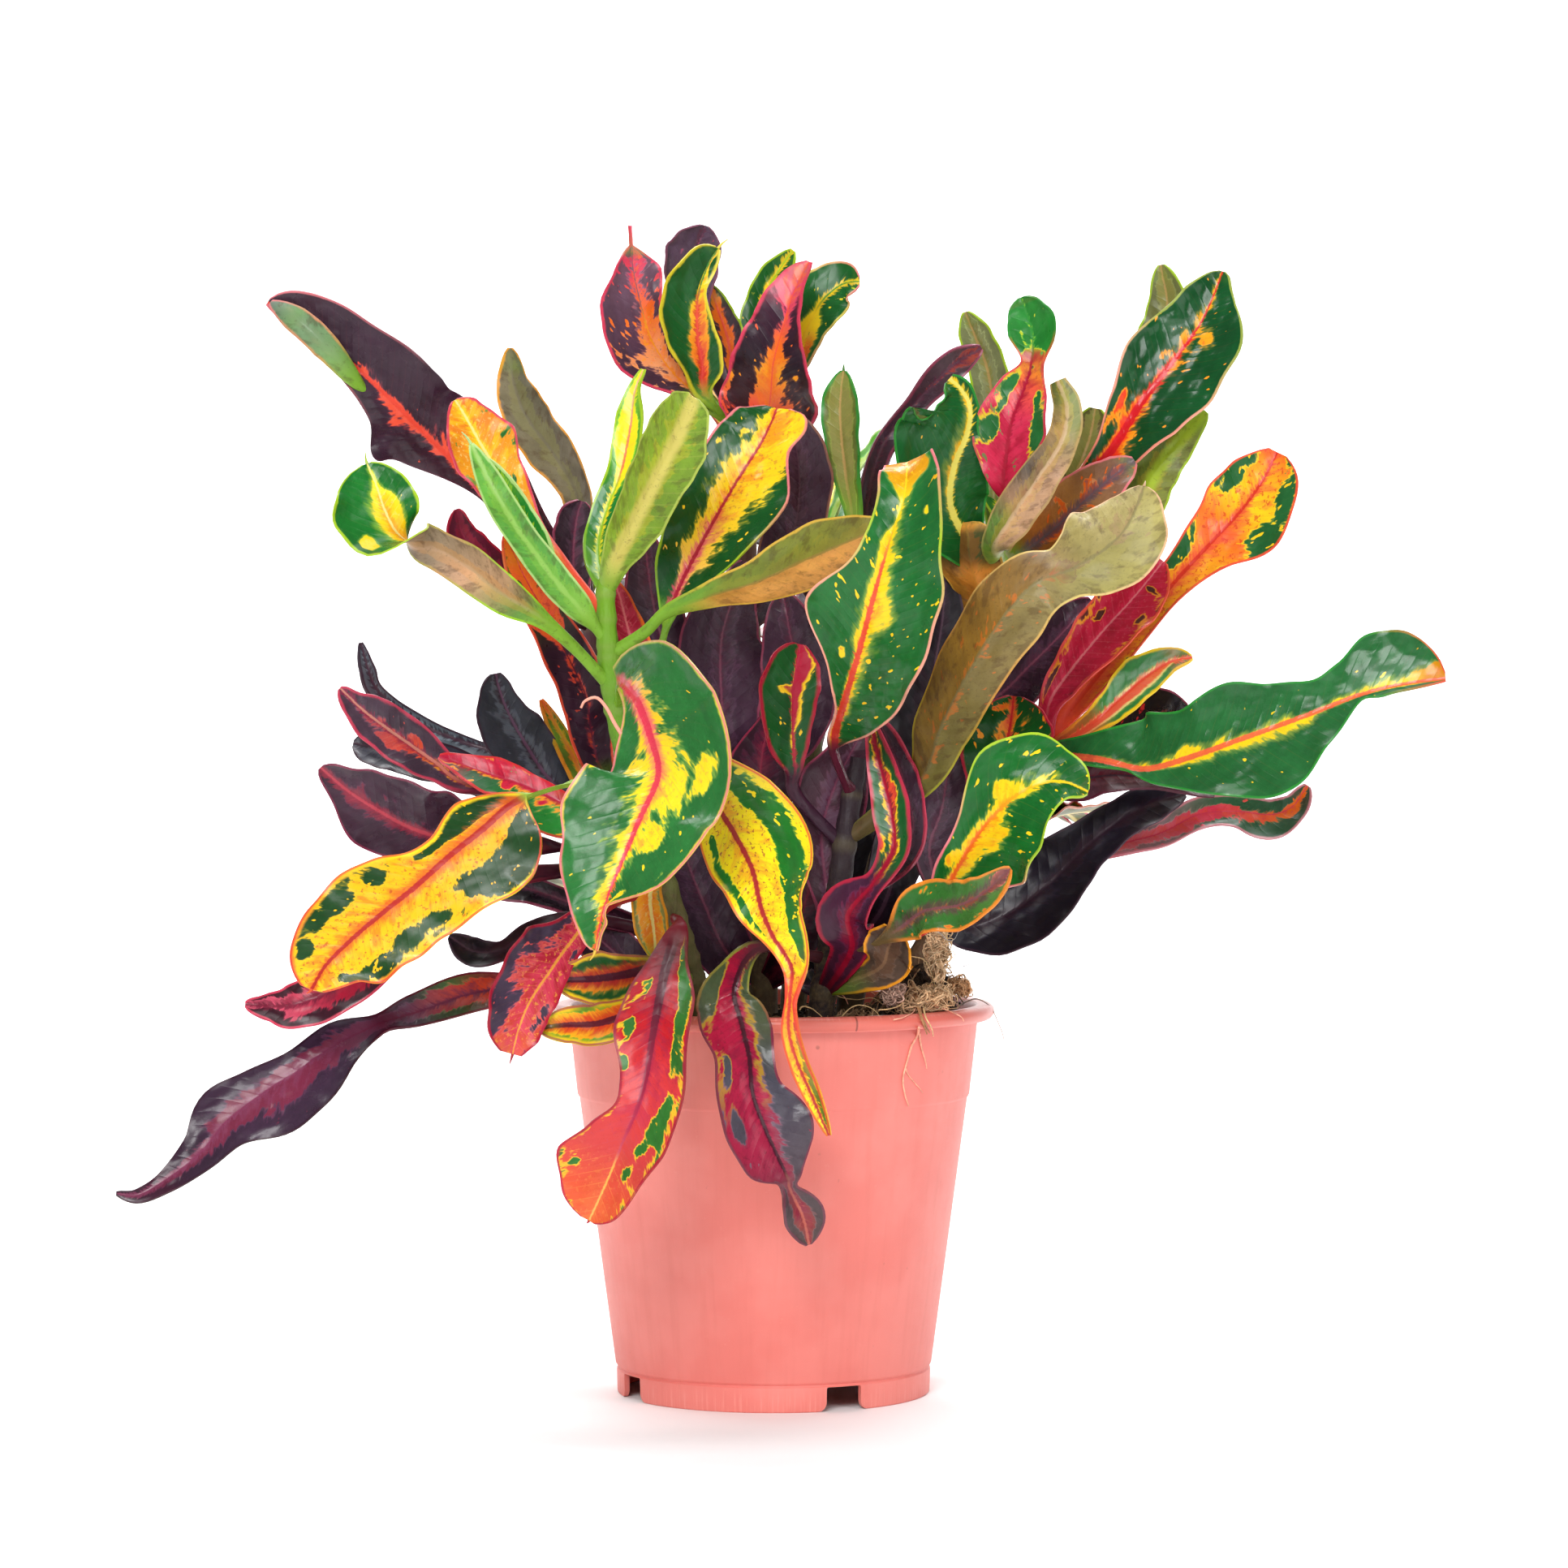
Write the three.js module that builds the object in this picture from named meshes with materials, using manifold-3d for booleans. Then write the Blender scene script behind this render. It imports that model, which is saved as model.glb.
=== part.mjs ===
// A potted croton: a plastic nursery pot filled with peat, and the seven leafy stems that stand in it.
// Millimetres, +Z up, the origin on the floor under the middle of the pot, and -Y towards the viewer.

import * as THREE from "three";
import { mergeVertices } from "three/addons/utils/BufferGeometryUtils.js";
import loadManifold from "manifold-3d";

const wasm = await loadManifold();
wasm.setup();

// The pot
const POT_HEIGHT = 120;
const POT_SIDES = 32;
const WALL = 1.5;
const LIP_RADIUS = 68;
const LIP_DEPTH = 4.5;
const NECK_RADIUS = 63.1;
const STEP_HEIGHT = 91.4;
const STEP_RADIUS = 59.8;
const STEP_DEPTH = 0.5;
const FOOT_RADIUS = 48.2;
const FOOT_HEIGHT = 8;
const FOOT_WALL = 1.6;
const FLOOR_UNDER = 8.5;
const FLOOR_TOP = 10.5;

// Four notches in the foot, with a drain hole behind each
const NOTCH_COUNT = 4;
const NOTCH_FIRST_DEG = 26.3;
const NOTCH_WIDTH = 11.5;
const NOTCH_HEIGHT = 7.4;
const NOTCH_FLARE = 2.8;
const DRAIN_RADIUS = 4;
const DRAIN_RING = 38;
const DRAIN_SIDES = 12;

// The peat, with its lump of coir and roots against the lip on the right
const CLEARANCE = 0.3;
const SOIL_LEVEL = 114;
const SOIL_EDGE = 113;
const SOIL_RINGS = [12, 23, 33, 42, 49, 55];
const LUMP = { x: 46, y: -18, height: 19, spread: 10 };

// Leaves are placed as they are seen from the viewing point, then moved along the line of sight
const EYE = { x: 3.25, z: 230, distance: 1575 };
const BLADE_THICKNESS = 0.8;
const STALK_THICKNESS = 2.6;
const STALK_HALF_WIDTH = 2;
const BLADE_CUP_DEG = 12;
const TURN_AT_STALK = 0.4;
const STEM_SIDES = 6;
const STEPS_PER_ROW = 1.12;

// The stems: points of x, y, height and radius, from their roots up
const STEMS = {
  front_left: [
    [-20, -10, 72, 4.2], [-22, -14, 114, 4.2], [-31, -24, 150, 4], [-42, -31, 188, 3.8],
    [-49, -36, 222, 3.4], [-50.5, -38, 250, 2.6],
  ],
  centre: [
    [-3, 8, 72, 4.5], [-3, 12, 114, 4.5], [-6, 16, 180, 4], [-8, 18, 240, 3.6], [-10, 18, 300, 2.8],
  ],
  right: [
    [20, 10, 72, 4.2], [23, 12, 114, 4.2], [34, 15, 165, 4], [54, 16, 215, 3.6], [70, 14, 250, 3.2],
    [79, 12, 264, 2.6],
  ],
  side_right: [
    [33, -8, 72, 4], [37, -10, 114, 4], [53, -12, 150, 3.8], [71, -14, 180, 3.4], [84, -15, 199, 2.8],
  ],
  near: [
    [12, -22, 72, 4], [14, -26, 114, 4], [19, -28, 150, 3.8], [23, -29, 180, 3.2], [26, -28, 196, 2.6],
  ],
  left: [
    [-24, 12, 72, 4.2], [-26, 18, 114, 4.2], [-38, 24, 160, 3.8], [-50, 27, 200, 3.4],
    [-58, 26, 240, 3], [-60, 25, 256, 2.6],
  ],
  back: [
    [4, 32, 72, 4.2], [6, 35, 114, 4.2], [10, 42, 170, 3.8], [14, 47, 230, 3.2], [16, 49, 262, 2.6],
  ],
};

// The leaves that show from the front. Each is its stem, the waviness of its edge, the height where it
// leaves the stem (0 where it grows out of another blade), how far the whole blade is turned about its
// rib, in degrees, and rows from base to tip: x and height as seen, depth, the widths as seen left and
// right of the midrib, and the twist in degrees, where 180 turns the underside to the front
const SEEN_LEAVES = [
  ["left", 0.1, 240, 0, [[-76, 262, 30, 2.5, 10, 0], [-93, 281, 28, 3.8, 16.5, 0],
    [-107, 295, 24, 11.5, 16.5, 0], [-112, 300, 22, 16.5, 16, 0], [-118, 306, 20, 9.5, 16, 0],
    [-130, 317, 18, 5.5, 14.5, 0], [-143, 327, 18, 3.5, 12, 0], [-155.5, 335.5, 20, 1, 1.5, 0]]],
  ["left", 0.04, 0, 0, [[-126, 308.5, 19.5, 1.2, 1.2, 160], [-131.5, 315, 14, 3.2, 3.2, 165],
    [-138, 322.5, 11, 4.3, 4.3, 168], [-146, 330, 12, 4.2, 4.4, 170], [-154.5, 335.5, 18, 1, 1, 170]]],
  ["front_left", 0.1, 238, -24, [[-66, 255, -24, 3, 3, 0], [-76, 270, -22, 5, 4, 0],
    [-84, 282, -22, 9, 8.5, 0], [-90, 292, -22, 10, 11, 0], [-95, 301, -22, 6, 7, 0],
    [-98, 305.5, -22, 1, 1, 0]]],
  ["front_left", 0.04, 230, 0, [[-55, 236, -40, 1.8, 1.8, 180], [-61, 243, -43, 4.5, 4.5, 180],
    [-67, 250, -45, 5, 5, 180], [-76, 262, -46, 4.5, 5, 180], [-85, 276, -45, 4.5, 4.5, 180],
    [-93, 292, -42, 0.8, 0.8, 180]]],
  ["front_left", 0.04, 0, 0, [[-68, 252, -44, 2, 2, 20], [-72, 261, -42, 5, 4, 10],
    [-77, 270, -41, 6, 4, 5], [-83, 280, -41, 4, 3, 0], [-88, 287, -42, 1, 1, 0]]],
  ["front_left", 0.08, 217, -20, [[-61, 229, -44, 1.8, 1.8, 180], [-72, 238.5, -52, 3, 3, 180],
    [-84, 246, -60, 6.5, 6, 180], [-95, 254.5, -66, 7, 7, 180], [-104, 259.5, -70, 6, 6, 190],
    [-110.5, 261, -73, 8, 6, 260], [-116, 265, -74, 14, 9, 340], [-119.5, 271.5, -74, 16, 11, 360],
    [-122, 279, -74, 13, 9.5, 360], [-125, 286, -73, 1.5, 1.5, 360]]],
  ["left", 0.05, 236, -30, [[-74, 244, 0, 2.5, 2.5, 0], [-86, 254, -6, 5.5, 5.5, 0],
    [-95, 263, -10, 5, 5, 0], [-97.5, 272, -12, 0.8, 0.8, 0]]],
  ["left", 0.1, 250, -28, [[-60, 264, 22, 3.5, 3.5, 180], [-61, 277, 20, 5, 5, 180],
    [-68, 289, 18, 7, 7, 180], [-76, 300, 16, 7.5, 7.5, 180], [-80, 311, 16, 5, 5, 180],
    [-81, 321.5, 18, 0.8, 0.8, 180]]],
  ["left", 0.05, 236, -26, [[-61, 248, 10, 5, 5, 0], [-61.5, 260, 8, 6.5, 7.5, 0],
    [-60.5, 269, 8, 6, 7, 0], [-59, 274.5, 8, 1.5, 1.5, 0]]],
  ["left", 0.1, 182, -24, [[-53, 192, 6, 4.5, 4.5, 0], [-56, 203, 0, 6.5, 6.5, 0],
    [-58, 215, -6, 7.5, 7.5, 0], [-64, 228, -10, 7.5, 7.5, 0], [-71, 241, -14, 6, 6, 0],
    [-77, 252, -16, 5, 5, 0], [-82.5, 264, -16, 0.8, 0.8, 0]]],
  ["front_left", 0.08, 246, 22, [[-54, 258, -36, 4.5, 4, 0], [-52, 270, -33, 5, 5, 0],
    [-47, 283, -30, 4.5, 5, 0], [-44, 297, -28, 5.5, 4, 0], [-42.5, 308, -26, 3, 1.5, 0],
    [-40, 315, -24, 0.8, 0.8, 0]]],
  ["front_left", 0.04, 246, 26, [[-48.5, 256, -46, 5, 5, 180], [-42.5, 268, -56, 8.5, 8.5, 180],
    [-36, 281, -66, 10, 10, 180], [-30, 293, -74, 10.5, 10.5, 180], [-26, 302, -80, 7.5, 7.5, 180],
    [-24.5, 306.5, -83, 2, 2, 180]]],
  ["front_left", 0.05, 227, -24, [[-40, 234, -42, 1.8, 1.8, 180], [-33, 240.5, -46, 2, 2, 180],
    [-20, 245.5, -50, 4, 4, 180], [-5, 250, -53, 7, 7, 180], [8, 256, -54, 9.5, 9.5, 180],
    [20, 261, -52, 9, 9, 180], [30, 265.5, -48, 5, 5, 180], [35, 268, -46, 1, 1, 180]]],
  ["front_left", 0.06, 212, 22, [[-37, 226, -30, 1.8, 1.8, 0], [-33, 238, -34, 2, 2, 0],
    [-29, 248, -36, 8, 5, 0], [-24, 258, -37, 13, 11, 0], [-18, 269, -37, 14, 15, 0],
    [-11, 281, -36, 15, 17, 0], [-4, 292, -34, 15, 10, 0], [-0.5, 299, -32, 12, 11, 0],
    [1, 303, -30, 4, 4, 0]]],
  ["centre", 0.06, 297, -26, [[-20, 304.5, 10, 3, 3, 0], [-30, 313, 4, 6, 5, 0],
    [-37, 323, 0, 13, 6, 0], [-40.5, 334, -2, 13, 7, 0], [-43, 345, -2, 6.5, 8.5, 0],
    [-43.5, 352, -2, 1.5, 2, 0], [-44, 359, -1, 0.6, 0.6, 0]]],
  ["centre", 0.05, 299, -30, [[-19.5, 318, 24, 4, 4, 0], [-25, 334, 24, 6, 6, 0],
    [-25.5, 345, 22, 8, 8.5, 0], [-23.5, 353, 20, 8, 8, 0], [-21, 359, 18, 1.5, 1.5, 0]]],
  ["centre", 0.05, 299, -24, [[-20.5, 307, 6, 3, 2, 0], [-22, 316, 2, 6, 7, 0],
    [-23.5, 327, 0, 10.5, 6, 0], [-23, 338, -1, 11, 2.5, 0], [-20, 347, -1, 7, 3, 0],
    [-17, 352, 0, 1, 1, 0]]],
  ["centre", 0.05, 299, -28, [[-12, 312, 28, 4, 4, 0], [-14, 324, 30, 5.5, 5.5, 0],
    [-17, 333, 30, 4.5, 4.5, 0], [-20, 341, 30, 1, 1, 0]]],
  ["centre", 0.05, 299, 30, [[-7, 315, 30, 5, 5, 0], [-5, 330, 32, 5.5, 6, 0],
    [-1, 341, 32, 5.5, 6, 0], [6, 351.5, 30, 1, 1, 0]]],
  ["centre", 0.05, 301, 24, [[5, 315, 18, 4, 4, 0], [10, 327, 16, 7, 6, 0], [15, 336, 14, 9.5, 8, 0],
    [21, 341, 14, 8, 6.5, 0], [26.5, 342, 12, 1.5, 1.5, 0]]],
  ["centre", 0.06, 284, 26, [[-3, 295, 8, 12, 10, 0], [-1, 306, 2, 16, 15, 0],
    [0, 317, -2, 13, 11.5, 0], [3, 328, -4, 11, 6, 0], [6, 338, -4, 8, 3, 0], [11, 348, -2, 1, 1, 0]]],
  ["centre", 0.06, 236, 30, [[0, 250, 6, 7, 7, 0], [6, 264, 0, 10, 9, 0], [8, 278, -4, 11, 10, 0],
    [7, 291, -6, 10, 9, 0], [4, 300, -6, 2, 2, 0]]],
  ["centre", 0.03, 240, 28, [[20, 256, 4, 2, 2, 0], [24.5, 268, -6, 2.5, 2.5, 0],
    [22.5, 281, -10, 4, 4, 0], [21, 293, -12, 5.5, 5.5, 0], [20.5, 304, -12, 6, 5.5, 0],
    [21.5, 314.5, -12, 1, 1, 0]]],
  ["right", 0.05, 226, -26, [[34, 250, 12, 2.5, 3, 0], [29, 270, 8, 2.5, 3.5, 30],
    [33, 290, 4, 2.5, 4, 30], [44, 305, 2, 2.5, 4, 20], [55, 316, 0, 4.5, 5, 0], [64, 321.5, 0, 1, 1, 0]]],
  ["right", 0.05, 252, 30, [[68, 275, 26, 4, 4, 0], [68, 298, 26, 5, 5, 0], [66, 314, 24, 6, 6, 0],
    [62, 325, 22, 5, 5, 0], [59, 332.5, 20, 1, 1, 0]]],
  ["right", 0.06, 250, -26, [[60, 262, -6, 8, 7, 0], [54.5, 273, -12, 13, 12, 0],
    [55.5, 285, -16, 18, 11, 0], [59.5, 295, -18, 22, 4.5, 0], [60.5, 303, -18, 18, 3, 0],
    [57.5, 309, -18, 9, 3.5, 0], [54, 312, -18, 2, 2, 0]]],
  ["right", 0.06, 262, 24, [[71, 277, -14, 2.5, 2.5, 0], [71.5, 287, -18, 9, 8, 0],
    [73, 298, -20, 11.5, 11, 0], [77, 309, -20, 8, 7, 0], [79.5, 317, -20, 3.5, 3.5, 0],
    [79.5, 326, -20, 7.5, 7.5, 0], [77.5, 333, -20, 6, 6, 0], [76, 337, -20, 1, 1, 0]]],
  ["right", 0.05, 254, 24, [[68, 260, -22, 4, 4, 180], [74, 270, -28, 6.5, 6.5, 180],
    [82, 282, -30, 6.5, 6.5, 180], [89, 293, -30, 5, 5, 180], [90.5, 303, -28, 4.5, 4.5, 180],
    [87.5, 311.5, -26, 2.5, 2.5, 180]]],
  ["right", 0.05, 256, 12, [[84, 268, 20, 7, 7, 0], [92, 281, 22, 9, 9, 0], [97, 293, 22, 8, 8, 0],
    [99, 303, 22, 2, 2, 0]]],
  ["right", 0.06, 256, 28, [[84, 264, 2, 7, 7, 0], [94, 273, -4, 10, 10, 0], [103, 281, -8, 7, 7, 0],
    [111, 287, -10, 1.5, 1.5, 0]]],
  ["right", 0.08, 262, 18, [[92, 277, 2, 2.5, 2.5, 0], [104, 290, -4, 6, 8, 0],
    [112, 303, -6, 10, 14, 0], [121, 315, -6, 15, 16, 0], [130, 327, -4, 12.5, 15, 0],
    [135, 337, -2, 9, 7, 0], [138, 345, 0, 1, 1, 0]]],
  ["right", 0.05, 262, 30, [[98, 282, 16, 3, 3, 0], [110, 302, 18, 4, 4, 0], [117, 320, 18, 7, 7, 0],
    [121, 333, 18, 6.5, 6.5, 0], [119, 347, 18, 1, 1, 0]]],
  ["right", 0.05, 254, 24, [[96, 262, 6, 3, 3, 180], [111, 270, 2, 7, 7, 180],
    [117, 282, 0, 7, 7, 180], [125, 293, 0, 5.5, 5.5, 180], [133, 302, 0, 1, 1, 180]]],
  ["side_right", 0.06, 198, 22, [[90, 208, -16, 3, 3, 0], [101, 222, -18, 5, 4.5, 0],
    [112, 236, -20, 5.5, 4.5, 0], [123, 249, -22, 6.5, 5, 0], [134, 261, -24, 9, 9, 0],
    [143, 270.5, -26, 12.5, 14.5, 0], [150, 280, -28, 11.5, 12.5, 0], [155, 289.5, -28, 3, 3, 0]]],
  ["side_right", 0.05, 198, 28, [[85, 212, -24, 3.5, 3.5, 0], [92, 223, -28, 6.5, 6, 0],
    [101, 234, -32, 9, 8, 0], [111, 245, -34, 9, 9, 0], [120, 256, -34, 1.5, 1.5, 0]]],
  ["near", 0.04, 171, 26, [[45, 188, -44, 5, 5, 180], [52, 205, -56, 9, 9, 180],
    [60, 221, -66, 11, 11, 180], [70, 237, -72, 12, 12, 180], [80, 248.5, -74, 11, 11, 180],
    [90, 252.5, -73, 9, 9, 180], [99, 257.5, -72, 13.5, 13.5, 180], [107, 264, -70, 14.5, 14.5, 180],
    [112, 273, -68, 9, 9, 180], [114, 279, -66, 1.5, 1.5, 180]]],
  ["near", 0.05, 185, 22, [[19, 200, -50, 2.5, 2.5, 0], [22, 213, -68, 4, 12, 0],
    [25.5, 225, -80, 12, 18, 0], [29, 238, -88, 21, 21, 0], [32.5, 251, -93, 12, 20, 0],
    [36, 263, -95, 8, 17, 0], [40, 275, -94, 8.5, 12, 0], [41, 283, -90, 9, 9, 0],
    [41, 286.5, -86, 7, 8, 0]]],
  ["right", 0.05, 238, 30, [[63, 247, -2, 8, 8, 180], [61, 256, -8, 9.5, 9.5, 180],
    [60, 264, -10, 8, 8, 180], [59.5, 268, -10, 2, 2, 180]]],
  ["right", 0.05, 208, 30, [[68, 214, 6, 6, 6, 0], [79, 224, 0, 9.5, 9.5, 0],
    [89, 234, -4, 8.5, 8.5, 0], [98, 244, -6, 1.5, 1.5, 0]]],
  ["side_right", 0.05, 197, 26, [[97, 205, -26, 4, 3, 0], [105, 212, -28, 5.5, 5, 0],
    [113, 219, -28, 8, 5.5, 0], [121, 224.5, -28, 5.5, 3.5, 0], [129, 226.5, -28, 0.8, 0.8, 0]]],
  ["side_right", 0.05, 190, 30, [[98, 198, -2, 5, 5, 0], [110, 205, 0, 10, 6, 0],
    [120, 208, 0, 9.5, 6, 0], [129, 209, 0, 1, 1, 0]]],
  ["side_right", 0.05, 197, 24, [[100, 195, -38, 9.5, 2.5, 0], [114, 192, -46, 17, 3, 0],
    [128, 195.5, -54, 15.5, 10, 0], [142, 200.5, -60, 18.5, 17, 0], [156, 205.5, -64, 14, 19, 0],
    [168, 210, -67, 10, 11, 0], [178, 214, -69, 12, 3.5, 0], [188, 217, -71, 18.5, 2.5, 0],
    [199, 219, -72, 14.5, 2, 0], [207, 220, -73, 2, 1, 0]]],
  ["side_right", 0.03, 188, 30, [[92, 188.5, -20, 6.5, 6.5, 0], [103, 190, -24, 5.5, 5.5, 0],
    [115, 189.5, -26, 3.5, 3.5, 0], [126, 187, -27, 2.5, 2.5, 0], [136, 184, -28, 0.8, 0.8, 0]]],
  ["side_right", 0.06, 161, 28, [[86, 162, 6, 2.5, 2.5, 0], [98, 166, 5, 3, 2.5, 0],
    [110, 169.5, 3, 3.5, 3.5, 0], [120, 172.5, 0, 4, 4, 0], [131, 178, -4, 5.5, 4.5, 0],
    [143, 179, -8, 5, 5, 0], [153, 178, -11, 5, 7.5, 0], [160, 180.5, -13, 4, 5, 0],
    [164.5, 187, -13, 1, 1, 0]]],
  ["side_right", 0.06, 147, 28, [[60, 143.5, -8, 5, 8, 0], [72, 147.5, -8, 10, 11.5, 0],
    [85, 157, -9, 13, 11, 0], [95, 167, -10, 9, 7.5, 0], [106, 176, -12, 6.5, 6.5, 0],
    [117, 181.5, -13, 6, 5.5, 0], [127, 184.5, -14, 1, 1, 0]]],
  ["near", 0.05, 142, 24, [[42, 142, -50, 2.5, 2.5, 0], [50, 149, -60, 3, 4, 0],
    [56, 160, -68, 7, 9, 0], [64, 173, -75, 9, 19, 0], [73, 182.5, -80, 17, 18, 0],
    [82, 187.5, -82, 17, 11, 0], [90, 188, -82, 10, 6, 0], [97, 185, -81, 1, 1, 0]]],
  ["near", 0.05, 134, 28, [[36, 141, -60, 2.5, 2.5, 0], [46, 148, -76, 9, 6.5, 0],
    [57, 150, -86, 8, 7, 0], [65, 154, -92, 5.5, 5.5, 0], [73, 161.5, -95, 0.8, 0.8, 0]]],
  ["side_right", 0.05, 173, 26, [[69, 184, -32, 9, 10, 0], [71, 196, -38, 14, 15, 0],
    [73, 206, -40, 12, 13, 0], [74, 214.5, -40, 2, 3, 0]]],
  ["near", 0.05, 169, -24, [[7, 184, -32, 2, 2, 0], [6.5, 193, -36, 3.5, 3, 0],
    [6, 203, -40, 8.5, 6, 0], [6, 214, -42, 10.5, 8, 0], [7, 223, -42, 9, 8, 0],
    [8, 230.5, -40, 2, 2, 0]]],
  ["near", 0.04, 124, 20, [[24, 136, -44, 7, 5, 0], [23, 147, -50, 10, 8, 0],
    [31, 157, -54, 4.5, 5.5, 30], [37, 168, -56, 5, 5, 0], [36, 180, -54, 6, 6, 0],
    [33, 193, -50, 4.5, 4.5, 0], [30, 206, -46, 1.5, 1.5, 0]]],
  ["near", 0.04, 151, 28, [[38, 162, -38, 3.5, 3.5, 0], [43, 173, -44, 4.5, 4, 0],
    [41, 185, -44, 5, 5, 0], [37, 197, -40, 4.5, 4, 0], [32, 208, -36, 1, 1, 0]]],
  ["near", 0.05, 143, -16, [[16, 158, -24, 6, 7, 0], [15, 173, -24, 10, 12, 0],
    [19, 187, -24, 11, 11, 0], [25, 199, -26, 6, 6, 0], [31, 209, -28, 1, 1, 0]]],
  ["near", 0.03, 126, 24, [[32, 130, -46, 5, 6, 0], [35.5, 137, -54, 8, 8.5, 0],
    [37.5, 142.5, -58, 4, 4, 0]]],
  ["front_left", 0.05, 185, -24, [[-26, 189, -50, 2.5, 2.5, 0], [-18, 181, -66, 14, 8, 0],
    [-12, 172, -76, 18.5, 13, 0], [-6.5, 161, -84, 20, 12, 0], [-4, 150, -90, 18, 8.5, 0],
    [-0.5, 141, -95, 13.5, 4, 0], [5.5, 131, -99, 6, 3, 0], [5.4, 121.8, -101, 2, 2, 0],
    [5, 111, -101, 3, 2.8, 0], [8, 100.4, -100, 3.1, 3.1, 0], [12, 91, -98, 2.9, 2.9, 0],
    [17, 78.8, -96, 0.8, 0.8, 0]]],
  ["front_left", 0.05, 211, -22, [[-47.5, 219, -54, 3, 2, 0], [-42, 213, -76, 18, 6, 0],
    [-37.5, 201, -88, 24, 13, 0], [-35.5, 190, -96, 22, 21, 0], [-41, 177, -102, 22, 26, 0],
    [-46.5, 164, -106, 17, 21, 0], [-51, 153, -108, 5, 15, 0], [-53.5, 144, -109, 2, 9, 0],
    [-55, 136, -109, 0.8, 1.5, 0]]],
  ["front_left", 0.05, 181, -26, [[-58, 187.5, -46, 1.8, 1.8, 0], [-78, 182.5, -64, 3.5, 3, 0],
    [-90, 173, -76, 18.5, 12, 0], [-100, 165, -84, 23.5, 8.5, 0], [-110, 156, -92, 18.5, 13, 0],
    [-120, 148, -98, 18, 18, 0], [-130, 139.5, -104, 18, 17.5, 0], [-138, 131.5, -109, 14, 12.5, 0],
    [-142.5, 124, -113, 4, 4, 0]]],
  ["left", 0.06, 160, -26, [[-62, 161, -6, 2, 2, 0], [-88, 157, -26, 4, 4, 0],
    [-113, 144, -40, 8, 8, 0], [-132, 126.5, -48, 8.5, 8, 0], [-147, 119.5, -52, 7.5, 6.5, 0],
    [-156, 119, -54, 4.5, 4, 0], [-163, 119.5, -55, 0.8, 0.8, 0]]],
  ["left", 0.05, 167, 24, [[-68, 168, 10, 2, 2, 0], [-88, 168, -2, 6, 7.5, 0],
    [-101, 170.5, -10, 10.5, 13, 0], [-112, 174, -16, 12, 15, 0], [-123, 180, -20, 12.5, 13, 0],
    [-132, 186, -22, 6.5, 8.5, 0], [-139.5, 192.5, -24, 1, 1, 0]]],
  ["left", 0.05, 183, -28, [[-72, 186, 14, 1.8, 1.8, 0], [-94, 187, 4, 2.5, 2.5, 0],
    [-104, 194, 0, 5.5, 5.5, 0], [-114, 201, -4, 7.5, 8, 0], [-123, 207.5, -8, 7, 7, 0],
    [-129, 212.5, -10, 4.5, 4, 0], [-133.5, 217, -11, 0.8, 0.8, 0]]],
  ["left", 0.05, 177, -30, [[-72, 183, 28, 2.5, 2.5, 0], [-90, 190, 24, 6, 5, 0],
    [-103, 194, 20, 6.5, 6.5, 0], [-115, 197, 16, 6, 6, 0], [-124, 199, 14, 5.5, 5, 0],
    [-129.5, 200, 14, 1, 1, 0]]],
  ["left", 0.05, 189, -26, [[-80, 196, 40, 3, 1.5, 0], [-105, 204, 40, 5, 2.6, 0],
    [-121, 215, 38, 3.2, 2.2, 0], [-125, 223, 38, 2.4, 2.4, 0], [-127, 231, 38, 0.6, 0.6, 0]]],
  ["left", 0.05, 187, -28, [[-62, 184, 12, 3, 3, 0], [-70, 190, 6, 7, 8, 0],
    [-76.5, 200, 2, 10.5, 9, 0], [-81.5, 209, 0, 10, 6, 0], [-84.5, 217, 0, 6, 4, 0],
    [-85.5, 221.5, 0, 1.5, 1.5, 0]]],
  ["left", 0.03, 175, -30, [[-56, 186, 10, 3.5, 3, 0], [-62, 196, 8, 3.5, 3, 0],
    [-67, 205, 8, 2.5, 2.5, 0], [-71.5, 213.5, 8, 0.6, 0.6, 0]]],
  ["front_left", 0.05, 179, -24, [[-60, 180, -30, 10, 3, 0], [-70, 184, -29, 11, 4, 0],
    [-79, 188, -28, 6, 5, 0], [-87, 190.5, -26, 6, 5.5, 0], [-96, 193.5, -24, 3.5, 3.5, 0],
    [-103, 196, -22, 0.8, 0.8, 0]]],
  ["left", 0.04, 139, -30, [[-55, 148, 2, 4, 4, 0], [-72, 154, -6, 4, 4, 0], [-92, 160, -12, 6, 6, 0],
    [-108, 167, -16, 1, 1, 0]]],
  ["front_left", 0.05, 141, -26, [[-58, 146, -30, 2, 2, 0], [-74, 142, -34, 3.5, 3.5, 0],
    [-84, 136, -36, 3, 3, 0], [-93, 136, -38, 4.5, 4.5, 0], [-100, 140.5, -40, 0.8, 0.8, 0]]],
  ["front_left", 0.05, 157, 24, [[-52, 150, -54, 2.5, 2.5, 0], [-63, 138, -70, 5, 8, 0],
    [-69, 129.5, -78, 6.5, 14, 0], [-75, 120.5, -84, 8, 13, 0], [-78.5, 112, -87, 7.5, 10.5, 0],
    [-80.5, 104, -88, 3, 4, 0]]],
  ["front_left", 0.03, 135, -12, [[-34, 132, -50, 2, 2, 0], [-44, 129, -62, 6.5, 6, 0],
    [-53, 127.5, -68, 8.5, 8.5, 0], [-61, 127, -72, 6.5, 6.5, 0], [-68, 127, -74, 1.5, 1.5, 0]]],
  ["front_left", 0.03, 129, -20, [[-34, 124, -58, 2, 2, 0], [-44, 117, -70, 5, 5, 0],
    [-54, 113.5, -77, 6.5, 6.5, 0], [-64, 113, -80, 5.5, 5.5, 0], [-72.5, 112, -81, 1, 1, 0]]],
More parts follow.
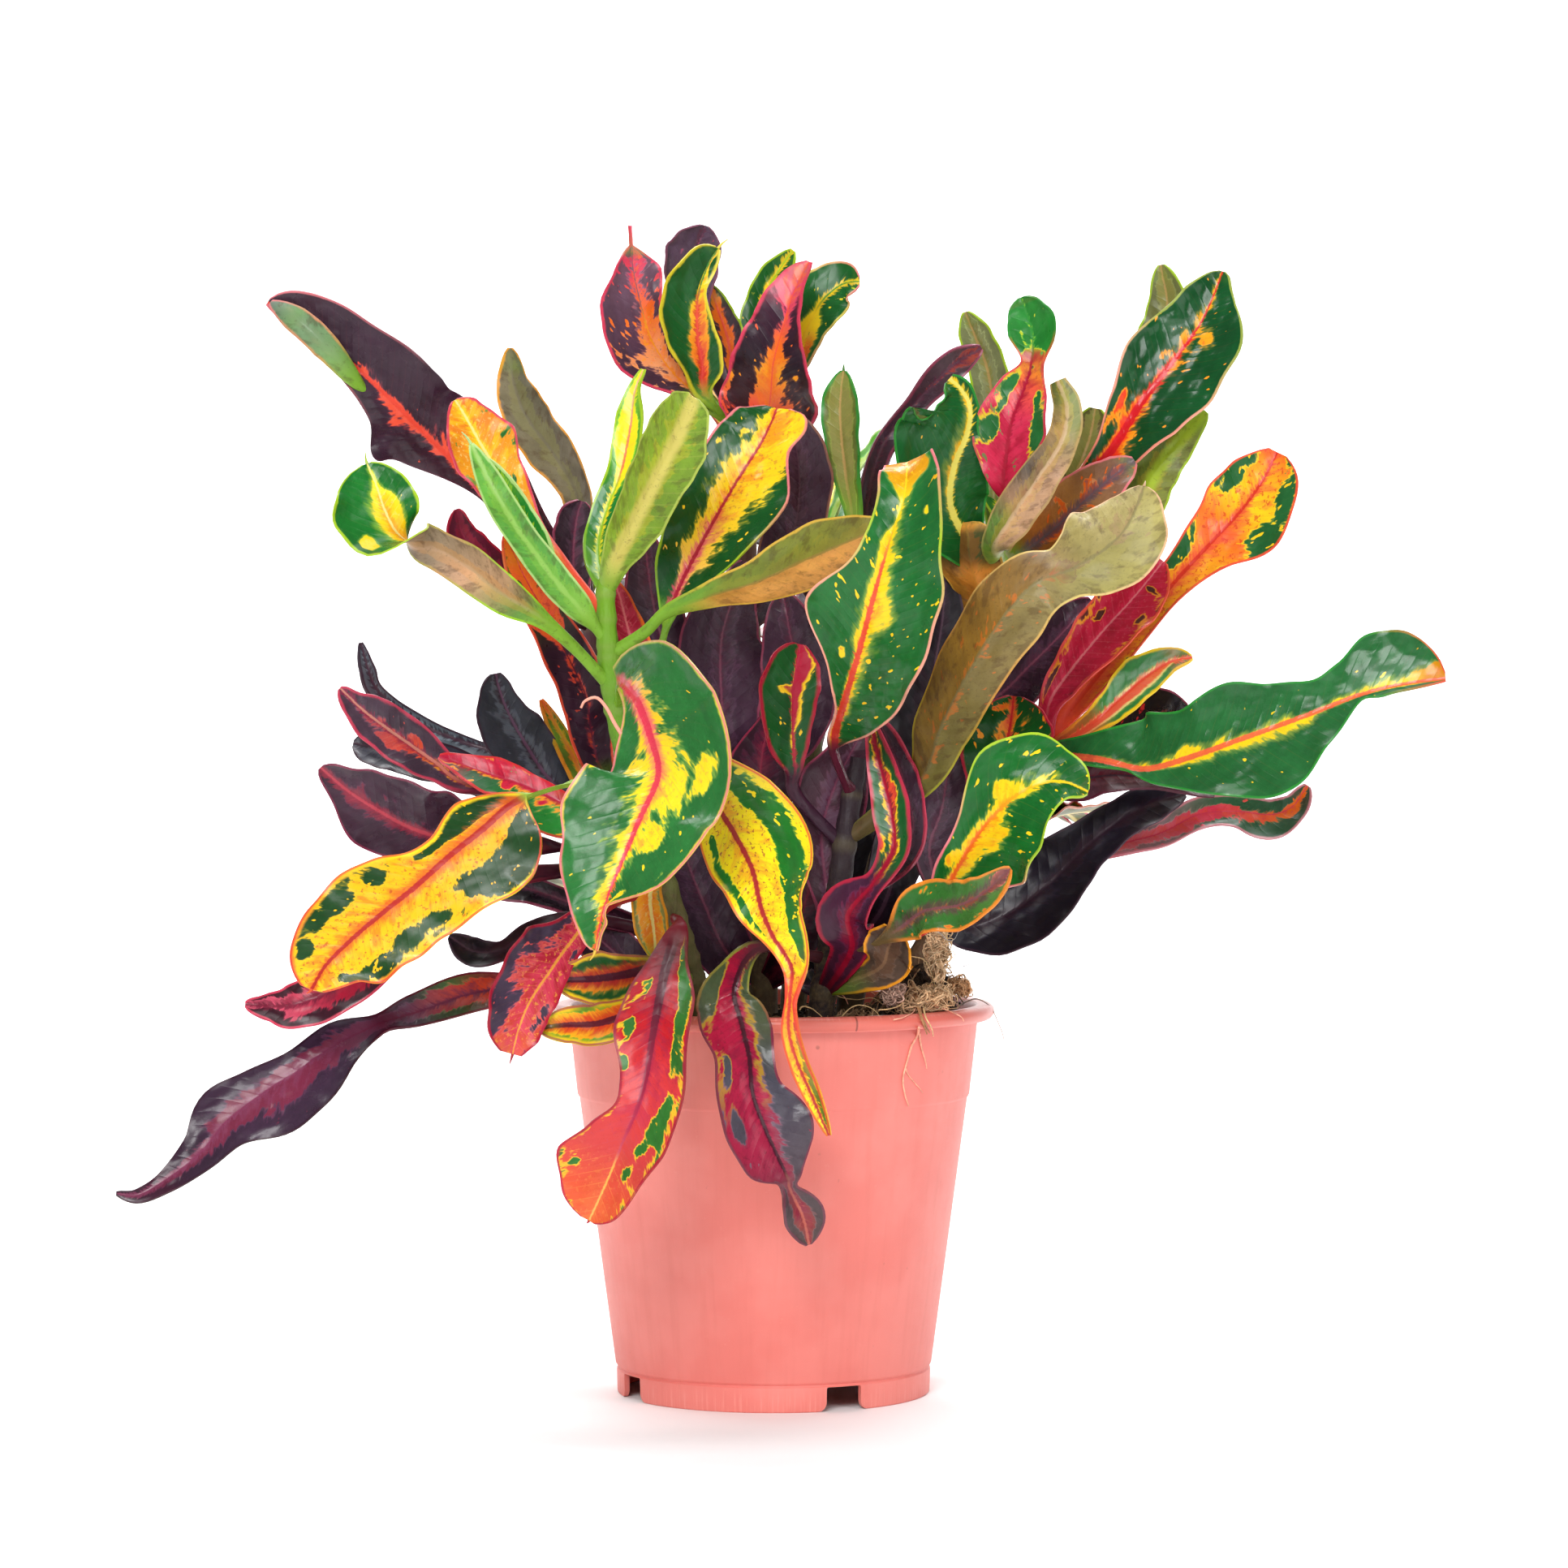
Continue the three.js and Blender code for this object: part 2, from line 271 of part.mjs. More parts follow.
  ["front_left", 0.04, 147, -22, [[-29, 144, -56, 2, 2, 0], [-33, 131, -80, 6, 7, 0],
    [-35.5, 119, -94, 11, 11.5, 0], [-37.5, 108, -102, 11, 12, 0], [-39.5, 96, -106, 12.5, 8.5, 0],
    [-42.5, 86, -108, 13.5, 7.5, 0], [-46.5, 77, -108, 13, 12, 0], [-50, 68, -107, 10, 19, 0],
    [-54, 59, -106, 8.5, 14, 0], [-57, 52.5, -105, 2, 3, 0]]],
  ["near", 0.04, 135, 24, [[-4, 137, -50, 2, 2, 0], [-12, 125, -68, 5, 7, 0],
    [-10, 114, -80, 9, 13, 0], [-7.5, 103, -88, 8, 11, 0], [-6.5, 92, -92, 11, 11, 0],
    [-3, 82, -93, 15, 12, 0], [1, 73, -93, 12.5, 11, 0], [4, 66.5, -92, 6, 5, 0],
    [5, 62, -91, 3, 2.5, 0], [9, 54, -90, 7, 6, 0], [11, 45, -89, 1, 1, 0]]],
  ["left", 0.04, 127, -26, [[-52, 132, -8, 1.8, 1.8, 0], [-76, 126, -22, 4, 3, 0],
    [-94, 122.5, -29, 6, 7, 0], [-110, 117, -34, 4.5, 6, 0], [-122, 113, -37, 3, 3.5, 0],
    [-134, 107.5, -40, 8, 7, 0], [-147, 99, -43, 14.5, 7, 0], [-159, 91, -46, 14.5, 9, 0],
    [-169, 83, -48, 9.5, 11, 0], [-177, 73.5, -50, 6, 7, 0], [-187, 65.5, -51, 4, 3.5, 0],
    [-196, 60.5, -53, 2.5, 2, 0], [-203, 61, -54, 0.6, 0.6, 0]]],
  ["front_left", 0.03, 163, -26, [[-38, 153, -40, 3.5, 6, 0], [-37, 143, -46, 5, 6, 0],
    [-36, 134, -48, 2.5, 2.5, 0], [-37, 130, -48, 0.8, 0.8, 0]]],
  ["front_left", 0.03, 177, -30, [[-36, 196, -18, 3, 3, 0], [-39, 212, -16, 4.5, 4.5, 0],
    [-43, 228, -18, 6, 6, 0], [-46, 240, -18, 4.5, 4.5, 0], [-49, 250, -18, 1, 1, 0]]],
  ["centre", 0.05, 178, -26, [[-14, 196, 2, 9, 9, 0], [-16, 214, -6, 13, 13, 0],
    [-16, 232, -8, 13, 13, 0], [-12, 246, -8, 7, 7, 0], [-9, 256, -8, 1, 1, 0]]],
  ["centre", 0.05, 200, -12, [[-28, 212, -2, 6, 6, 0], [-33, 227, -8, 9, 9, 0],
    [-37, 243, -12, 9, 9, 0], [-39, 257, -13, 6, 6, 0], [-40, 267, -13, 1, 1, 0]]],
  ["centre", 0.05, 190, 12, [[6, 204, 2, 9, 9, 0], [8, 219, -6, 12, 12, 0], [5, 234, -10, 9, 9, 0],
    [3, 246, -10, 2, 2, 0]]],
  ["side_right", 0.05, 150, -30, [[48, 166, -14, 5, 5, 0], [52, 180, -18, 7, 7, 0],
    [54, 195, -20, 6, 6, 0], [56, 210, -20, 1.5, 1.5, 0]]],
  ["centre", 0.05, 128, -30, [[-14, 135, 4, 9, 9, 0], [-22, 152, 0, 10, 10, 0],
    [-28, 168, -3, 9, 10, 0], [-31, 183, -4, 5, 6, 0], [-32, 192, -4, 1, 1, 0]]],
  ["centre", 0.05, 124, 28, [[4, 134, 2, 6, 6, 0], [9, 148, -4, 9, 9, 0], [13, 164, -8, 9, 9, 0],
    [15, 178, -9, 6, 6, 0], [16, 188, -9, 1, 1, 0]]],
  ["right", 0.05, 140, -28, [[34, 150, 4, 6, 6, 0], [39, 166, 0, 9, 8, 0], [43, 184, 0, 10, 9, 0],
    [46, 203, 0, 13, 9, 0], [49, 220, 0, 12, 8, 0], [52, 238, 0, 7, 7, 0], [53, 254, 0, 1, 1, 0]]],
  ["left", 0.05, 122, -28, [[-34, 126, 12, 4, 4, 0], [-46, 133, 8, 8, 8, 0], [-57, 143, 5, 7, 8, 0],
    [-66, 154, 4, 1, 1, 0]]],
  ["centre", 0.05, 150, 20, [[-2, 162, 4, 7, 7, 0], [-4, 176, -2, 10, 10, 0], [-4, 192, -6, 10, 10, 0],
    [-2, 204, -7, 5, 5, 0], [0, 211, -7, 1, 1, 0]]],
  ["back", 0.05, 128, 30, [[14, 140, 34, 8, 8, 0], [19, 156, 34, 11, 11, 0], [22, 174, 34, 10, 10, 0],
    [24, 190, 33, 6, 6, 0], [25, 200, 33, 1, 1, 0]]],
  ["back", 0.05, 134, -30, [[0, 148, 36, 8, 8, 0], [-10, 162, 34, 11, 11, 0],
    [-16, 178, 33, 10, 10, 0], [-18, 194, 33, 5, 5, 0], [-18, 203, 33, 1, 1, 0]]],
];

// The leaves behind: stem, waviness, height on the stem, bearing (90 is straight back), length, half
// width, the angle that they rise at, how far they bend over, and the roll at the tip, in degrees
const HIDDEN_LEAVES = [
  ["back", 0.08, 146, 62, 76, 12, 25, 50, 20],
  ["back", 0.08, 140, 122, 80, 12, 22, 55, -20],
  ["back", 0.08, 155, 88, 72, 13, 25, 70, 15],
  ["back", 0.08, 172, 30, 105, 12, 25, 50, -15],
  ["back", 0.08, 185, 150, 105, 13, 30, 60, 20],
  ["back", 0.08, 190, 84, 86, 14, 72, 55, -10],
  ["back", 0.08, 214, 112, 80, 11, 45, 70, 25],
  ["back", 0.08, 228, 40, 90, 12, 50, 70, -20],
  ["back", 0.08, 240, 150, 85, 11, 55, 70, 10],
  ["back", 0.08, 250, 90, 80, 11, 65, 70, 15],
  ["back", 0.08, 258, 15, 60, 9, 75, 40, 0],
  ["back", 0.08, 260, 205, 62, 9, 80, 30, 0],
  ["right", 0.08, 168, 70, 100, 12, 22, 55, 10],
  ["right", 0.08, 190, 38, 95, 11, 25, 50, -15],
  ["right", 0.08, 212, 95, 95, 12, 40, 70, 10],
  ["right", 0.08, 236, 55, 90, 11, 45, 60, 15],
  ["right", 0.08, 256, 95, 75, 10, 60, 50, -10],
  ["left", 0.08, 145, 108, 90, 11, 20, 55, 10],
  ["left", 0.08, 146, 150, 90, 11, 20, 50, -10],
  ["left", 0.08, 190, 95, 92, 12, 35, 65, 15],
  ["left", 0.08, 215, 104, 78, 12, 40, 60, -15],
  ["left", 0.08, 245, 78, 70, 10, 50, 50, 10],
  ["centre", 0.08, 262, 130, 72, 10, 50, 60, 10],
  ["centre", 0.08, 285, 112, 60, 9, 60, 50, -10],
  ["centre", 0.08, 225, 128, 85, 10, 45, 60, 10],
  ["side_right", 0.08, 152, 48, 92, 10, 38, 45, 10],
  ["side_right", 0.08, 165, 62, 85, 10, 30, 50, -10],
  ["right", 0.05, 122, 205, 19, 8, 14, 10, 50],
];

// How wide a hidden leaf is at each step along it, as a share of its half width
const ARCH_WIDTHS = [0.45, 0.95, 1, 0.74, 0.08];

// Closed meshes

function toSolid(geometry) {
  const bare = geometry.clone();
  bare.deleteAttribute("normal");
  bare.deleteAttribute("uv");
  const merged = mergeVertices(bare, 1e-4);
  const corners = merged.index.array;
  const kept = [];
  for (let i = 0; i < corners.length; i += 3) {
    const [a, b, c] = [corners[i], corners[i + 1], corners[i + 2]];
    if (a !== b && b !== c && c !== a) kept.push(a, b, c);
  }
  return solidFrom(merged.attributes.position.array, kept);
}

function solidFrom(positions, corners) {
  const mesh = new wasm.Mesh({
    numProp: 3,
    vertProperties: new Float32Array(positions),
    triVerts: new Uint32Array(corners),
  });
  return new wasm.Manifold(mesh);
}

function toMesh(name, solid, colour, roughness) {
  const data = solid.getMesh();
  const geometry = new THREE.BufferGeometry();
  geometry.setAttribute("position", new THREE.BufferAttribute(new Float32Array(data.vertProperties), 3));
  geometry.setIndex(new THREE.BufferAttribute(new Uint32Array(data.triVerts), 1));
  geometry.computeVertexNormals();
  const material = new THREE.MeshStandardMaterial({ color: colour, roughness, metalness: 0 });
  const mesh = new THREE.Mesh(geometry, material);
  mesh.name = name;
  return mesh;
}

// A profile of [radius, height] pairs turned about the upright axis
function turned(profile, sides) {
  const points = profile.map(([radius, height]) => new THREE.Vector2(radius, height));
  return toSolid(new THREE.LatheGeometry(points, sides).rotateX(Math.PI / 2));
}

// Smooth interpolation through rows of numbers: the values and how fast they change at position t
function along(rows, t) {
  const last = rows.length - 1;
  const i = Math.min(Math.floor(t), last - 1);
  const f = t - i;
  const row = (j) => rows[Math.max(0, Math.min(last, j))];
  return rows[0].map((_, k) => {
    const [b, c] = [row(i)[k], row(i + 1)[k]];
    const a = i === 0 ? 2 * b - c : row(i - 1)[k];
    const d = i === last - 1 ? 2 * c - b : row(i + 2)[k];
    const [p, q, r] = [c - a, 2 * a - 5 * b + 4 * c - d, 3 * b - a - 3 * c + d];
    return [0.5 * (2 * b + p * f + q * f * f + r * f ** 3), 0.5 * (p + 2 * q * f + 3 * r * f * f)];
  });
}

// The pot: one skin from the underside of its floor, over the lip and down the inside

function makePot() {
  const neck = POT_HEIGHT - LIP_DEPTH;
  const profile = [
    [0, FLOOR_UNDER],
    [FOOT_RADIUS - FOOT_WALL, FLOOR_UNDER],
    [FOOT_RADIUS - FOOT_WALL, 0.4],
    [FOOT_RADIUS - FOOT_WALL + 0.4, 0],
    [FOOT_RADIUS - 0.5, 0],
    [FOOT_RADIUS, 0.8],
    [FOOT_RADIUS, FOOT_HEIGHT - 0.5],
    [FOOT_RADIUS - 0.5, FOOT_HEIGHT],
    [FOOT_RADIUS + 0.4, FOOT_HEIGHT + 0.7],
    [STEP_RADIUS, STEP_HEIGHT],
    [STEP_RADIUS + STEP_DEPTH, STEP_HEIGHT + STEP_DEPTH],
    [NECK_RADIUS, neck],
    [NECK_RADIUS + 0.5, POT_HEIGHT - WALL],
    [LIP_RADIUS - 2.2, POT_HEIGHT - WALL],
    [LIP_RADIUS - 2, neck + 0.3],
    [LIP_RADIUS - 1, neck],
    [LIP_RADIUS, neck + 1.6],
    [LIP_RADIUS, POT_HEIGHT - 1.6],
    [LIP_RADIUS - 1.5, POT_HEIGHT],
    [NECK_RADIUS - WALL + 0.9, POT_HEIGHT],
    [NECK_RADIUS - WALL + 0.3, POT_HEIGHT - 0.9],
    [NECK_RADIUS - WALL, neck],
    [FOOT_RADIUS + 0.4 - WALL, FLOOR_TOP],
    [0, FLOOR_TOP],
  ];
  let pot = turned(profile, POT_SIDES);
  for (let i = 0; i < NOTCH_COUNT; i += 1) {
    const turn = THREE.MathUtils.degToRad(NOTCH_FIRST_DEG) + (i * 2 * Math.PI) / NOTCH_COUNT;
    pot = pot.subtract(makeNotch(turn)).subtract(makeDrain(turn));
  }
  return pot;
}

// A notch is wider at the floor, where its corners are rounded
function makeNotch(turn) {
  const [half, flare] = [NOTCH_WIDTH / 2, NOTCH_FLARE];
  const outline = new THREE.Shape([
    new THREE.Vector2(-half - flare, -1),
    new THREE.Vector2(half + flare, -1),
    new THREE.Vector2(half + flare, 0),
    new THREE.Vector2(half + flare * 0.3, flare * 0.3),
    new THREE.Vector2(half, flare),
    new THREE.Vector2(half, NOTCH_HEIGHT - 1),
    new THREE.Vector2(half - 1, NOTCH_HEIGHT),
    new THREE.Vector2(1 - half, NOTCH_HEIGHT),
    new THREE.Vector2(-half, NOTCH_HEIGHT - 1),
    new THREE.Vector2(-half, flare),
    new THREE.Vector2(-half - flare * 0.3, flare * 0.3),
    new THREE.Vector2(-half - flare, 0),
  ]);
  const depth = FOOT_WALL + 6;
  const cut = new THREE.ExtrudeGeometry(outline, { depth, bevelEnabled: false, steps: 1 });
  cut.rotateX(Math.PI / 2).rotateZ(Math.PI / 2);
  cut.translate(FOOT_RADIUS - FOOT_WALL - 4, 0, 0).rotateZ(turn);
  return toSolid(cut);
}

function makeDrain(turn) {
  const drill = new THREE.CylinderGeometry(DRAIN_RADIUS, DRAIN_RADIUS, 8, DRAIN_SIDES);
  drill.rotateX(Math.PI / 2).translate(DRAIN_RING, 0, FLOOR_TOP).rotateZ(turn);
  return toSolid(drill);
}

// The peat fills the pot to just under the lip: an uneven top on a plug with the pot's own taper

function soilHeight(x, y) {
  const crumbs = 0.9 * Math.sin(0.31 * x + 1) * Math.cos(0.27 * y) + 0.6 * Math.sin(0.62 * x + 0.5 * y);
  const away = ((x - LUMP.x) ** 2 + (y - LUMP.y) ** 2) / (2 * LUMP.spread ** 2);
  return SOIL_LEVEL + crumbs + LUMP.height * Math.exp(-away);
}

function makeSoil(stems) {
  const wallAt = (z) => {
    const share = (z - FLOOR_TOP) / (POT_HEIGHT - LIP_DEPTH - FLOOR_TOP);
    const inner = THREE.MathUtils.lerp(FOOT_RADIUS + 0.4, NECK_RADIUS, share) - WALL;
    return inner - CLEARANCE;
  };
  const rings = [
    { radius: wallAt(FLOOR_TOP), height: () => FLOOR_TOP + CLEARANCE },
    { radius: wallAt(SOIL_EDGE), height: () => SOIL_EDGE },
    ...SOIL_RINGS.toReversed().map((radius) => ({ radius, height: soilHeight })),
  ];
  const positions = [0, 0, FLOOR_TOP + CLEARANCE];
  for (const { radius, height } of rings) {
    for (let i = 0; i < POT_SIDES; i += 1) {
      const turn = (i * 2 * Math.PI) / POT_SIDES;
      const [x, y] = [radius * Math.sin(turn), -radius * Math.cos(turn)];
      positions.push(x, y, height(x, y));
    }
  }
  const top = positions.length / 3;
  positions.push(0, 0, soilHeight(0, 0));
  const corners = [];
  const at = (ring, i) => 1 + ring * POT_SIDES + (i % POT_SIDES);
  for (let i = 0; i < POT_SIDES; i += 1) {
    corners.push(0, at(0, i + 1), at(0, i));
    corners.push(top, at(rings.length - 1, i), at(rings.length - 1, i + 1));
    for (let ring = 0; ring < rings.length - 1; ring += 1) {
      corners.push(at(ring, i), at(ring, i + 1), at(ring + 1, i + 1));
      corners.push(at(ring, i), at(ring + 1, i + 1), at(ring + 1, i));
    }
  }
  const whole = solidFrom(positions, corners);
  return stems.reduce((soil, stem) => soil.subtract(stemTube(stem, CLEARANCE)), whole);
}

// Stems and leaves

function stemTube(rows, extra = 0) {
  const steps = Math.round((rows.length - 1) * STEPS_PER_ROW);
  const positions = [];
  for (let s = 0; s <= steps; s += 1) {
    const row = along(rows, (s / steps) * (rows.length - 1));
    const centre = new THREE.Vector3(row[0][0], row[1][0], row[2][0]);
    const ahead = new THREE.Vector3(row[0][1], row[1][1], row[2][1]).normalize();
    const across = new THREE.Vector3(0, 1, 0).cross(ahead).normalize();
    const up = ahead.clone().cross(across);
    if (s === 0) centre.addScaledVector(ahead, -extra);
    for (let i = 0; i < STEM_SIDES; i += 1) {
      const turn = (i * 2 * Math.PI) / STEM_SIDES;
      const reach = row[3][0] + extra;
      const point = centre.clone().addScaledVector(across, reach * Math.cos(turn));
      positions.push(...point.addScaledVector(up, reach * Math.sin(turn)));
    }
  }
  return solidFrom(positions, tubeCorners(steps, STEM_SIDES));
}

function tubeCorners(steps, sides) {
  const corners = [];
  const at = (s, i) => s * sides + (i % sides);
  for (let i = 1; i < sides - 1; i += 1) {
    corners.push(at(0, 0), at(0, i + 1), at(0, i));
    corners.push(at(steps, 0), at(steps, i), at(steps, i + 1));
  }
  for (let s = 0; s < steps; s += 1) {
    for (let i = 0; i < sides; i += 1) {
      corners.push(at(s, i), at(s, i + 1), at(s + 1, i + 1));
      corners.push(at(s, i), at(s + 1, i + 1), at(s + 1, i));
    }
  }
  return corners;
}

// The point on a stem's axis at a height above the floor
function onStem(rows, height) {
  let [low, high] = [0, rows.length - 1];
  for (let i = 0; i < 24; i += 1) {
    const middle = (low + high) / 2;
    if (along(rows, middle)[2][0] < height) low = middle;
    else high = middle;
  }
  return along(rows, low).slice(0, 3).map(([value]) => value);
}

// A seen leaf's rows in the pot's frame: place, squared widths, roll and the folds of its two halves
function placedRows([stem, , height, turn, rows]) {
  const placed = rows.map(([x, z, y, left, right, roll], i) => {
    const scale = (EYE.distance + y) / EYE.distance;
    const turned = height > 0 && i === 0 ? turn * TURN_AT_STALK : turn;
    return [
      EYE.x + (x - EYE.x) * scale,
      y,
      EYE.z + (z - EYE.z) * scale,
      (left * scale * widened(-turned)) ** 2,
      (right * scale * widened(turned)) ** 2,
      roll + turned,
    ];
  });
  if (height > 0) {
    const stalk = [STALK_HALF_WIDTH ** 2, STALK_HALF_WIDTH ** 2, rows[0][5]];
    placed.unshift([...onStem(STEMS[stem], height), ...stalk]);
  }
  return placed;
}

// How much wider a cupped half blade is than it looks, once it is turned about its rib
function widened(turn) {
  const cup = THREE.MathUtils.degToRad(BLADE_CUP_DEG);
  return Math.cos(cup) / Math.cos(THREE.MathUtils.degToRad(turn) + cup);
}

// A hidden leaf's rows: it rises from its stem at a bearing, and bends over along its length
function archedRows([stem, , height, bearing, length, halfWidth, rise, droop, roll]) {
  const spans = ARCH_WIDTHS.length;
  const place = new THREE.Vector3(...onStem(STEMS[stem], height));
  const turn = THREE.MathUtils.degToRad(bearing);
  const rows = [[...place, STALK_HALF_WIDTH ** 2, STALK_HALF_WIDTH ** 2, 0]];
  ARCH_WIDTHS.forEach((width, i) => {
    const tilt = THREE.MathUtils.degToRad(rise - (droop * i) / (spans - 1));
    const flat = Math.cos(tilt);
    const step = new THREE.Vector3(flat * Math.cos(turn), flat * Math.sin(turn), Math.sin(tilt));
    place.addScaledVector(step, length / spans);
    const squared = Math.max(width * halfWidth, 0.8) ** 2;
    rows.push([...place, squared, squared, (roll * i) / (spans - 1)]);
  });
  return rows;
}

// The blade between two faces, with the same triangles on both
function blade(rows, wave, seed, facing) {
  const steps = Math.round((rows.length - 1) * STEPS_PER_ROW);
  const columns = [-1, 0, 1];
  const grid = [];
  for (let s = 0; s <= steps; s += 1) {
    grid.push(bladeStation(rows, s / steps, columns, wave, seed, facing));
  }
  const upper = [];
  const lower = [];
  grid.forEach((station, s) => {
    station.points.forEach((point, c) => {
      const before = grid[Math.max(0, s - 1)].points[c];
      const after = grid[Math.min(steps, s + 1)].points[c];
      const left = station.points[Math.max(0, c - 1)];
      const right = station.points[Math.min(columns.length - 1, c + 1)];
      const normal = right.clone().sub(left).cross(after.clone().sub(before)).normalize();
      upper.push(...point.clone().addScaledVector(normal, station.thickness / 2));
      lower.push(...point.clone().addScaledVector(normal, -station.thickness / 2));
    });
  });
  return solidFrom([...upper, ...lower], bladeCorners(steps, columns.length));
}

function bladeStation(rows, share, columns, wave, seed, facing) {
  const row = along(rows, share * (rows.length - 1));
  const centre = new THREE.Vector3(row[0][0], row[1][0], row[2][0]);
  const ahead = new THREE.Vector3(row[0][1], row[1][1], row[2][1]).normalize();
  const side = ahead.clone().cross(facing).normalize();
  const face = side.clone().cross(ahead);
  const roll = THREE.MathUtils.degToRad(row[5][0]);
  const out = side.clone().multiplyScalar(Math.cos(roll)).addScaledVector(face, Math.sin(roll));
  const up = face.clone().multiplyScalar(Math.cos(roll)).addScaledVector(side, -Math.sin(roll));
  const fold = 2 * THREE.MathUtils.degToRad(BLADE_CUP_DEG);
  const points = columns.map((column) => {
    const half = column < 0 ? 0 : 1;
    const width = Math.sqrt(Math.max(0.25, row[3 + half][0]));
    const reach = Math.abs(column);
    const outward = (width * Math.sin(fold * reach)) / fold;
    const lift = (width * (1 - Math.cos(fold * reach))) / fold;
    const phase = share * (6 + (seed % 3)) * Math.PI + seed + 2 * half * Math.sign(reach);
    const ripple = wave * width * reach * reach * Math.sin(phase);
    const point = centre.clone().addScaledVector(out, Math.sign(column) * outward);
    return point.addScaledVector(up, lift + ripple);
  });
  const widest = Math.sqrt(Math.max(0.25, row[3][0], row[4][0]));
  const open = THREE.MathUtils.smoothstep(widest, STALK_HALF_WIDTH, 3 * STALK_HALF_WIDTH);
  const thickness = THREE.MathUtils.lerp(STALK_THICKNESS, BLADE_THICKNESS, Math.max(open, share ** 2));
  return { points, thickness };
}

function bladeCorners(steps, columns) {
  const corners = [];
  const under = (steps + 1) * columns;
  const at = (s, c) => s * columns + c;
  const quad = (a, b, c, d) => corners.push(a, b, c, a, c, d);
  for (let s = 0; s < steps; s += 1) {
    for (let c = 0; c < columns - 1; c += 1) {
      quad(at(s, c), at(s, c + 1), at(s + 1, c + 1), at(s + 1, c));
      corners.push(under + at(s, c), under + at(s + 1, c + 1), under + at(s, c + 1));
      corners.push(under + at(s, c), under + at(s + 1, c), under + at(s + 1, c + 1));
    }
    const edge = columns - 1;
    quad(at(s, 0), at(s + 1, 0), under + at(s + 1, 0), under + at(s, 0));
    quad(at(s, edge), under + at(s, edge), under + at(s + 1, edge), at(s + 1, edge));
  }
  for (let c = 0; c < columns - 1; c += 1) {
    quad(at(0, c), under + at(0, c), under + at(0, c + 1), at(0, c + 1));
    quad(at(steps, c), at(steps, c + 1), under + at(steps, c + 1), under + at(steps, c));
  }
  return corners;
}

// A leafy stem is its stem with every leaf that grows on it, joined into one body
function makeLeafyStem(name) {
  const towardsViewer = new THREE.Vector3(0, -1, 0);
  const towardsSky = new THREE.Vector3(0, 0, 1);
  let solid = stemTube(STEMS[name]);
  SEEN_LEAVES.forEach((leaf, i) => {
    if (leaf[0] === name) solid = solid.add(blade(placedRows(leaf), leaf[1], i, towardsViewer));
  });
  HIDDEN_LEAVES.forEach((leaf, i) => {
    if (leaf[0] === name) solid = solid.add(blade(archedRows(leaf), leaf[1], i, towardsSky));
  });
  return solid.decompose().sort((a, b) => b.volume() - a.volume())[0];
}

const STEM_COLOURS = {
  front_left: "#5f9a2c",
  centre: "#7d3a3c",
  right: "#3f7a35",
  side_right: "#a8542a",
  near: "#6c7a3c",
  left: "#4d2f40",
  back: "#5b6b35",
};

const plant = new THREE.Group();
plant.add(toMesh("pot", makePot(), "#d98271", 0.55));
plant.add(toMesh("soil", makeSoil(Object.values(STEMS)), "#2a211b", 0.95));
for (const name of Object.keys(STEMS)) {
  plant.add(toMesh(`leafy_stem_${name}`, makeLeafyStem(name), STEM_COLOURS[name], 0.35));
}

export default plant;
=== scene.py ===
"""The looks of a potted croton: finer leaves, stems, peat and pot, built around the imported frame."""

import math

import bmesh
import bpy
import numpy as np
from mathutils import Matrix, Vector, noise


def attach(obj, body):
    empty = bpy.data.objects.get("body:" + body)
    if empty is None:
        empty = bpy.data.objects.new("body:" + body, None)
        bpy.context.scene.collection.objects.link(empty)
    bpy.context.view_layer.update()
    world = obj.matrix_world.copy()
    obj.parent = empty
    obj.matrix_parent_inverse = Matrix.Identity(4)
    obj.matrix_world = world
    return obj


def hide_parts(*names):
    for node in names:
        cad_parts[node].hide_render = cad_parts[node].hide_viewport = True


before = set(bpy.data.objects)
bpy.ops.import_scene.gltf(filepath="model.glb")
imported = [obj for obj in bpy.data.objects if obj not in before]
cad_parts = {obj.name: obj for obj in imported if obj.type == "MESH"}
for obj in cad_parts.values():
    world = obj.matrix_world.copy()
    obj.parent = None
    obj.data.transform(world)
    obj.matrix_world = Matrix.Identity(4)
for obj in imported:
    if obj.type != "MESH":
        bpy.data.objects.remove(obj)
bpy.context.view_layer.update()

# Sizes are in millimetres in the frame's own axes: the viewer looks along +Y, and the floor is at height 0
MM = 0.001
VIEWER = np.array([0.0, -1.0, 0.0])
SKY = np.array([0.0, 0.0, 1.0])

# The eye and the camera, from the ellipses of the lip and foot
EYE_X, EYE_Z, EYE_DISTANCE = 3.25, 230.0, 1575.0
CAMERA_LENS, CAMERA_SENSOR = 117.4, 36
CAMERA_AIM_Z = 187.4

# Blades, stalks and stems
STALK_HALF_WIDTH = 2.0
STALK_THICKNESS = 2.7
BLADE_THICKNESS = 0.5
BLADE_CUP_DEG = 12.0
TURN_AT_STALK = 0.4
LEAF_STEP, FEWEST_STEPS, MOST_STEPS = 1.9, 16, 76
THREAD_RADIUS, THREAD_TIP, THREAD_RINGS, THREAD_SIDES = 0.5, 0.12, 9, 6
STEM_RINGS, STEM_SIDES = 90, 20
SCAR_SPREAD, SCAR_SWELL, STEM_RIPPLE = 1.1, 0.09, 0.12
CHANNEL_DEPTH, CHANNEL_SPREAD, KEEL_DEPTH, KEEL_SPREAD = 0.3, 1.1, 0.85, 1.25
WIDE_NIBBLE, FINE_NIBBLE, MARGIN_FRILL = 0.022, 0.016, 0.035
VEIN_SPACING, VEIN_SLANT = 4.6, 0.75

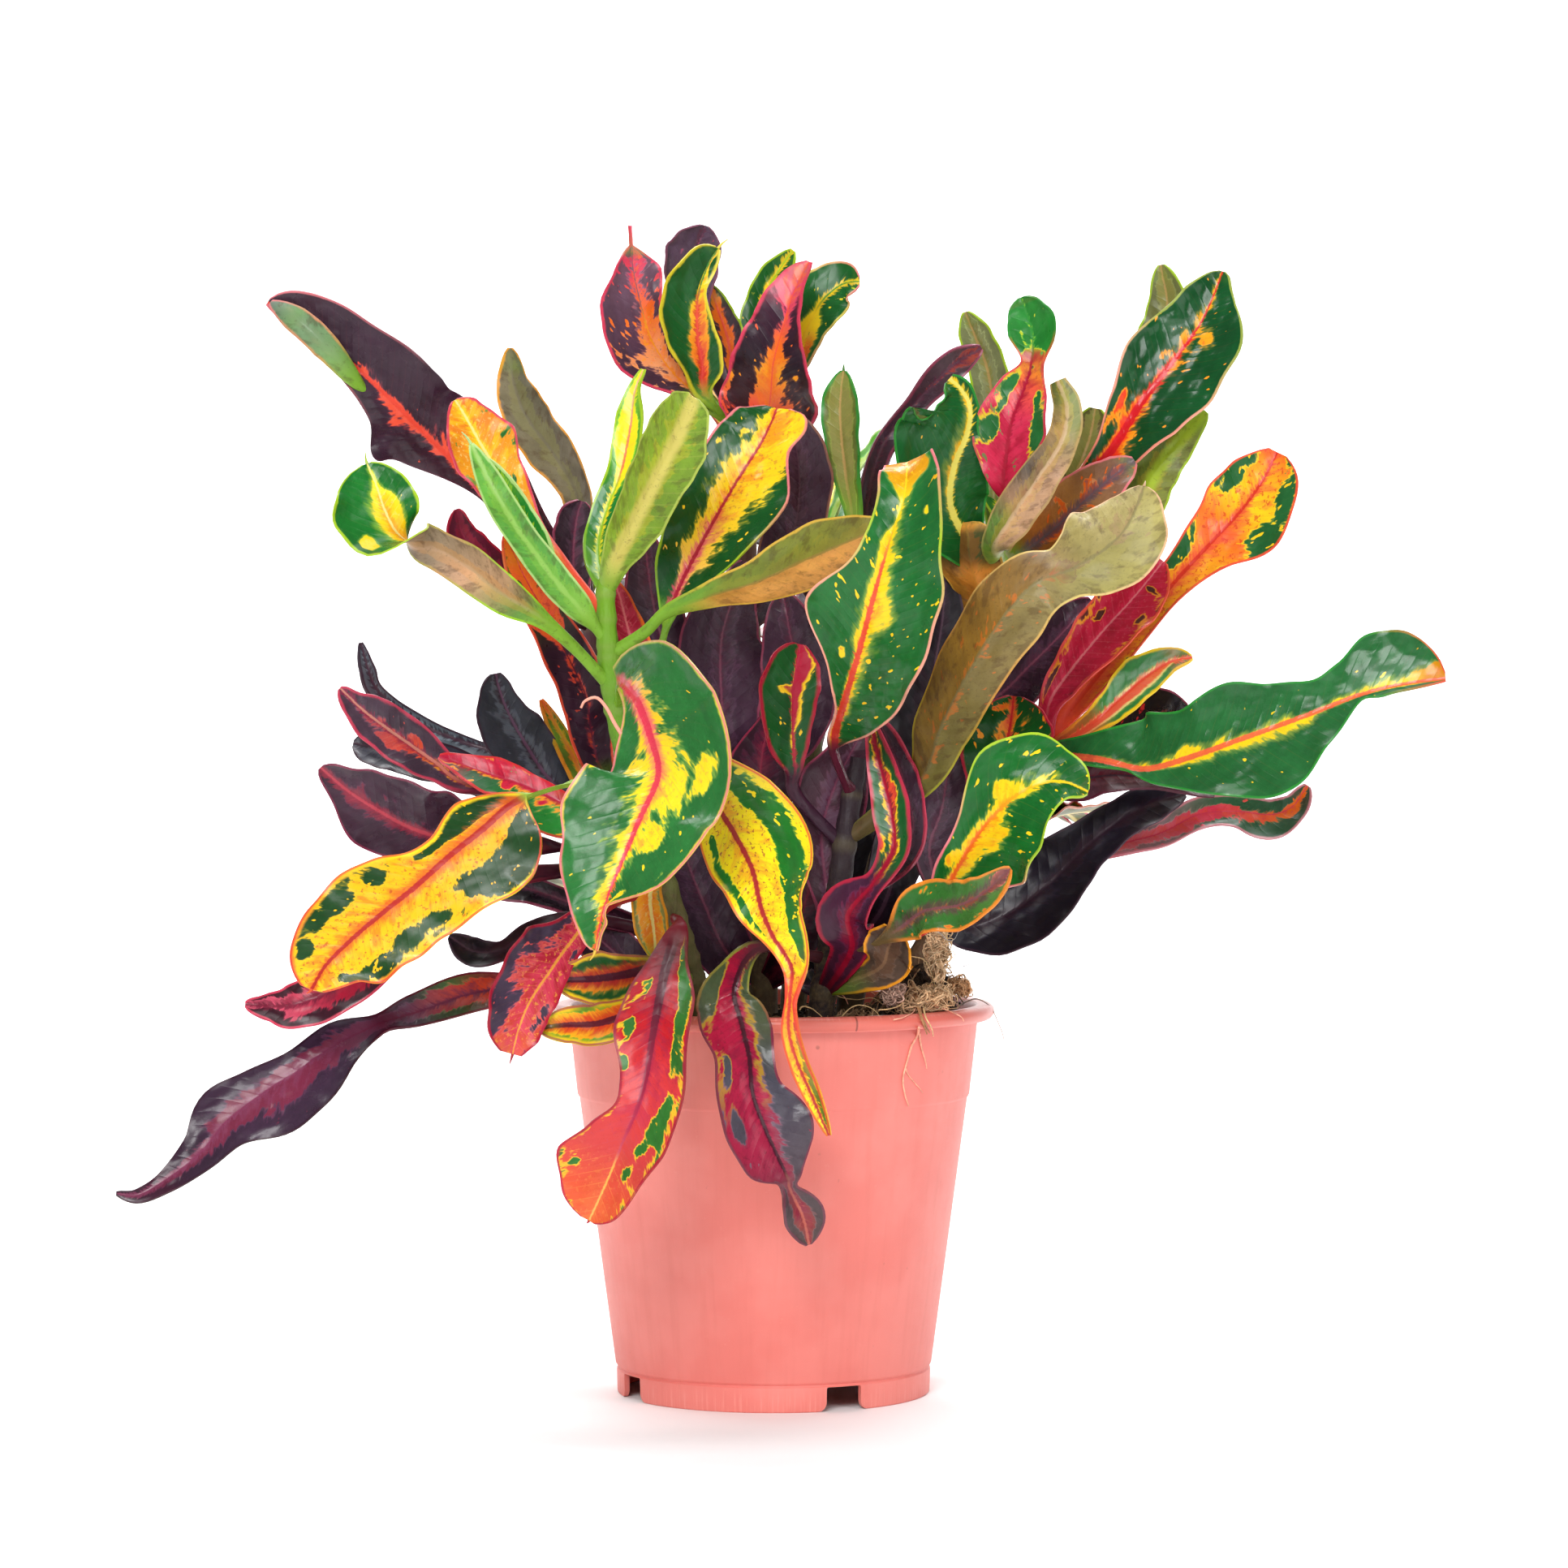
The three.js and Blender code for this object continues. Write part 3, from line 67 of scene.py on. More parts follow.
# The pot, as in the solids, and the profile of its wall as radius and height
NOTCH_COUNT, NOTCH_FIRST_DEG, NOTCH_WIDTH, NOTCH_HEIGHT, NOTCH_FLARE = 4, 26.3, 11.5, 7.4, 2.8
FOOT_RADIUS, DRAIN_RADIUS, DRAIN_RING = 48.2, 4.0, 38.0
DRAIN_LOW, DRAIN_HIGH, POT_SIDES = 4.5, 12.5, 192
POT_PROFILE = [
    (2, 8.5), (46, 8.5), (46.6, 8.1), (46.6, 0.5), (46.75, 0.1), (47, 0), (47.7, 0), (48.05, 0.25), (48.2, 0.8),
    (48.4, 7), (48.3, 7.5), (47.9, 7.85), (47.85, 8.15), (48.25, 8.5), (48.75, 9.3), (59.8, 91.2), (60, 91.5),
    (60.3, 91.9), (60.45, 92.3), (63, 115.3), (63.15, 116), (63.3, 117.7), (63.5, 118.2), (64, 118.45),
    (65.2, 118.45), (65.7, 118.2), (65.9, 117.7), (66, 115.9), (66.2, 115.6), (66.7, 115.5), (67.1, 115.7),
    (67.7, 116.4), (68, 117.2), (68.05, 118), (67.8, 118.9), (67.2, 119.6), (66.3, 120), (63.9, 120),
    (62.9, 119.85), (62.3, 119.4), (61.95, 118.6), (61.6, 115), (47.2, 11.2), (46.4, 10.5), (2, 10.5),
]

# The outer wall and lip, for what hangs over them: heights, and the radius at each
WALL_HEIGHTS = [9, 91, 92, 115, 115.8, 119.5, 120.4, 124]
WALL_RADII = [48.8, 59.8, 60.5, 63.1, 68.2, 68.2, 65.0, 58.0]
SEAM_DEG = -68.5

FOOT_STEP, LIP_LOW, LIP_FULL, LIP_SHOULDER, LIP_TOP = 8.5, 115.6, 116.0, 118.4, 120.0
POT_SPECK, POT_SPLASH, POT_SCUFF, POT_SEAM = "#8a4a38", "#a4604a", "#f3ab9c", "#6e3028"
POT_COLOUR, POT_PALE, POT_DEEP, POT_DUST = "#e47a70", "#ea857b", "#d16a5c", "#f0a595"
LIP_COLOUR = "#cf6456"

# The peat and its lump of coir
SOIL_LEVEL, LUMP_X, LUMP_Y, LUMP_HEIGHT, LUMP_SPREAD = 114.0, 46.0, -18.0, 19.0, 10.0
SOIL_SIDES, SOIL_REACH, RIM_START, RIM_LEVEL, SOIL_ROUGH = 300, 61.0, 54, 114.5, 1.5
PLUG_TOP, PLUG_RADIUS, PLUG_FLOOR = 112.6, 46.2, 10.9
CRUMBS, CRUMB_REACH, CRUMB_TOP, SOIL_SEED = 1500, 58, 131, 7
LOOSE_FIBRES, FIBRE_REACH, FIBRE_KNOTS, FIBRE_RINGS = 170, 58.5, 9, 18
STRAND_REACH, STRAND_LIP, STRAND_KNOTS, STRAND_RINGS, STRAND_SIDES, ROOT_RINGS = 60.5, 120.5, 14, 26, 6, 30
# The last of the peat's colours is painted shade for the pits in its top
PEAT_DARK, PEAT_LIGHT, PEAT_FIBRE, PEAT_PIT_SHADE = "#1c130d", "#4a3524", "#8a6a48", "#0c0806"

# The stems' colours from the roots up, and those of their cork, furrows and leaf scars
CORK, FURROW, SCAR = "#7a6648", "#3a2c1c", "#9a8e60"
STEM_COLOURS = dict(
    front_left=[(0, "#5a4630"), (0.45, "#6d6a3a"), (0.62, "#568816"), (1, "#6c9a16")],
    centre=[(0, "#54402c"), (0.6, "#5c4a33"), (1, "#6b3a3a")],
    right=[(0, "#54402c"), (0.6, "#5c4f33"), (1, "#6f7a3a")],
    side_right=[(0, "#54402c"), (0.6, "#6a4a33"), (1, "#8a4a2f")],
    near=[(0, "#30221c"), (0.6, "#2a1c22"), (1, "#2a1a24")],
    left=[(0, "#4a3a2c"), (0.6, "#54402f"), (1, "#5a3040")],
    back=[(0, "#54402c"), (0.6, "#5c5233"), (1, "#7a9a3f")],
)

# A curled hook at the margin of one leaf, as seen
HOOK_STEM, HOOK_DEPTH, HOOK_RADIUS, HOOK_COLOUR, HOOK_RINGS, HOOK_SIDES = "front_left", -81.3, 0.6, "#efa08a", 20, 8
HOOK = [(-46.6, 202.4), (-49, 206.2), (-51.5, 211), (-54.5, 214), (-58, 213), (-59.3, 210.8)]

# Leaves whose rib runs out in a thread, and its length
THREADS = dict(L03=5, L04=3, L15=4, L21=2, L34=2, L53=3, L54=2, L65=3, L68=1)

# Tangles of coir at the lump: centre, size, strands, their length, drift and tint
TANGLES = [
    ((49.5, -34, 133), (3.0, 3.8, 9.5), 85, 28, (0.1, 0, 1.0), "#f8d2a6"),
    ((47.5, -38, 123.5), (9.0, 7.0, 4.0), 130, 20, (0, 0, 0.1), "#f0c698"),
    ((56.2, -19, 125.4), (3.6, 4.5, 3.4), 120, 15, (0, 0, 0), "#dcac7e"),
    ((35.8, -44.5, 126.6), (2.9, 3.0, 3.6), 70, 18, (0, 0, 0), "#c29c8a"),
    ((42.0, -42, 121.5), (6.0, 5.0, 2.6), 60, 18, (0, 0, 0), "#d0a67e"),
]

# Roots as seen: radius, tint, depth of their own if clear of the wall, then (across, up, gap to the wall)
PEACH, STRAW, ROOT_BROWN, ASH, COIR_LOOSE = "#f2ac90", "#dcb884", "#ac7c52", "#a8a09c", "#b89068"
ROOTS = [
    (0.42, PEACH, None, [(44.9, 112.2, 1.2), (44.5, 109.9, 0.4), (42.7, 106.4, 0.3), (41.5, 102.4, 0.3),
        (40.5, 98.9, 0.3), (40.0, 95.4, 0.4), (40.7, 91.6, 0.5), (41.8, 88.1, 0.6)]),
    (0.34, PEACH, None, [(45.0, 110.5, 0.5), (45.3, 107.9, 0.3), (46.1, 104.4, 0.3), (47.0, 101.6, 0.4),
        (47.3, 99.4, 0.6)]),
    (0.22, PEACH, None, [(40.9, 99.5, 0.3), (41.3, 98.1, 0.2), (43.0, 95.9, 0.2), (45.0, 93.6, 0.3),
        (46.1, 92.1, 0.5)]),
    (0.55, ROOT_BROWN, None, [(43.0, 126, -8), (44.2, 121.5, 0.5), (45.2, 118.6, 0.6), (45.8, 115.7, 0.6),
        (47.0, 113.1, 0.5), (48.3, 110.6, 1.5)]),
    (0.5, ROOT_BROWN, None, [(42.0, 125, -8), (43.4, 121, 0.4), (44.5, 118.4, 0.5), (45.3, 115.4, 0.5),
        (46.2, 112.9, 0.5), (47.2, 109.9, 2.0)]),
    (0.35, STRAW, None, [(44.5, 126, -9), (45.6, 121, 0.6), (46.2, 118.2, 0.7), (46.9, 115.2, 0.7),
        (48.6, 112.1, 0.6), (49.2, 109.4, 2.4)]),
    (0.3, PEACH, None, [(48.0, 119.8, -6), (50.0, 118.7, 0.5), (53.4, 117.7, 0.5), (56.3, 116.6, 0.5),
        (58.0, 115.6, 0.5), (58.8, 114.4, 0.6)]),
    (0.2, STRAW, None, [(32.5, 117.7, 0.4), (36.5, 118.2, 0.4), (39.5, 119.5, 0.2), (41.1, 120.8, -3)]),
    (0.22, PEACH, None, [(37.0, 114.6, 0.4), (40.5, 115.6, 0.4), (43.0, 116.8, 0.4), (44.0, 118.4, 0.4)]),
    (0.26, "#b4998c", -9, [(55.0, 117.0, 0), (57.0, 118.7, 0), (59.8, 120.3, 0), (62.5, 121.0, 0), (65.4, 119.8, 0),
        (67.6, 117.5, 0), (69.2, 113.6, 0), (70.5, 110.1, 0), (71.0, 107.5, 0)]),
    (0.12, ASH, -9, [(58.0, 131.0, 0), (62.0, 132.3, 0), (66.6, 132.4, 0)]),
    (0.28, PEACH, -24, [(11.5, 126.0, 0), (13.5, 125.4, 0), (17.1, 124.1, 0), (19.8, 123.1, 0), (21.8, 121.6, 0),
        (23.0, 119.4, 0)]),
    (0.26, PEACH, -24, [(18.8, 123.9, 0), (21.0, 123.3, 0), (23.8, 123.4, 0), (26.8, 123.4, 0), (29.4, 123.9, 0),
        (31.5, 122.4, 0)]),
    (0.2, STRAW, -26, [(15.6, 124.9, 0), (20.0, 121.9, 0), (25.6, 120.9, 0), (30.6, 121.4, 0), (34.0, 119.4, 0)]),
    (0.24, STRAW, -50, [(8.0, 117.6, 0), (9.0, 118.7, 0), (11.5, 118.2, 0), (13.5, 116.9, 0), (15.6, 115.0, 0)]),
    (0.2, STRAW, -46, [(20.0, 114.5, 0), (24.0, 118.4, 0), (27.5, 119.0, 0), (31.0, 117.5, 0), (33.4, 114.5, 0)]),
    (0.16, ASH, -40, [(46.8, 142.4, 0), (50.8, 141.8, 0), (53.6, 139.2, 0), (55.8, 139.6, 0), (57.0, 142.0, 0)]),
    (0.22, STRAW, -36, [(45.0, 122.0, 0), (49.8, 128.0, 0), (50.8, 134.0, 0), (53.4, 139.8, 0), (52.6, 143.0, 0)]),
    (0.2, STRAW, -38, [(39.0, 136.0, 0), (42.0, 134.4, 0), (46.0, 133.4, 0), (48.0, 130.8, 0), (50.4, 124.0, 0)]),
]

# The stems: x, y, height and radius in millimetres, from the roots up
STEMS = dict(
    front_left=[(-20, -10, 72, 4.2), (-22, -14, 114, 4.2), (-31, -24, 150, 4), (-42, -31, 188, 3.8),
        (-49, -36, 222, 3.4), (-50.5, -38, 250, 2.6)],
    centre=[(-3, 8, 72, 4.5), (-3, 12, 114, 4.5), (-6, 16, 180, 4), (-8, 18, 240, 3.6), (-10, 18, 300, 2.8)],
    right=[(20, 10, 72, 4.2), (23, 12, 114, 4.2), (34, 15, 165, 4), (54, 16, 215, 3.6), (70, 14, 250, 3.2),
        (79, 12, 264, 2.6)],
    side_right=[(33, -8, 72, 4), (37, -10, 114, 4), (53, -12, 150, 3.8), (71, -14, 180, 3.4), (84, -15, 199, 2.8)],
    near=[(12, -22, 72, 4), (14, -26, 114, 4), (19, -28, 150, 3.8), (23, -29, 180, 3.2), (26, -28, 196, 2.6)],
    left=[(-24, 12, 72, 4.2), (-26, 18, 114, 4.2), (-38, 24, 160, 3.8), (-50, 27, 200, 3.4), (-58, 26, 240, 3),
        (-60, 25, 256, 2.6)],
    back=[(4, 32, 72, 4.2), (6, 35, 114, 4.2), (10, 42, 170, 3.8), (14, 47, 230, 3.2), (16, 49, 262, 2.6)],
)

# The leaves that show from the front: name, stem, marking, waviness, height on the stem (0 where it grows
# from another blade), turn about the rib, and rows from base to tip of x and height as seen, depth, widths
# as seen left and right of the rib, and twist
LEAVES = [
    ("L01", "left", "dusk", 0.1, 240, 0, [(-76, 262, 30, 2.5, 10, 0), (-93, 281, 28, 3.8, 16.5, 0),
        (-107, 295, 24, 11.5, 16.5, 0), (-112, 300, 22, 16.5, 16, 0), (-118, 306, 20, 9.5, 16, 0),
        (-130, 317, 18, 5.5, 14.5, 0), (-143, 327, 18, 3.5, 12, 0), (-155.5, 335.5, 20, 1, 1.5, 0)]),
    ("L01b", "left", "dusk_under", 0.04, 0, 0, [(-126, 308.5, 19.5, 1.2, 1.2, 160),
        (-131.5, 315, 14, 3.2, 3.2, 165), (-138, 322.5, 11, 4.3, 4.3, 168), (-146, 330, 12, 4.2, 4.4, 170),
        (-154.5, 335.5, 18, 1, 1, 170)]),
    ("L02", "front_left", "ember", 0.1, 238, -24, [(-66, 255, -24, 3, 3, 0), (-76, 270, -22, 5, 4, 0),
        (-84, 282, -22, 9, 8.5, 0), (-90, 292, -22, 10, 11, 0), (-95, 301, -22, 6, 7, 0),
        (-98, 305.5, -22, 1, 1, 0)]),
    ("L03", "front_left", "young", 0.04, 230, 0, [(-55, 236, -40, 1.8, 1.8, 180),
        (-61, 243, -43, 4.5, 4.5, 180), (-67, 250, -45, 5, 5, 180), (-76, 262, -46, 4.5, 5, 180),
        (-85, 276, -45, 4.5, 4.5, 180), (-93, 292, -42, 0.8, 0.8, 180)]),
    ("L03b", "front_left", "young_face", 0.04, 0, 0, [(-68, 252, -44, 2, 2, 20), (-72, 261, -42, 5, 4, 10),
        (-77, 270, -41, 6, 4, 5), (-83, 280, -41, 4, 3, 0), (-88, 287, -42, 1, 1, 0)]),
    ("L04", "front_left", "lime", 0.08, 217, -20, [(-61, 229, -44, 1.8, 1.8, 180),
        (-72, 238.5, -52, 3, 3, 180), (-84, 246, -60, 6.5, 6, 180), (-95, 254.5, -66, 7, 7, 180),
        (-104, 259.5, -70, 6, 6, 190), (-110.5, 261, -73, 8, 6, 260), (-116, 265, -74, 14, 9, 340),
        (-119.5, 271.5, -74, 16, 11, 360), (-122, 279, -74, 13, 9.5, 360), (-125, 286, -73, 1.5, 1.5, 360)]),
    ("L05", "left", "wine", 0.05, 236, -30, [(-74, 244, 0, 2.5, 2.5, 0), (-86, 254, -6, 5.5, 5.5, 0),
        (-95, 263, -10, 5, 5, 0), (-97.5, 272, -12, 0.8, 0.8, 0)]),
    ("L06", "left", "olive", 0.1, 250, -28, [(-60, 264, 22, 3.5, 3.5, 180), (-61, 277, 20, 5, 5, 180),
        (-68, 289, 18, 7, 7, 180), (-76, 300, 16, 7.5, 7.5, 180), (-80, 311, 16, 5, 5, 180),
        (-81, 321.5, 18, 0.8, 0.8, 180)]),
    ("L07", "left", "dusk", 0.05, 236, -26, [(-61, 248, 10, 5, 5, 0), (-61.5, 260, 8, 6.5, 7.5, 0),
        (-60.5, 269, 8, 6, 7, 0), (-59, 274.5, 8, 1.5, 1.5, 0)]),
    ("L08", "left", "rust", 0.1, 182, -24, [(-53, 192, 6, 4.5, 4.5, 0), (-56, 203, 0, 6.5, 6.5, 0),
        (-58, 215, -6, 7.5, 7.5, 0), (-64, 228, -10, 7.5, 7.5, 0), (-71, 241, -14, 6, 6, 0),
        (-77, 252, -16, 5, 5, 0), (-82.5, 264, -16, 0.8, 0.8, 0)]),
    ("L09", "front_left", "lime", 0.08, 246, 22, [(-54, 258, -36, 4.5, 4, 0), (-52, 270, -33, 5, 5, 0),
        (-47, 283, -30, 4.5, 5, 0), (-44, 297, -28, 5.5, 4, 0), (-42.5, 308, -26, 3, 1.5, 0),
        (-40, 315, -24, 0.8, 0.8, 0)]),
    ("L10", "front_left", "pale", 0.04, 246, 26, [(-48.5, 256, -46, 5, 5, 180),
        (-42.5, 268, -56, 8.5, 8.5, 180), (-36, 281, -66, 10, 10, 180), (-30, 293, -74, 10.5, 10.5, 180),
        (-26, 302, -80, 7.5, 7.5, 180), (-24.5, 306.5, -83, 2, 2, 180)]),
    ("L11", "front_left", "honey", 0.05, 227, -24, [(-40, 234, -42, 1.8, 1.8, 180),
        (-33, 240.5, -46, 2, 2, 180), (-20, 245.5, -50, 4, 4, 180), (-5, 250, -53, 7, 7, 180),
        (8, 256, -54, 9.5, 9.5, 180), (20, 261, -52, 9, 9, 180), (30, 265.5, -48, 5, 5, 180),
        (35, 268, -46, 1, 1, 180)]),
    ("L12", "front_left", "parrot", 0.06, 212, 22, [(-37, 226, -30, 1.8, 1.8, 0), (-33, 238, -34, 2, 2, 0),
        (-29, 248, -36, 8, 5, 0), (-24, 258, -37, 13, 11, 0), (-18, 269, -37, 14, 15, 0),
        (-11, 281, -36, 15, 17, 0), (-4, 292, -34, 15, 10, 0), (-0.5, 299, -32, 12, 11, 0),
        (1, 303, -30, 4, 4, 0)]),
    ("L13", "centre", "mottle", 0.06, 297, -26, [(-20, 304.5, 10, 3, 3, 0), (-30, 313, 4, 6, 5, 0),
        (-37, 323, 0, 13, 6, 0), (-40.5, 334, -2, 13, 7, 0), (-43, 345, -2, 6.5, 8.5, 0),
        (-43.5, 352, -2, 1.5, 2, 0), (-44, 359, -1, 0.6, 0.6, 0)]),
    ("L14", "centre", "dusk", 0.05, 299, -30, [(-19.5, 318, 24, 4, 4, 0), (-25, 334, 24, 6, 6, 0),
        (-25.5, 345, 22, 8, 8.5, 0), (-23.5, 353, 20, 8, 8, 0), (-21, 359, 18, 1.5, 1.5, 0)]),
    ("L15", "centre", "lime", 0.05, 299, -24, [(-20.5, 307, 6, 3, 2, 0), (-22, 316, 2, 6, 7, 0),
        (-23.5, 327, 0, 10.5, 6, 0), (-23, 338, -1, 11, 2.5, 0), (-20, 347, -1, 7, 3, 0), (-17, 352, 0, 1, 1, 0)]),
    ("L16", "centre", "rust", 0.05, 299, -28, [(-12, 312, 28, 4, 4, 0), (-14, 324, 30, 5.5, 5.5, 0),
        (-17, 333, 30, 4.5, 4.5, 0), (-20, 341, 30, 1, 1, 0)]),
    ("L17", "centre", "green", 0.05, 299, 30, [(-7, 315, 30, 5, 5, 0), (-5, 330, 32, 5.5, 6, 0),
        (-1, 341, 32, 5.5, 6, 0), (6, 351.5, 30, 1, 1, 0)]),
    ("L18", "centre", "green", 0.05, 301, 24, [(5, 315, 18, 4, 4, 0), (10, 327, 16, 7, 6, 0),
        (15, 336, 14, 9.5, 8, 0), (21, 341, 14, 8, 6.5, 0), (26.5, 342, 12, 1.5, 1.5, 0)]),
    ("L19", "centre", "flame", 0.06, 284, 26, [(-3, 295, 8, 12, 10, 0), (-1, 306, 2, 16, 15, 0),
        (0, 317, -2, 13, 11.5, 0), (3, 328, -4, 11, 6, 0), (6, 338, -4, 8, 3, 0), (11, 348, -2, 1, 1, 0)]),
    ("L20", "centre", "dusk", 0.06, 236, 30, [(0, 250, 6, 7, 7, 0), (6, 264, 0, 10, 9, 0),
        (8, 278, -4, 11, 10, 0), (7, 291, -6, 10, 9, 0), (4, 300, -6, 2, 2, 0)]),
    ("L21", "centre", "olive", 0.03, 240, 28, [(20, 256, 4, 2, 2, 0), (24.5, 268, -6, 2.5, 2.5, 0),
        (22.5, 281, -10, 4, 4, 0), (21, 293, -12, 5.5, 5.5, 0), (20.5, 304, -12, 6, 5.5, 0),
        (21.5, 314.5, -12, 1, 1, 0)]),
    ("L22", "right", "dusk", 0.05, 226, -26, [(34, 250, 12, 2.5, 3, 0), (29, 270, 8, 2.5, 3.5, 30),
        (33, 290, 4, 2.5, 4, 30), (44, 305, 2, 2.5, 4, 20), (55, 316, 0, 4.5, 5, 0), (64, 321.5, 0, 1, 1, 0)]),
    ("L23", "right", "olive", 0.05, 252, 30, [(68, 275, 26, 4, 4, 0), (68, 298, 26, 5, 5, 0),
        (66, 314, 24, 6, 6, 0), (62, 325, 22, 5, 5, 0), (59, 332.5, 20, 1, 1, 0)]),
    ("L24", "right", "gloss", 0.06, 250, -26, [(60, 262, -6, 8, 7, 0), (54.5, 273, -12, 13, 12, 0),
        (55.5, 285, -16, 18, 11, 0), (59.5, 295, -18, 22, 4.5, 0), (60.5, 303, -18, 18, 3, 0),
        (57.5, 309, -18, 9, 3.5, 0), (54, 312, -18, 2, 2, 0)]),
    ("L25", "right", "rose", 0.06, 262, 24, [(71, 277, -14, 2.5, 2.5, 0), (71.5, 287, -18, 9, 8, 0),
        (73, 298, -20, 11.5, 11, 0), (77, 309, -20, 8, 7, 0), (79.5, 317, -20, 3.5, 3.5, 0),
        (79.5, 326, -20, 7.5, 7.5, 0), (77.5, 333, -20, 6, 6, 0), (76, 337, -20, 1, 1, 0)]),
    ("L26", "right", "honey", 0.05, 254, 24, [(68, 260, -22, 4, 4, 180), (74, 270, -28, 6.5, 6.5, 180),
        (82, 282, -30, 6.5, 6.5, 180), (89, 293, -30, 5, 5, 180), (90.5, 303, -28, 4.5, 4.5, 180),
        (87.5, 311.5, -26, 2.5, 2.5, 180)]),
    ("L27", "right", "olive", 0.05, 256, 12, [(84, 268, 20, 7, 7, 0), (92, 281, 22, 9, 9, 0),
        (97, 293, 22, 8, 8, 0), (99, 303, 22, 2, 2, 0)]),
    ("L28", "right", "mottle", 0.06, 256, 28, [(84, 264, 2, 7, 7, 0), (94, 273, -4, 10, 10, 0),
        (103, 281, -8, 7, 7, 0), (111, 287, -10, 1.5, 1.5, 0)]),
    ("L29", "right", "jungle", 0.08, 262, 18, [(92, 277, 2, 2.5, 2.5, 0), (104, 290, -4, 6, 8, 0),
        (112, 303, -6, 10, 14, 0), (121, 315, -6, 15, 16, 0), (130, 327, -4, 12.5, 15, 0),
        (135, 337, -2, 9, 7, 0), (138, 345, 0, 1, 1, 0)]),
    ("L30", "right", "olive", 0.05, 262, 30, [(98, 282, 16, 3, 3, 0), (110, 302, 18, 4, 4, 0),
        (117, 320, 18, 7, 7, 0), (121, 333, 18, 6.5, 6.5, 0), (119, 347, 18, 1, 1, 0)]),
    ("L31", "right", "pale", 0.05, 254, 24, [(96, 262, 6, 3, 3, 180), (111, 270, 2, 7, 7, 180),
        (117, 282, 0, 7, 7, 180), (125, 293, 0, 5.5, 5.5, 180), (133, 302, 0, 1, 1, 180)]),
    ("L32", "side_right", "ember", 0.06, 198, 22, [(90, 208, -16, 3, 3, 0), (101, 222, -18, 5, 4.5, 0),
        (112, 236, -20, 5.5, 4.5, 0), (123, 249, -22, 6.5, 5, 0), (134, 261, -24, 9, 9, 0),
        (143, 270.5, -26, 12.5, 14.5, 0), (150, 280, -28, 11.5, 12.5, 0), (155, 289.5, -28, 3, 3, 0)]),
    ("L33", "side_right", "crimson", 0.05, 198, 28, [(85, 212, -24, 3.5, 3.5, 0), (92, 223, -28, 6.5, 6, 0),
        (101, 234, -32, 9, 8, 0), (111, 245, -34, 9, 9, 0), (120, 256, -34, 1.5, 1.5, 0)]),
    ("L34", "near", "olive", 0.04, 171, 26, [(45, 188, -44, 5, 5, 180), (52, 205, -56, 9, 9, 180),
        (60, 221, -66, 11, 11, 180), (70, 237, -72, 12, 12, 180), (80, 248.5, -74, 11, 11, 180),
        (90, 252.5, -73, 9, 9, 180), (99, 257.5, -72, 13.5, 13.5, 180), (107, 264, -70, 14.5, 14.5, 180),
        (112, 273, -68, 9, 9, 180), (114, 279, -66, 1.5, 1.5, 180)]),
    ("L35", "near", "jungle", 0.05, 185, 22, [(19, 200, -50, 2.5, 2.5, 0), (22, 213, -68, 4, 12, 0),
        (25.5, 225, -80, 12, 18, 0), (29, 238, -88, 21, 21, 0), (32.5, 251, -93, 12, 20, 0),
        (36, 263, -95, 8, 17, 0), (40, 275, -94, 8.5, 12, 0), (41, 283, -90, 9, 9, 0), (41, 286.5, -86, 7, 8, 0)]),
    ("L36", "right", "rust", 0.05, 238, 30, [(63, 247, -2, 8, 8, 180), (61, 256, -8, 9.5, 9.5, 180),
        (60, 264, -10, 8, 8, 180), (59.5, 268, -10, 2, 2, 180)]),
    ("L37", "right", "dusk", 0.05, 208, 30, [(68, 214, 6, 6, 6, 0), (79, 224, 0, 9.5, 9.5, 0),
        (89, 234, -4, 8.5, 8.5, 0), (98, 244, -6, 1.5, 1.5, 0)]),
    ("L38", "side_right", "lime", 0.05, 197, 26, [(97, 205, -26, 4, 3, 0), (105, 212, -28, 5.5, 5, 0),
        (113, 219, -28, 8, 5.5, 0), (121, 224.5, -28, 5.5, 3.5, 0), (129, 226.5, -28, 0.8, 0.8, 0)]),
    ("L39", "side_right", "dusk", 0.05, 190, 30, [(98, 198, -2, 5, 5, 0), (110, 205, 0, 10, 6, 0),
        (120, 208, 0, 9.5, 6, 0), (129, 209, 0, 1, 1, 0)]),
    ("L40", "side_right", "jungle", 0.05, 197, 24, [(100, 195, -38, 9.5, 2.5, 0), (114, 192, -46, 17, 3, 0),
        (128, 195.5, -54, 15.5, 10, 0), (142, 200.5, -60, 18.5, 17, 0), (156, 205.5, -64, 14, 19, 0),
        (168, 210, -67, 10, 11, 0), (178, 214, -69, 12, 3.5, 0), (188, 217, -71, 18.5, 2.5, 0),
        (199, 219, -72, 14.5, 2, 0), (207, 220, -73, 2, 1, 0)]),
    ("L41", "side_right", "wine", 0.03, 188, 30, [(92, 188.5, -20, 6.5, 6.5, 0), (103, 190, -24, 5.5, 5.5, 0),
        (115, 189.5, -26, 3.5, 3.5, 0), (126, 187, -27, 2.5, 2.5, 0), (136, 184, -28, 0.8, 0.8, 0)]),
    ("L42", "side_right", "rose", 0.06, 161, 28, [(86, 162, 6, 2.5, 2.5, 0), (98, 166, 5, 3, 2.5, 0),
        (110, 169.5, 3, 3.5, 3.5, 0), (120, 172.5, 0, 4, 4, 0), (131, 178, -4, 5.5, 4.5, 0),
        (143, 179, -8, 5, 5, 0), (153, 178, -11, 5, 7.5, 0), (160, 180.5, -13, 4, 5, 0),
        (164.5, 187, -13, 1, 1, 0)]),
    ("L43", "side_right", "night", 0.06, 147, 28, [(60, 143.5, -8, 5, 8, 0), (72, 147.5, -8, 10, 11.5, 0),
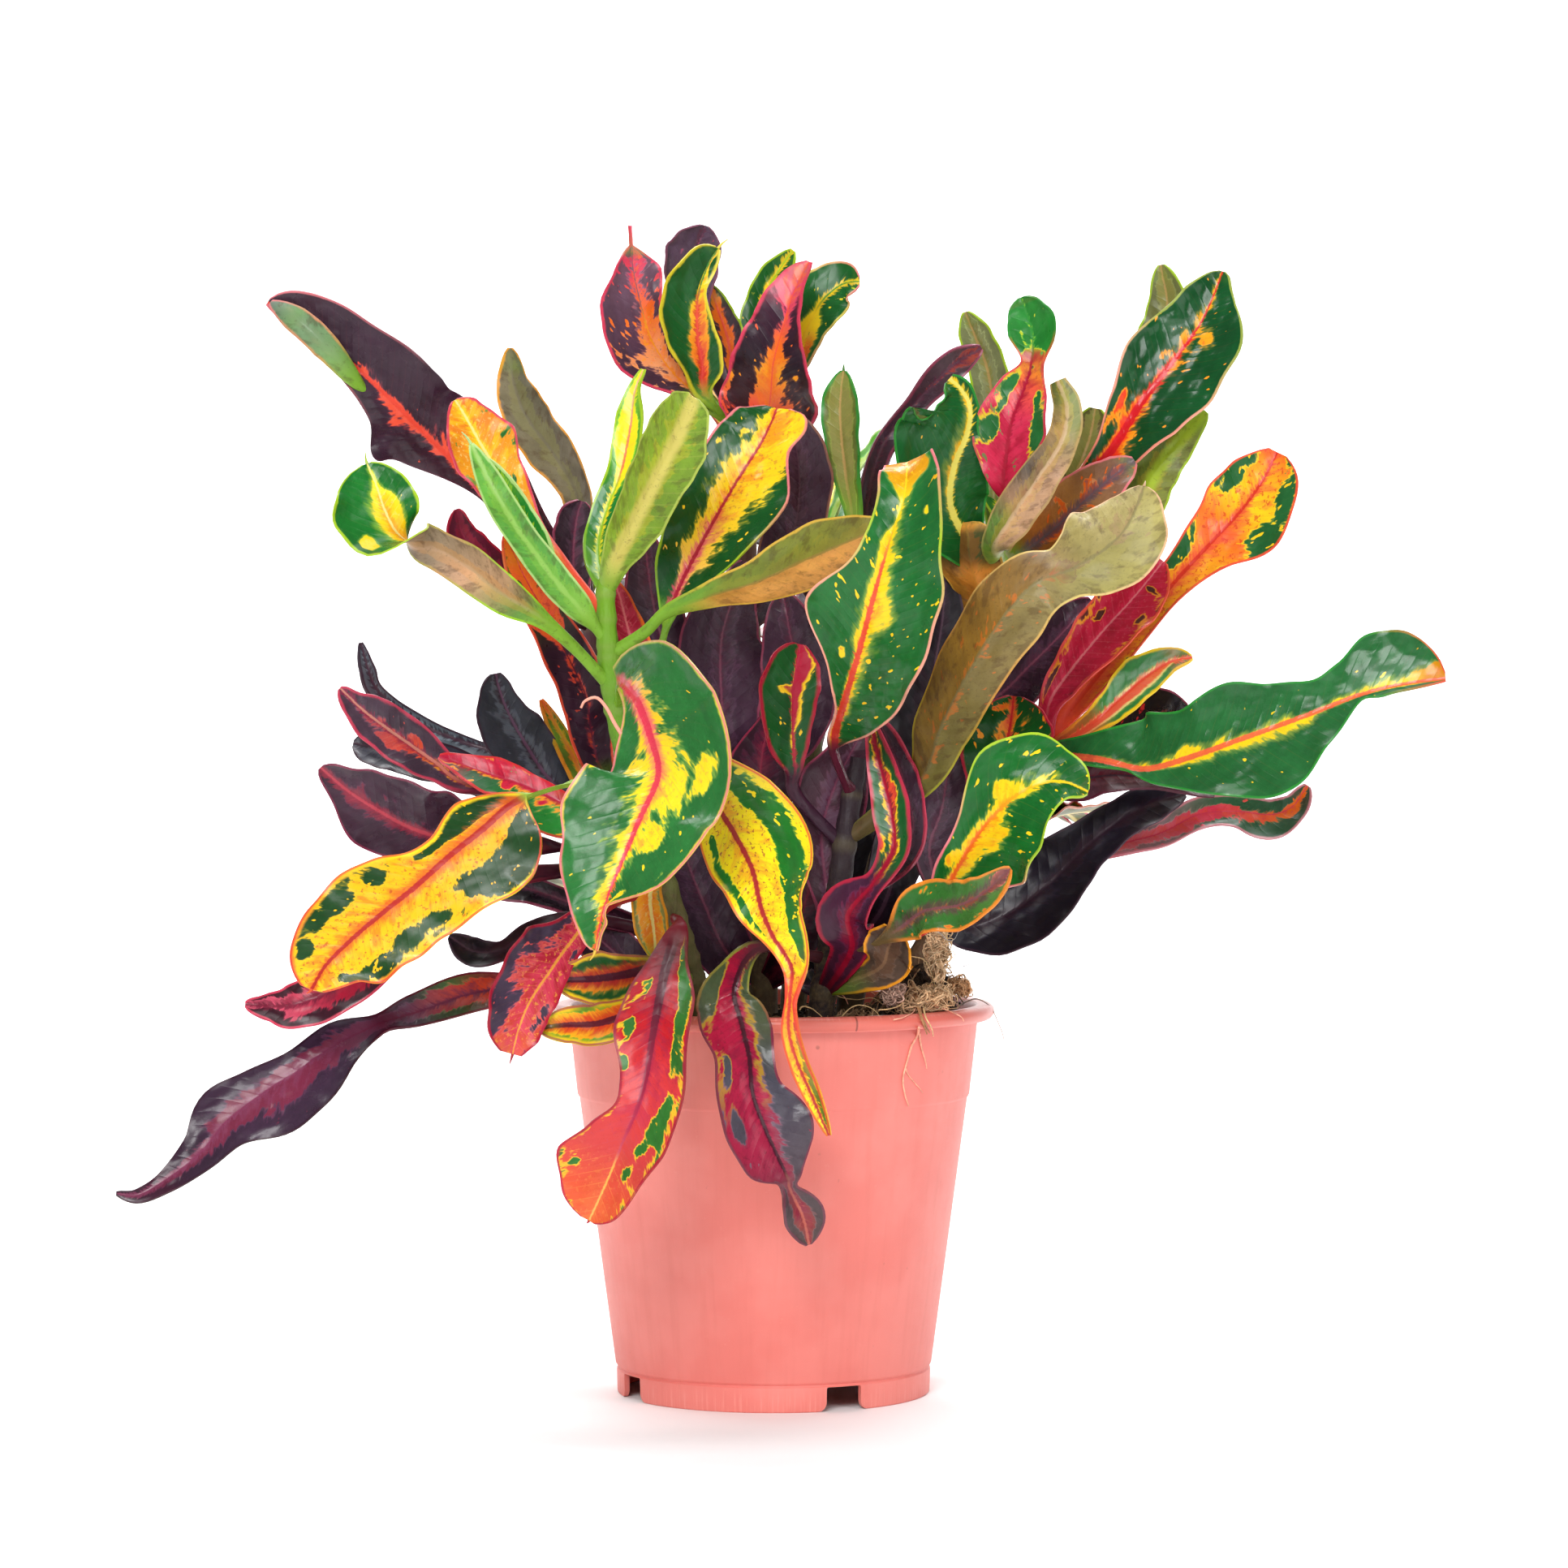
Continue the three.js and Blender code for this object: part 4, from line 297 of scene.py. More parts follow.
        (85, 157, -9, 13, 11, 0), (95, 167, -10, 9, 7.5, 0), (106, 176, -12, 6.5, 6.5, 0),
        (117, 181.5, -13, 6, 5.5, 0), (127, 184.5, -14, 1, 1, 0)]),
    ("L44", "near", "jungle", 0.05, 142, 24, [(42, 142, -50, 2.5, 2.5, 0), (50, 149, -60, 3, 4, 0),
        (56, 160, -68, 7, 9, 0), (64, 173, -75, 9, 19, 0), (73, 182.5, -80, 17, 18, 0),
        (82, 187.5, -82, 17, 11, 0), (90, 188, -82, 10, 6, 0), (97, 185, -81, 1, 1, 0)]),
    ("L45", "near", "parrot", 0.05, 134, 28, [(36, 141, -60, 2.5, 2.5, 0), (46, 148, -76, 9, 6.5, 0),
        (57, 150, -86, 8, 7, 0), (65, 154, -92, 5.5, 5.5, 0), (73, 161.5, -95, 0.8, 0.8, 0)]),
    ("L46", "side_right", "spot", 0.05, 173, 26, [(69, 184, -32, 9, 10, 0), (71, 196, -38, 14, 15, 0),
        (73, 206, -40, 12, 13, 0), (74, 214.5, -40, 2, 3, 0)]),
    ("L47", "near", "crimson_edge", 0.05, 169, -24, [(7, 184, -32, 2, 2, 0), (6.5, 193, -36, 3.5, 3, 0),
        (6, 203, -40, 8.5, 6, 0), (6, 214, -42, 10.5, 8, 0), (7, 223, -42, 9, 8, 0), (8, 230.5, -40, 2, 2, 0)]),
    ("L48", "near", "wine", 0.04, 124, 20, [(24, 136, -44, 7, 5, 0), (23, 147, -50, 10, 8, 0),
        (31, 157, -54, 4.5, 5.5, 30), (37, 168, -56, 5, 5, 0), (36, 180, -54, 6, 6, 0),
        (33, 193, -50, 4.5, 4.5, 0), (30, 206, -46, 1.5, 1.5, 0)]),
    ("L49", "near", "dusk", 0.04, 151, 28, [(38, 162, -38, 3.5, 3.5, 0), (43, 173, -44, 4.5, 4, 0),
        (41, 185, -44, 5, 5, 0), (37, 197, -40, 4.5, 4, 0), (32, 208, -36, 1, 1, 0)]),
    ("L50", "near", "dusk", 0.05, 143, -16, [(16, 158, -24, 6, 7, 0), (15, 173, -24, 10, 12, 0),
        (19, 187, -24, 11, 11, 0), (25, 199, -26, 6, 6, 0), (31, 209, -28, 1, 1, 0)]),
    ("L51", "near", "olive", 0.03, 126, 24, [(32, 130, -46, 5, 6, 0), (35.5, 137, -54, 8, 8.5, 0),
        (37.5, 142.5, -58, 4, 4, 0)]),
    ("L52", "front_left", "lemon", 0.05, 185, -24, [(-26, 189, -50, 2.5, 2.5, 0), (-18, 181, -66, 14, 8, 0),
        (-12, 172, -76, 18.5, 13, 0), (-6.5, 161, -84, 20, 12, 0), (-4, 150, -90, 18, 8.5, 0),
        (-0.5, 141, -95, 13.5, 4, 0), (5.5, 131, -99, 6, 3, 0), (5.4, 121.8, -101, 2, 2, 0),
        (5, 111, -101, 3, 2.8, 0), (8, 100.4, -100, 3.1, 3.1, 0), (12, 91, -98, 2.9, 2.9, 0),
        (17, 78.8, -96, 0.8, 0.8, 0)]),
    ("L53", "front_left", "parrot", 0.05, 211, -22, [(-47.5, 219, -54, 3, 2, 0), (-42, 213, -76, 18, 6, 0),
        (-37.5, 201, -88, 24, 13, 0), (-35.5, 190, -96, 22, 21, 0), (-41, 177, -102, 22, 26, 0),
        (-46.5, 164, -106, 17, 21, 0), (-51, 153, -108, 5, 15, 0), (-53.5, 144, -109, 2, 9, 0),
        (-55, 136, -109, 0.8, 1.5, 0)]),
    ("L54", "front_left", "lemon", 0.05, 181, -26, [(-58, 187.5, -46, 1.8, 1.8, 0),
        (-78, 182.5, -64, 3.5, 3, 0), (-90, 173, -76, 18.5, 12, 0), (-100, 165, -84, 23.5, 8.5, 0),
        (-110, 156, -92, 18.5, 13, 0), (-120, 148, -98, 18, 18, 0), (-130, 139.5, -104, 18, 17.5, 0),
        (-138, 131.5, -109, 14, 12.5, 0), (-142.5, 124, -113, 4, 4, 0)]),
    ("L55", "left", "wine", 0.06, 160, -26, [(-62, 161, -6, 2, 2, 0), (-88, 157, -26, 4, 4, 0),
        (-113, 144, -40, 8, 8, 0), (-132, 126.5, -48, 8.5, 8, 0), (-147, 119.5, -52, 7.5, 6.5, 0),
        (-156, 119, -54, 4.5, 4, 0), (-163, 119.5, -55, 0.8, 0.8, 0)]),
    ("L56", "left", "dusk", 0.05, 167, 24, [(-68, 168, 10, 2, 2, 0), (-88, 168, -2, 6, 7.5, 0),
        (-101, 170.5, -10, 10.5, 13, 0), (-112, 174, -16, 12, 15, 0), (-123, 180, -20, 12.5, 13, 0),
        (-132, 186, -22, 6.5, 8.5, 0), (-139.5, 192.5, -24, 1, 1, 0)]),
    ("L57", "left", "scarlet_edge", 0.05, 183, -28, [(-72, 186, 14, 1.8, 1.8, 0), (-94, 187, 4, 2.5, 2.5, 0),
        (-104, 194, 0, 5.5, 5.5, 0), (-114, 201, -4, 7.5, 8, 0), (-123, 207.5, -8, 7, 7, 0),
        (-129, 212.5, -10, 4.5, 4, 0), (-133.5, 217, -11, 0.8, 0.8, 0)]),
    ("L58", "left", "night", 0.05, 177, -30, [(-72, 183, 28, 2.5, 2.5, 0), (-90, 190, 24, 6, 5, 0),
        (-103, 194, 20, 6.5, 6.5, 0), (-115, 197, 16, 6, 6, 0), (-124, 199, 14, 5.5, 5, 0),
        (-129.5, 200, 14, 1, 1, 0)]),
    ("L59", "left", "night", 0.05, 189, -26, [(-80, 196, 40, 3, 1.5, 0), (-105, 204, 40, 5, 2.6, 0),
        (-121, 215, 38, 3.2, 2.2, 0), (-125, 223, 38, 2.4, 2.4, 0), (-127, 231, 38, 0.6, 0.6, 0)]),
    ("L60", "left", "night", 0.05, 187, -28, [(-62, 184, 12, 3, 3, 0), (-70, 190, 6, 7, 8, 0),
        (-76.5, 200, 2, 10.5, 9, 0), (-81.5, 209, 0, 10, 6, 0), (-84.5, 217, 0, 6, 4, 0),
        (-85.5, 221.5, 0, 1.5, 1.5, 0)]),
    ("L61", "left", "rust", 0.03, 175, -30, [(-56, 186, 10, 3.5, 3, 0), (-62, 196, 8, 3.5, 3, 0),
        (-67, 205, 8, 2.5, 2.5, 0), (-71.5, 213.5, 8, 0.6, 0.6, 0)]),
    ("L62", "front_left", "rose", 0.05, 179, -24, [(-60, 180, -30, 10, 3, 0), (-70, 184, -29, 11, 4, 0),
        (-79, 188, -28, 6, 5, 0), (-87, 190.5, -26, 6, 5.5, 0), (-96, 193.5, -24, 3.5, 3.5, 0),
        (-103, 196, -22, 0.8, 0.8, 0)]),
    ("L63", "left", "dusk", 0.04, 139, -30, [(-55, 148, 2, 4, 4, 0), (-72, 154, -6, 4, 4, 0),
        (-92, 160, -12, 6, 6, 0), (-108, 167, -16, 1, 1, 0)]),
    ("L64", "front_left", "night", 0.05, 141, -26, [(-58, 146, -30, 2, 2, 0), (-74, 142, -34, 3.5, 3.5, 0),
        (-84, 136, -36, 3, 3, 0), (-93, 136, -38, 4.5, 4.5, 0), (-100, 140.5, -40, 0.8, 0.8, 0)]),
    ("L65", "front_left", "scarlet", 0.05, 157, 24, [(-52, 150, -54, 2.5, 2.5, 0), (-63, 138, -70, 5, 8, 0),
        (-69, 129.5, -78, 6.5, 14, 0), (-75, 120.5, -84, 8, 13, 0), (-78.5, 112, -87, 7.5, 10.5, 0),
        (-80.5, 104, -88, 3, 4, 0)]),
    ("L66", "front_left", "stripe", 0.03, 135, -12, [(-34, 132, -50, 2, 2, 0), (-44, 129, -62, 6.5, 6, 0),
        (-53, 127.5, -68, 8.5, 8.5, 0), (-61, 127, -72, 6.5, 6.5, 0), (-68, 127, -74, 1.5, 1.5, 0)]),
    ("L67", "front_left", "stripe", 0.03, 129, -20, [(-34, 124, -58, 2, 2, 0), (-44, 117, -70, 5, 5, 0),
        (-54, 113.5, -77, 6.5, 6.5, 0), (-64, 113, -80, 5.5, 5.5, 0), (-72.5, 112, -81, 1, 1, 0)]),
    ("L68", "front_left", "scarlet", 0.04, 147, -22, [(-29, 144, -56, 2, 2, 0), (-33, 131, -80, 6, 7, 0),
        (-35.5, 119, -94, 11, 11.5, 0), (-37.5, 108, -102, 11, 12, 0), (-39.5, 96, -106, 12.5, 8.5, 0),
        (-42.5, 86, -108, 13.5, 7.5, 0), (-46.5, 77, -108, 13, 12, 0), (-50, 68, -107, 10, 19, 0),
        (-54, 59, -106, 8.5, 14, 0), (-57, 52.5, -105, 2, 3, 0)]),
    ("L69", "near", "scarlet_dark", 0.04, 135, 24, [(-4, 137, -50, 2, 2, 0), (-12, 125, -68, 5, 7, 0),
        (-10, 114, -80, 9, 13, 0), (-7.5, 103, -88, 8, 11, 0), (-6.5, 92, -92, 11, 11, 0),
        (-3, 82, -93, 15, 12, 0), (1, 73, -93, 12.5, 11, 0), (4, 66.5, -92, 6, 5, 0), (5, 62, -91, 3, 2.5, 0),
        (9, 54, -90, 7, 6, 0), (11, 45, -89, 1, 1, 0)]),
    ("L70", "left", "scarlet_edge", 0.04, 127, -26, [(-52, 132, -8, 1.8, 1.8, 0), (-76, 126, -22, 4, 3, 0),
        (-94, 122.5, -29, 6, 7, 0), (-110, 117, -34, 4.5, 6, 0), (-122, 113, -37, 3, 3.5, 0),
        (-134, 107.5, -40, 8, 7, 0), (-147, 99, -43, 14.5, 7, 0), (-159, 91, -46, 14.5, 9, 0),
        (-169, 83, -48, 9.5, 11, 0), (-177, 73.5, -50, 6, 7, 0), (-187, 65.5, -51, 4, 3.5, 0),
        (-196, 60.5, -53, 2.5, 2, 0), (-203, 61, -54, 0.6, 0.6, 0)]),
    ("L71", "front_left", "honey_face", 0.03, 163, -26, [(-38, 153, -40, 3.5, 6, 0), (-37, 143, -46, 5, 6, 0),
        (-36, 134, -48, 2.5, 2.5, 0), (-37, 130, -48, 0.8, 0.8, 0)]),
    ("L72", "front_left", "crimson", 0.03, 177, -30, [(-36, 196, -18, 3, 3, 0), (-39, 212, -16, 4.5, 4.5, 0),
        (-43, 228, -18, 6, 6, 0), (-46, 240, -18, 4.5, 4.5, 0), (-49, 250, -18, 1, 1, 0)]),
    ("L73", "centre", "dusk", 0.05, 178, -26, [(-14, 196, 2, 9, 9, 0), (-16, 214, -6, 13, 13, 0),
        (-16, 232, -8, 13, 13, 0), (-12, 246, -8, 7, 7, 0), (-9, 256, -8, 1, 1, 0)]),
    ("L74", "centre", "dusk", 0.05, 200, -12, [(-28, 212, -2, 6, 6, 0), (-33, 227, -8, 9, 9, 0),
        (-37, 243, -12, 9, 9, 0), (-39, 257, -13, 6, 6, 0), (-40, 267, -13, 1, 1, 0)]),
    ("L75", "centre", "dusk", 0.05, 190, 12, [(6, 204, 2, 9, 9, 0), (8, 219, -6, 12, 12, 0),
        (5, 234, -10, 9, 9, 0), (3, 246, -10, 2, 2, 0)]),
    ("L76", "side_right", "dusk", 0.05, 150, -30, [(48, 166, -14, 5, 5, 0), (52, 180, -18, 7, 7, 0),
        (54, 195, -20, 6, 6, 0), (56, 210, -20, 1.5, 1.5, 0)]),
    ("L77", "centre", "dusk", 0.05, 128, -30, [(-14, 135, 4, 9, 9, 0), (-22, 152, 0, 10, 10, 0),
        (-28, 168, -3, 9, 10, 0), (-31, 183, -4, 5, 6, 0), (-32, 192, -4, 1, 1, 0)]),
    ("L78", "centre", "wine", 0.05, 124, 28, [(4, 134, 2, 6, 6, 0), (9, 148, -4, 9, 9, 0),
        (13, 164, -8, 9, 9, 0), (15, 178, -9, 6, 6, 0), (16, 188, -9, 1, 1, 0)]),
    ("L79", "right", "night", 0.05, 140, -28, [(34, 150, 4, 6, 6, 0), (39, 166, 0, 9, 8, 0),
        (43, 184, 0, 10, 9, 0), (46, 203, 0, 13, 9, 0), (49, 220, 0, 12, 8, 0), (52, 238, 0, 7, 7, 0),
        (53, 254, 0, 1, 1, 0)]),
    ("L80", "left", "dusk", 0.05, 122, -28, [(-34, 126, 12, 4, 4, 0), (-46, 133, 8, 8, 8, 0),
        (-57, 143, 5, 7, 8, 0), (-66, 154, 4, 1, 1, 0)]),
    ("L81", "centre", "wine", 0.05, 150, 20, [(-2, 162, 4, 7, 7, 0), (-4, 176, -2, 10, 10, 0),
        (-4, 192, -6, 10, 10, 0), (-2, 204, -7, 5, 5, 0), (0, 211, -7, 1, 1, 0)]),
    ("L82", "back", "night", 0.05, 128, 30, [(14, 140, 34, 8, 8, 0), (19, 156, 34, 11, 11, 0),
        (22, 174, 34, 10, 10, 0), (24, 190, 33, 6, 6, 0), (25, 200, 33, 1, 1, 0)]),
    ("L83", "back", "dusk", 0.05, 134, -30, [(0, 148, 36, 8, 8, 0), (-10, 162, 34, 11, 11, 0),
        (-16, 178, 33, 10, 10, 0), (-18, 194, 33, 5, 5, 0), (-18, 203, 33, 1, 1, 0)]),
]

# The leaves behind: name, stem, marking, waviness, height, bearing, length, half width, rise, droop, roll
HIDDEN = [
    ("H01", "back", "jungle", 0.08, 146, 62, 76, 12, 25, 50, 20),
    ("H02", "back", "dusk", 0.08, 140, 122, 80, 12, 22, 55, -20),
    ("H03", "back", "lemon", 0.08, 155, 88, 72, 13, 25, 70, 15),
    ("H04", "back", "scarlet_edge", 0.08, 172, 30, 105, 12, 25, 50, -15),
    ("H05", "back", "parrot", 0.08, 185, 150, 105, 13, 30, 60, 20),
    ("H06", "back", "dusk", 0.08, 190, 84, 86, 14, 72, 55, -10),
    ("H07", "back", "rose", 0.08, 214, 112, 80, 11, 45, 70, 25),
    ("H08", "back", "ember", 0.08, 228, 40, 90, 12, 50, 70, -20),
    ("H09", "back", "night", 0.08, 240, 150, 85, 11, 55, 70, 10),
    ("H10", "back", "lime", 0.08, 250, 90, 80, 11, 65, 70, 15),
    ("H11", "back", "young", 0.08, 258, 15, 60, 9, 75, 40, 0),
    ("H12", "back", "olive", 0.08, 260, 205, 62, 9, 80, 30, 0),
    ("H13", "right", "parrot", 0.08, 168, 70, 100, 12, 22, 55, 10),
    ("H14", "right", "ember", 0.08, 190, 38, 95, 11, 25, 50, -15),
    ("H15", "right", "jungle", 0.08, 212, 95, 95, 12, 40, 70, 10),
    ("H16", "right", "scarlet_edge", 0.08, 236, 55, 90, 11, 45, 60, 15),
    ("H17", "right", "lime", 0.08, 256, 95, 75, 10, 60, 50, -10),
    ("H18", "left", "ember", 0.08, 145, 108, 90, 11, 20, 55, 10),
    ("H19", "left", "jungle", 0.08, 146, 150, 90, 11, 20, 50, -10),
    ("H20", "left", "parrot", 0.08, 190, 95, 92, 12, 35, 65, 15),
    ("H21", "left", "rose", 0.08, 215, 104, 78, 12, 40, 60, -15),
    ("H22", "left", "lime", 0.08, 245, 78, 70, 10, 50, 50, 10),
    ("H23", "centre", "jungle", 0.08, 262, 130, 72, 10, 50, 60, 10),
    ("H24", "centre", "lemon", 0.08, 285, 112, 60, 9, 60, 50, -10),
    ("H25", "centre", "dusk", 0.08, 225, 128, 85, 10, 45, 60, 10),
    ("H26", "side_right", "jungle", 0.08, 152, 48, 92, 10, 38, 45, 10),
    ("H27", "side_right", "spot", 0.08, 165, 62, 85, 10, 30, 50, -10),
    ("H28", "right", "night", 0.05, 122, 205, 19, 8, 14, 10, 50),
]
ARCH_WIDTHS = [0.45, 0.95, 1, 0.74, 0.08]

# Colours, as they look on a screen
DEEP, GREEN, MID, BRIGHT = "#0e4a1a", "#166426", "#2a8430", "#57a32a"
LIME, YELLOW, LEMON, CREAM = "#a3c42a", "#f2c81a", "#fbe01f", "#ecdc86"
AMBER, ORANGE, CORAL, RED = "#ee9a1d", "#e8691b", "#e04c33", "#c8202a"
CRIMSON, ROSE, PINK, BLUSH = "#a31130", "#d03a57", "#e77a82", "#efa08a"
WINE, MAROON, PLUM, DUSK = "#521029", "#37101f", "#33192a", "#442b3d"
MAUVE, NIGHT, OLIVE, KHAKI = "#66485a", "#150e18", "#56602a", "#858343"
TAN, GREY, STALK = "#b3935a", "#66695f", "#76a42e"
STAIN, DARK_DOT, UNDER_GRIT = "#402414", "#1c120c", "#2a1c14"

# What every leaf starts from. Colours may be one value, or (share along the leaf, value) pairs. Widths of
# the patch are shares of the half blade, left and right; the others in mm or as amounts from 0 to 1. Blobs
# widen the patch, or with a minus the ground: share along, share across, length, width, strength
PLAIN = dict(
    ground=GREEN, patch=YELLOW, glow=ORANGE, rib=RED, edge=BLUSH, under=OLIVE, under_right=None, under_rib=CREAM,
    rim=None, hem=None, stalk=STALK, left=0.4, right=0.4, ragged=0.4, fleck=0.2, blotch=0.1, rib_mm=0.7, edge_mm=0.6,
    glow_mm=1.5, keel_mm=1.6, bleed=0.15, gloss=0.5, blobs=[],
)

# The kinds of marking that the plant shows
KINDS = dict(
    jungle=dict(ground=DEEP, left=0.3, right=0.3, fleck=0.25, gloss=0.7),
    parrot=dict(left=0.5, right=0.5, rib=ROSE, edge=PINK, gloss=0.6),
    lemon=dict(left=1.1, right=1.1, edge=CORAL, glow_mm=2.5),
    lime=dict(ground=MID, patch=LEMON, left=0.5, right=0.5, rib=CREAM, glow=LIME, edge=LIME, under=TAN),
    young=dict(ground=BRIGHT, patch=LIME, rib=LIME, glow=LIME, edge="#b9d68a", under="#6fa33c", under_rib="#93bd5c",
        keel_mm=1.0),
    young_face=dict(ground="#1e7a2a", patch=BRIGHT, rib=LIME, glow=LIME, edge="#b9d68a", left=0.1, right=0.1,
        gloss=0.8),
    pale=dict(ground=OLIVE, edge=LIME, keel_mm=3.4),
    honey=dict(ground=OLIVE),
    honey_face=dict(ground=KHAKI, patch=AMBER, rib=CREAM, edge=AMBER, left=0.7, right=0.7),
    olive=dict(ground=OLIVE, patch=KHAKI, rib=TAN, glow=KHAKI, edge=LIME, under="#7a7a34", under_rib=TAN, fleck=0),
    rust=dict(ground="#3a2430", patch=ORANGE, rib=CORAL, edge=LIME, blotch=0.4),
    mottle=dict(patch=ORANGE, edge=ROSE, blotch=0.4, fleck=0.3),
    dusk=dict(ground=DUSK, patch="#4c3344", glow="#5a2840", rib="#7c4258", edge="#94405a", under=DUSK,
        under_rib=MAUVE, left=0.2, right=0.2, fleck=0.0, blotch=0.0, rib_mm=0.5, glow_mm=1.0, stalk=MAROON,
        gloss=0.6),
    dusk_under=dict(ground=DUSK, patch=MAUVE, under="#5f7468", under_rib="#6a7c70", rib=PINK, glow=PINK),
    night=dict(ground=NIGHT, patch="#241822", glow="#2a1626", rib="#4c3242", edge="#3a2634", under=NIGHT, left=0.2,
        right=0.2, fleck=0, blotch=0, under_rib="#3a2834", stalk=MAROON, gloss=0.4),
    wine=dict(ground="#2c1020", patch="#43122a", glow="#6a1630", rib="#7c2038", edge="#8a2440", under="#33182a",
        under_rib="#6a2a40", fleck=0.0, rib_mm=0.5, stalk=MAROON),
    rose=dict(ground=GREY, patch=ROSE, glow=CORAL, rib=CORAL, edge=PINK, left=0.6, right=0.6, blotch=0.3, fleck=0.3,
        stalk=CRIMSON),
    crimson=dict(ground="#3f1320", patch=CRIMSON, glow=ROSE, rib=PINK, left=1.0, right=1.0, blotch=0.15,
        stalk=CRIMSON),
    crimson_edge=dict(ground=DEEP, patch=CRIMSON, glow=CRIMSON, rib=CRIMSON, edge=CRIMSON, rim=YELLOW, ragged=0.15,
        rib_mm=0.6, glow_mm=0.8),
    scarlet=dict(left=1.1, right=1.1, stalk=CRIMSON),
    scarlet_dark=dict(),
    scarlet_edge=dict(ground=PLUM, patch="#7c1e3a", glow="#8a2244", rib="#a83c50", edge=CRIMSON, left=0.25,
        right=0.25, fleck=0.05, stalk=WINE),
    ember=dict(patch=AMBER, edge=CORAL, left=1.1, right=1.1, blotch=0.15, glow_mm=3, stalk=CORAL),
    flame=dict(edge=ROSE, blotch=0.3),
    gloss=dict(glow=YELLOW, rib="#d9cf5c", edge=MID, left=0.05, right=0.05, ragged=0.1, fleck=0.1, gloss=0.9),
    spot=dict(ground=DEEP, patch=AMBER, glow=CORAL, edge=ROSE, left=0.15, right=0.15, fleck=0.5),
    stripe=dict(ground="#3c7a1c", edge=YELLOW, hem="#a03444", edge_mm=1.9, fleck=0, blotch=0),
    green=dict(ground="#145a20", rib=LIME, glow=YELLOW, edge=LIME, left=0.06, right=0.06),
)

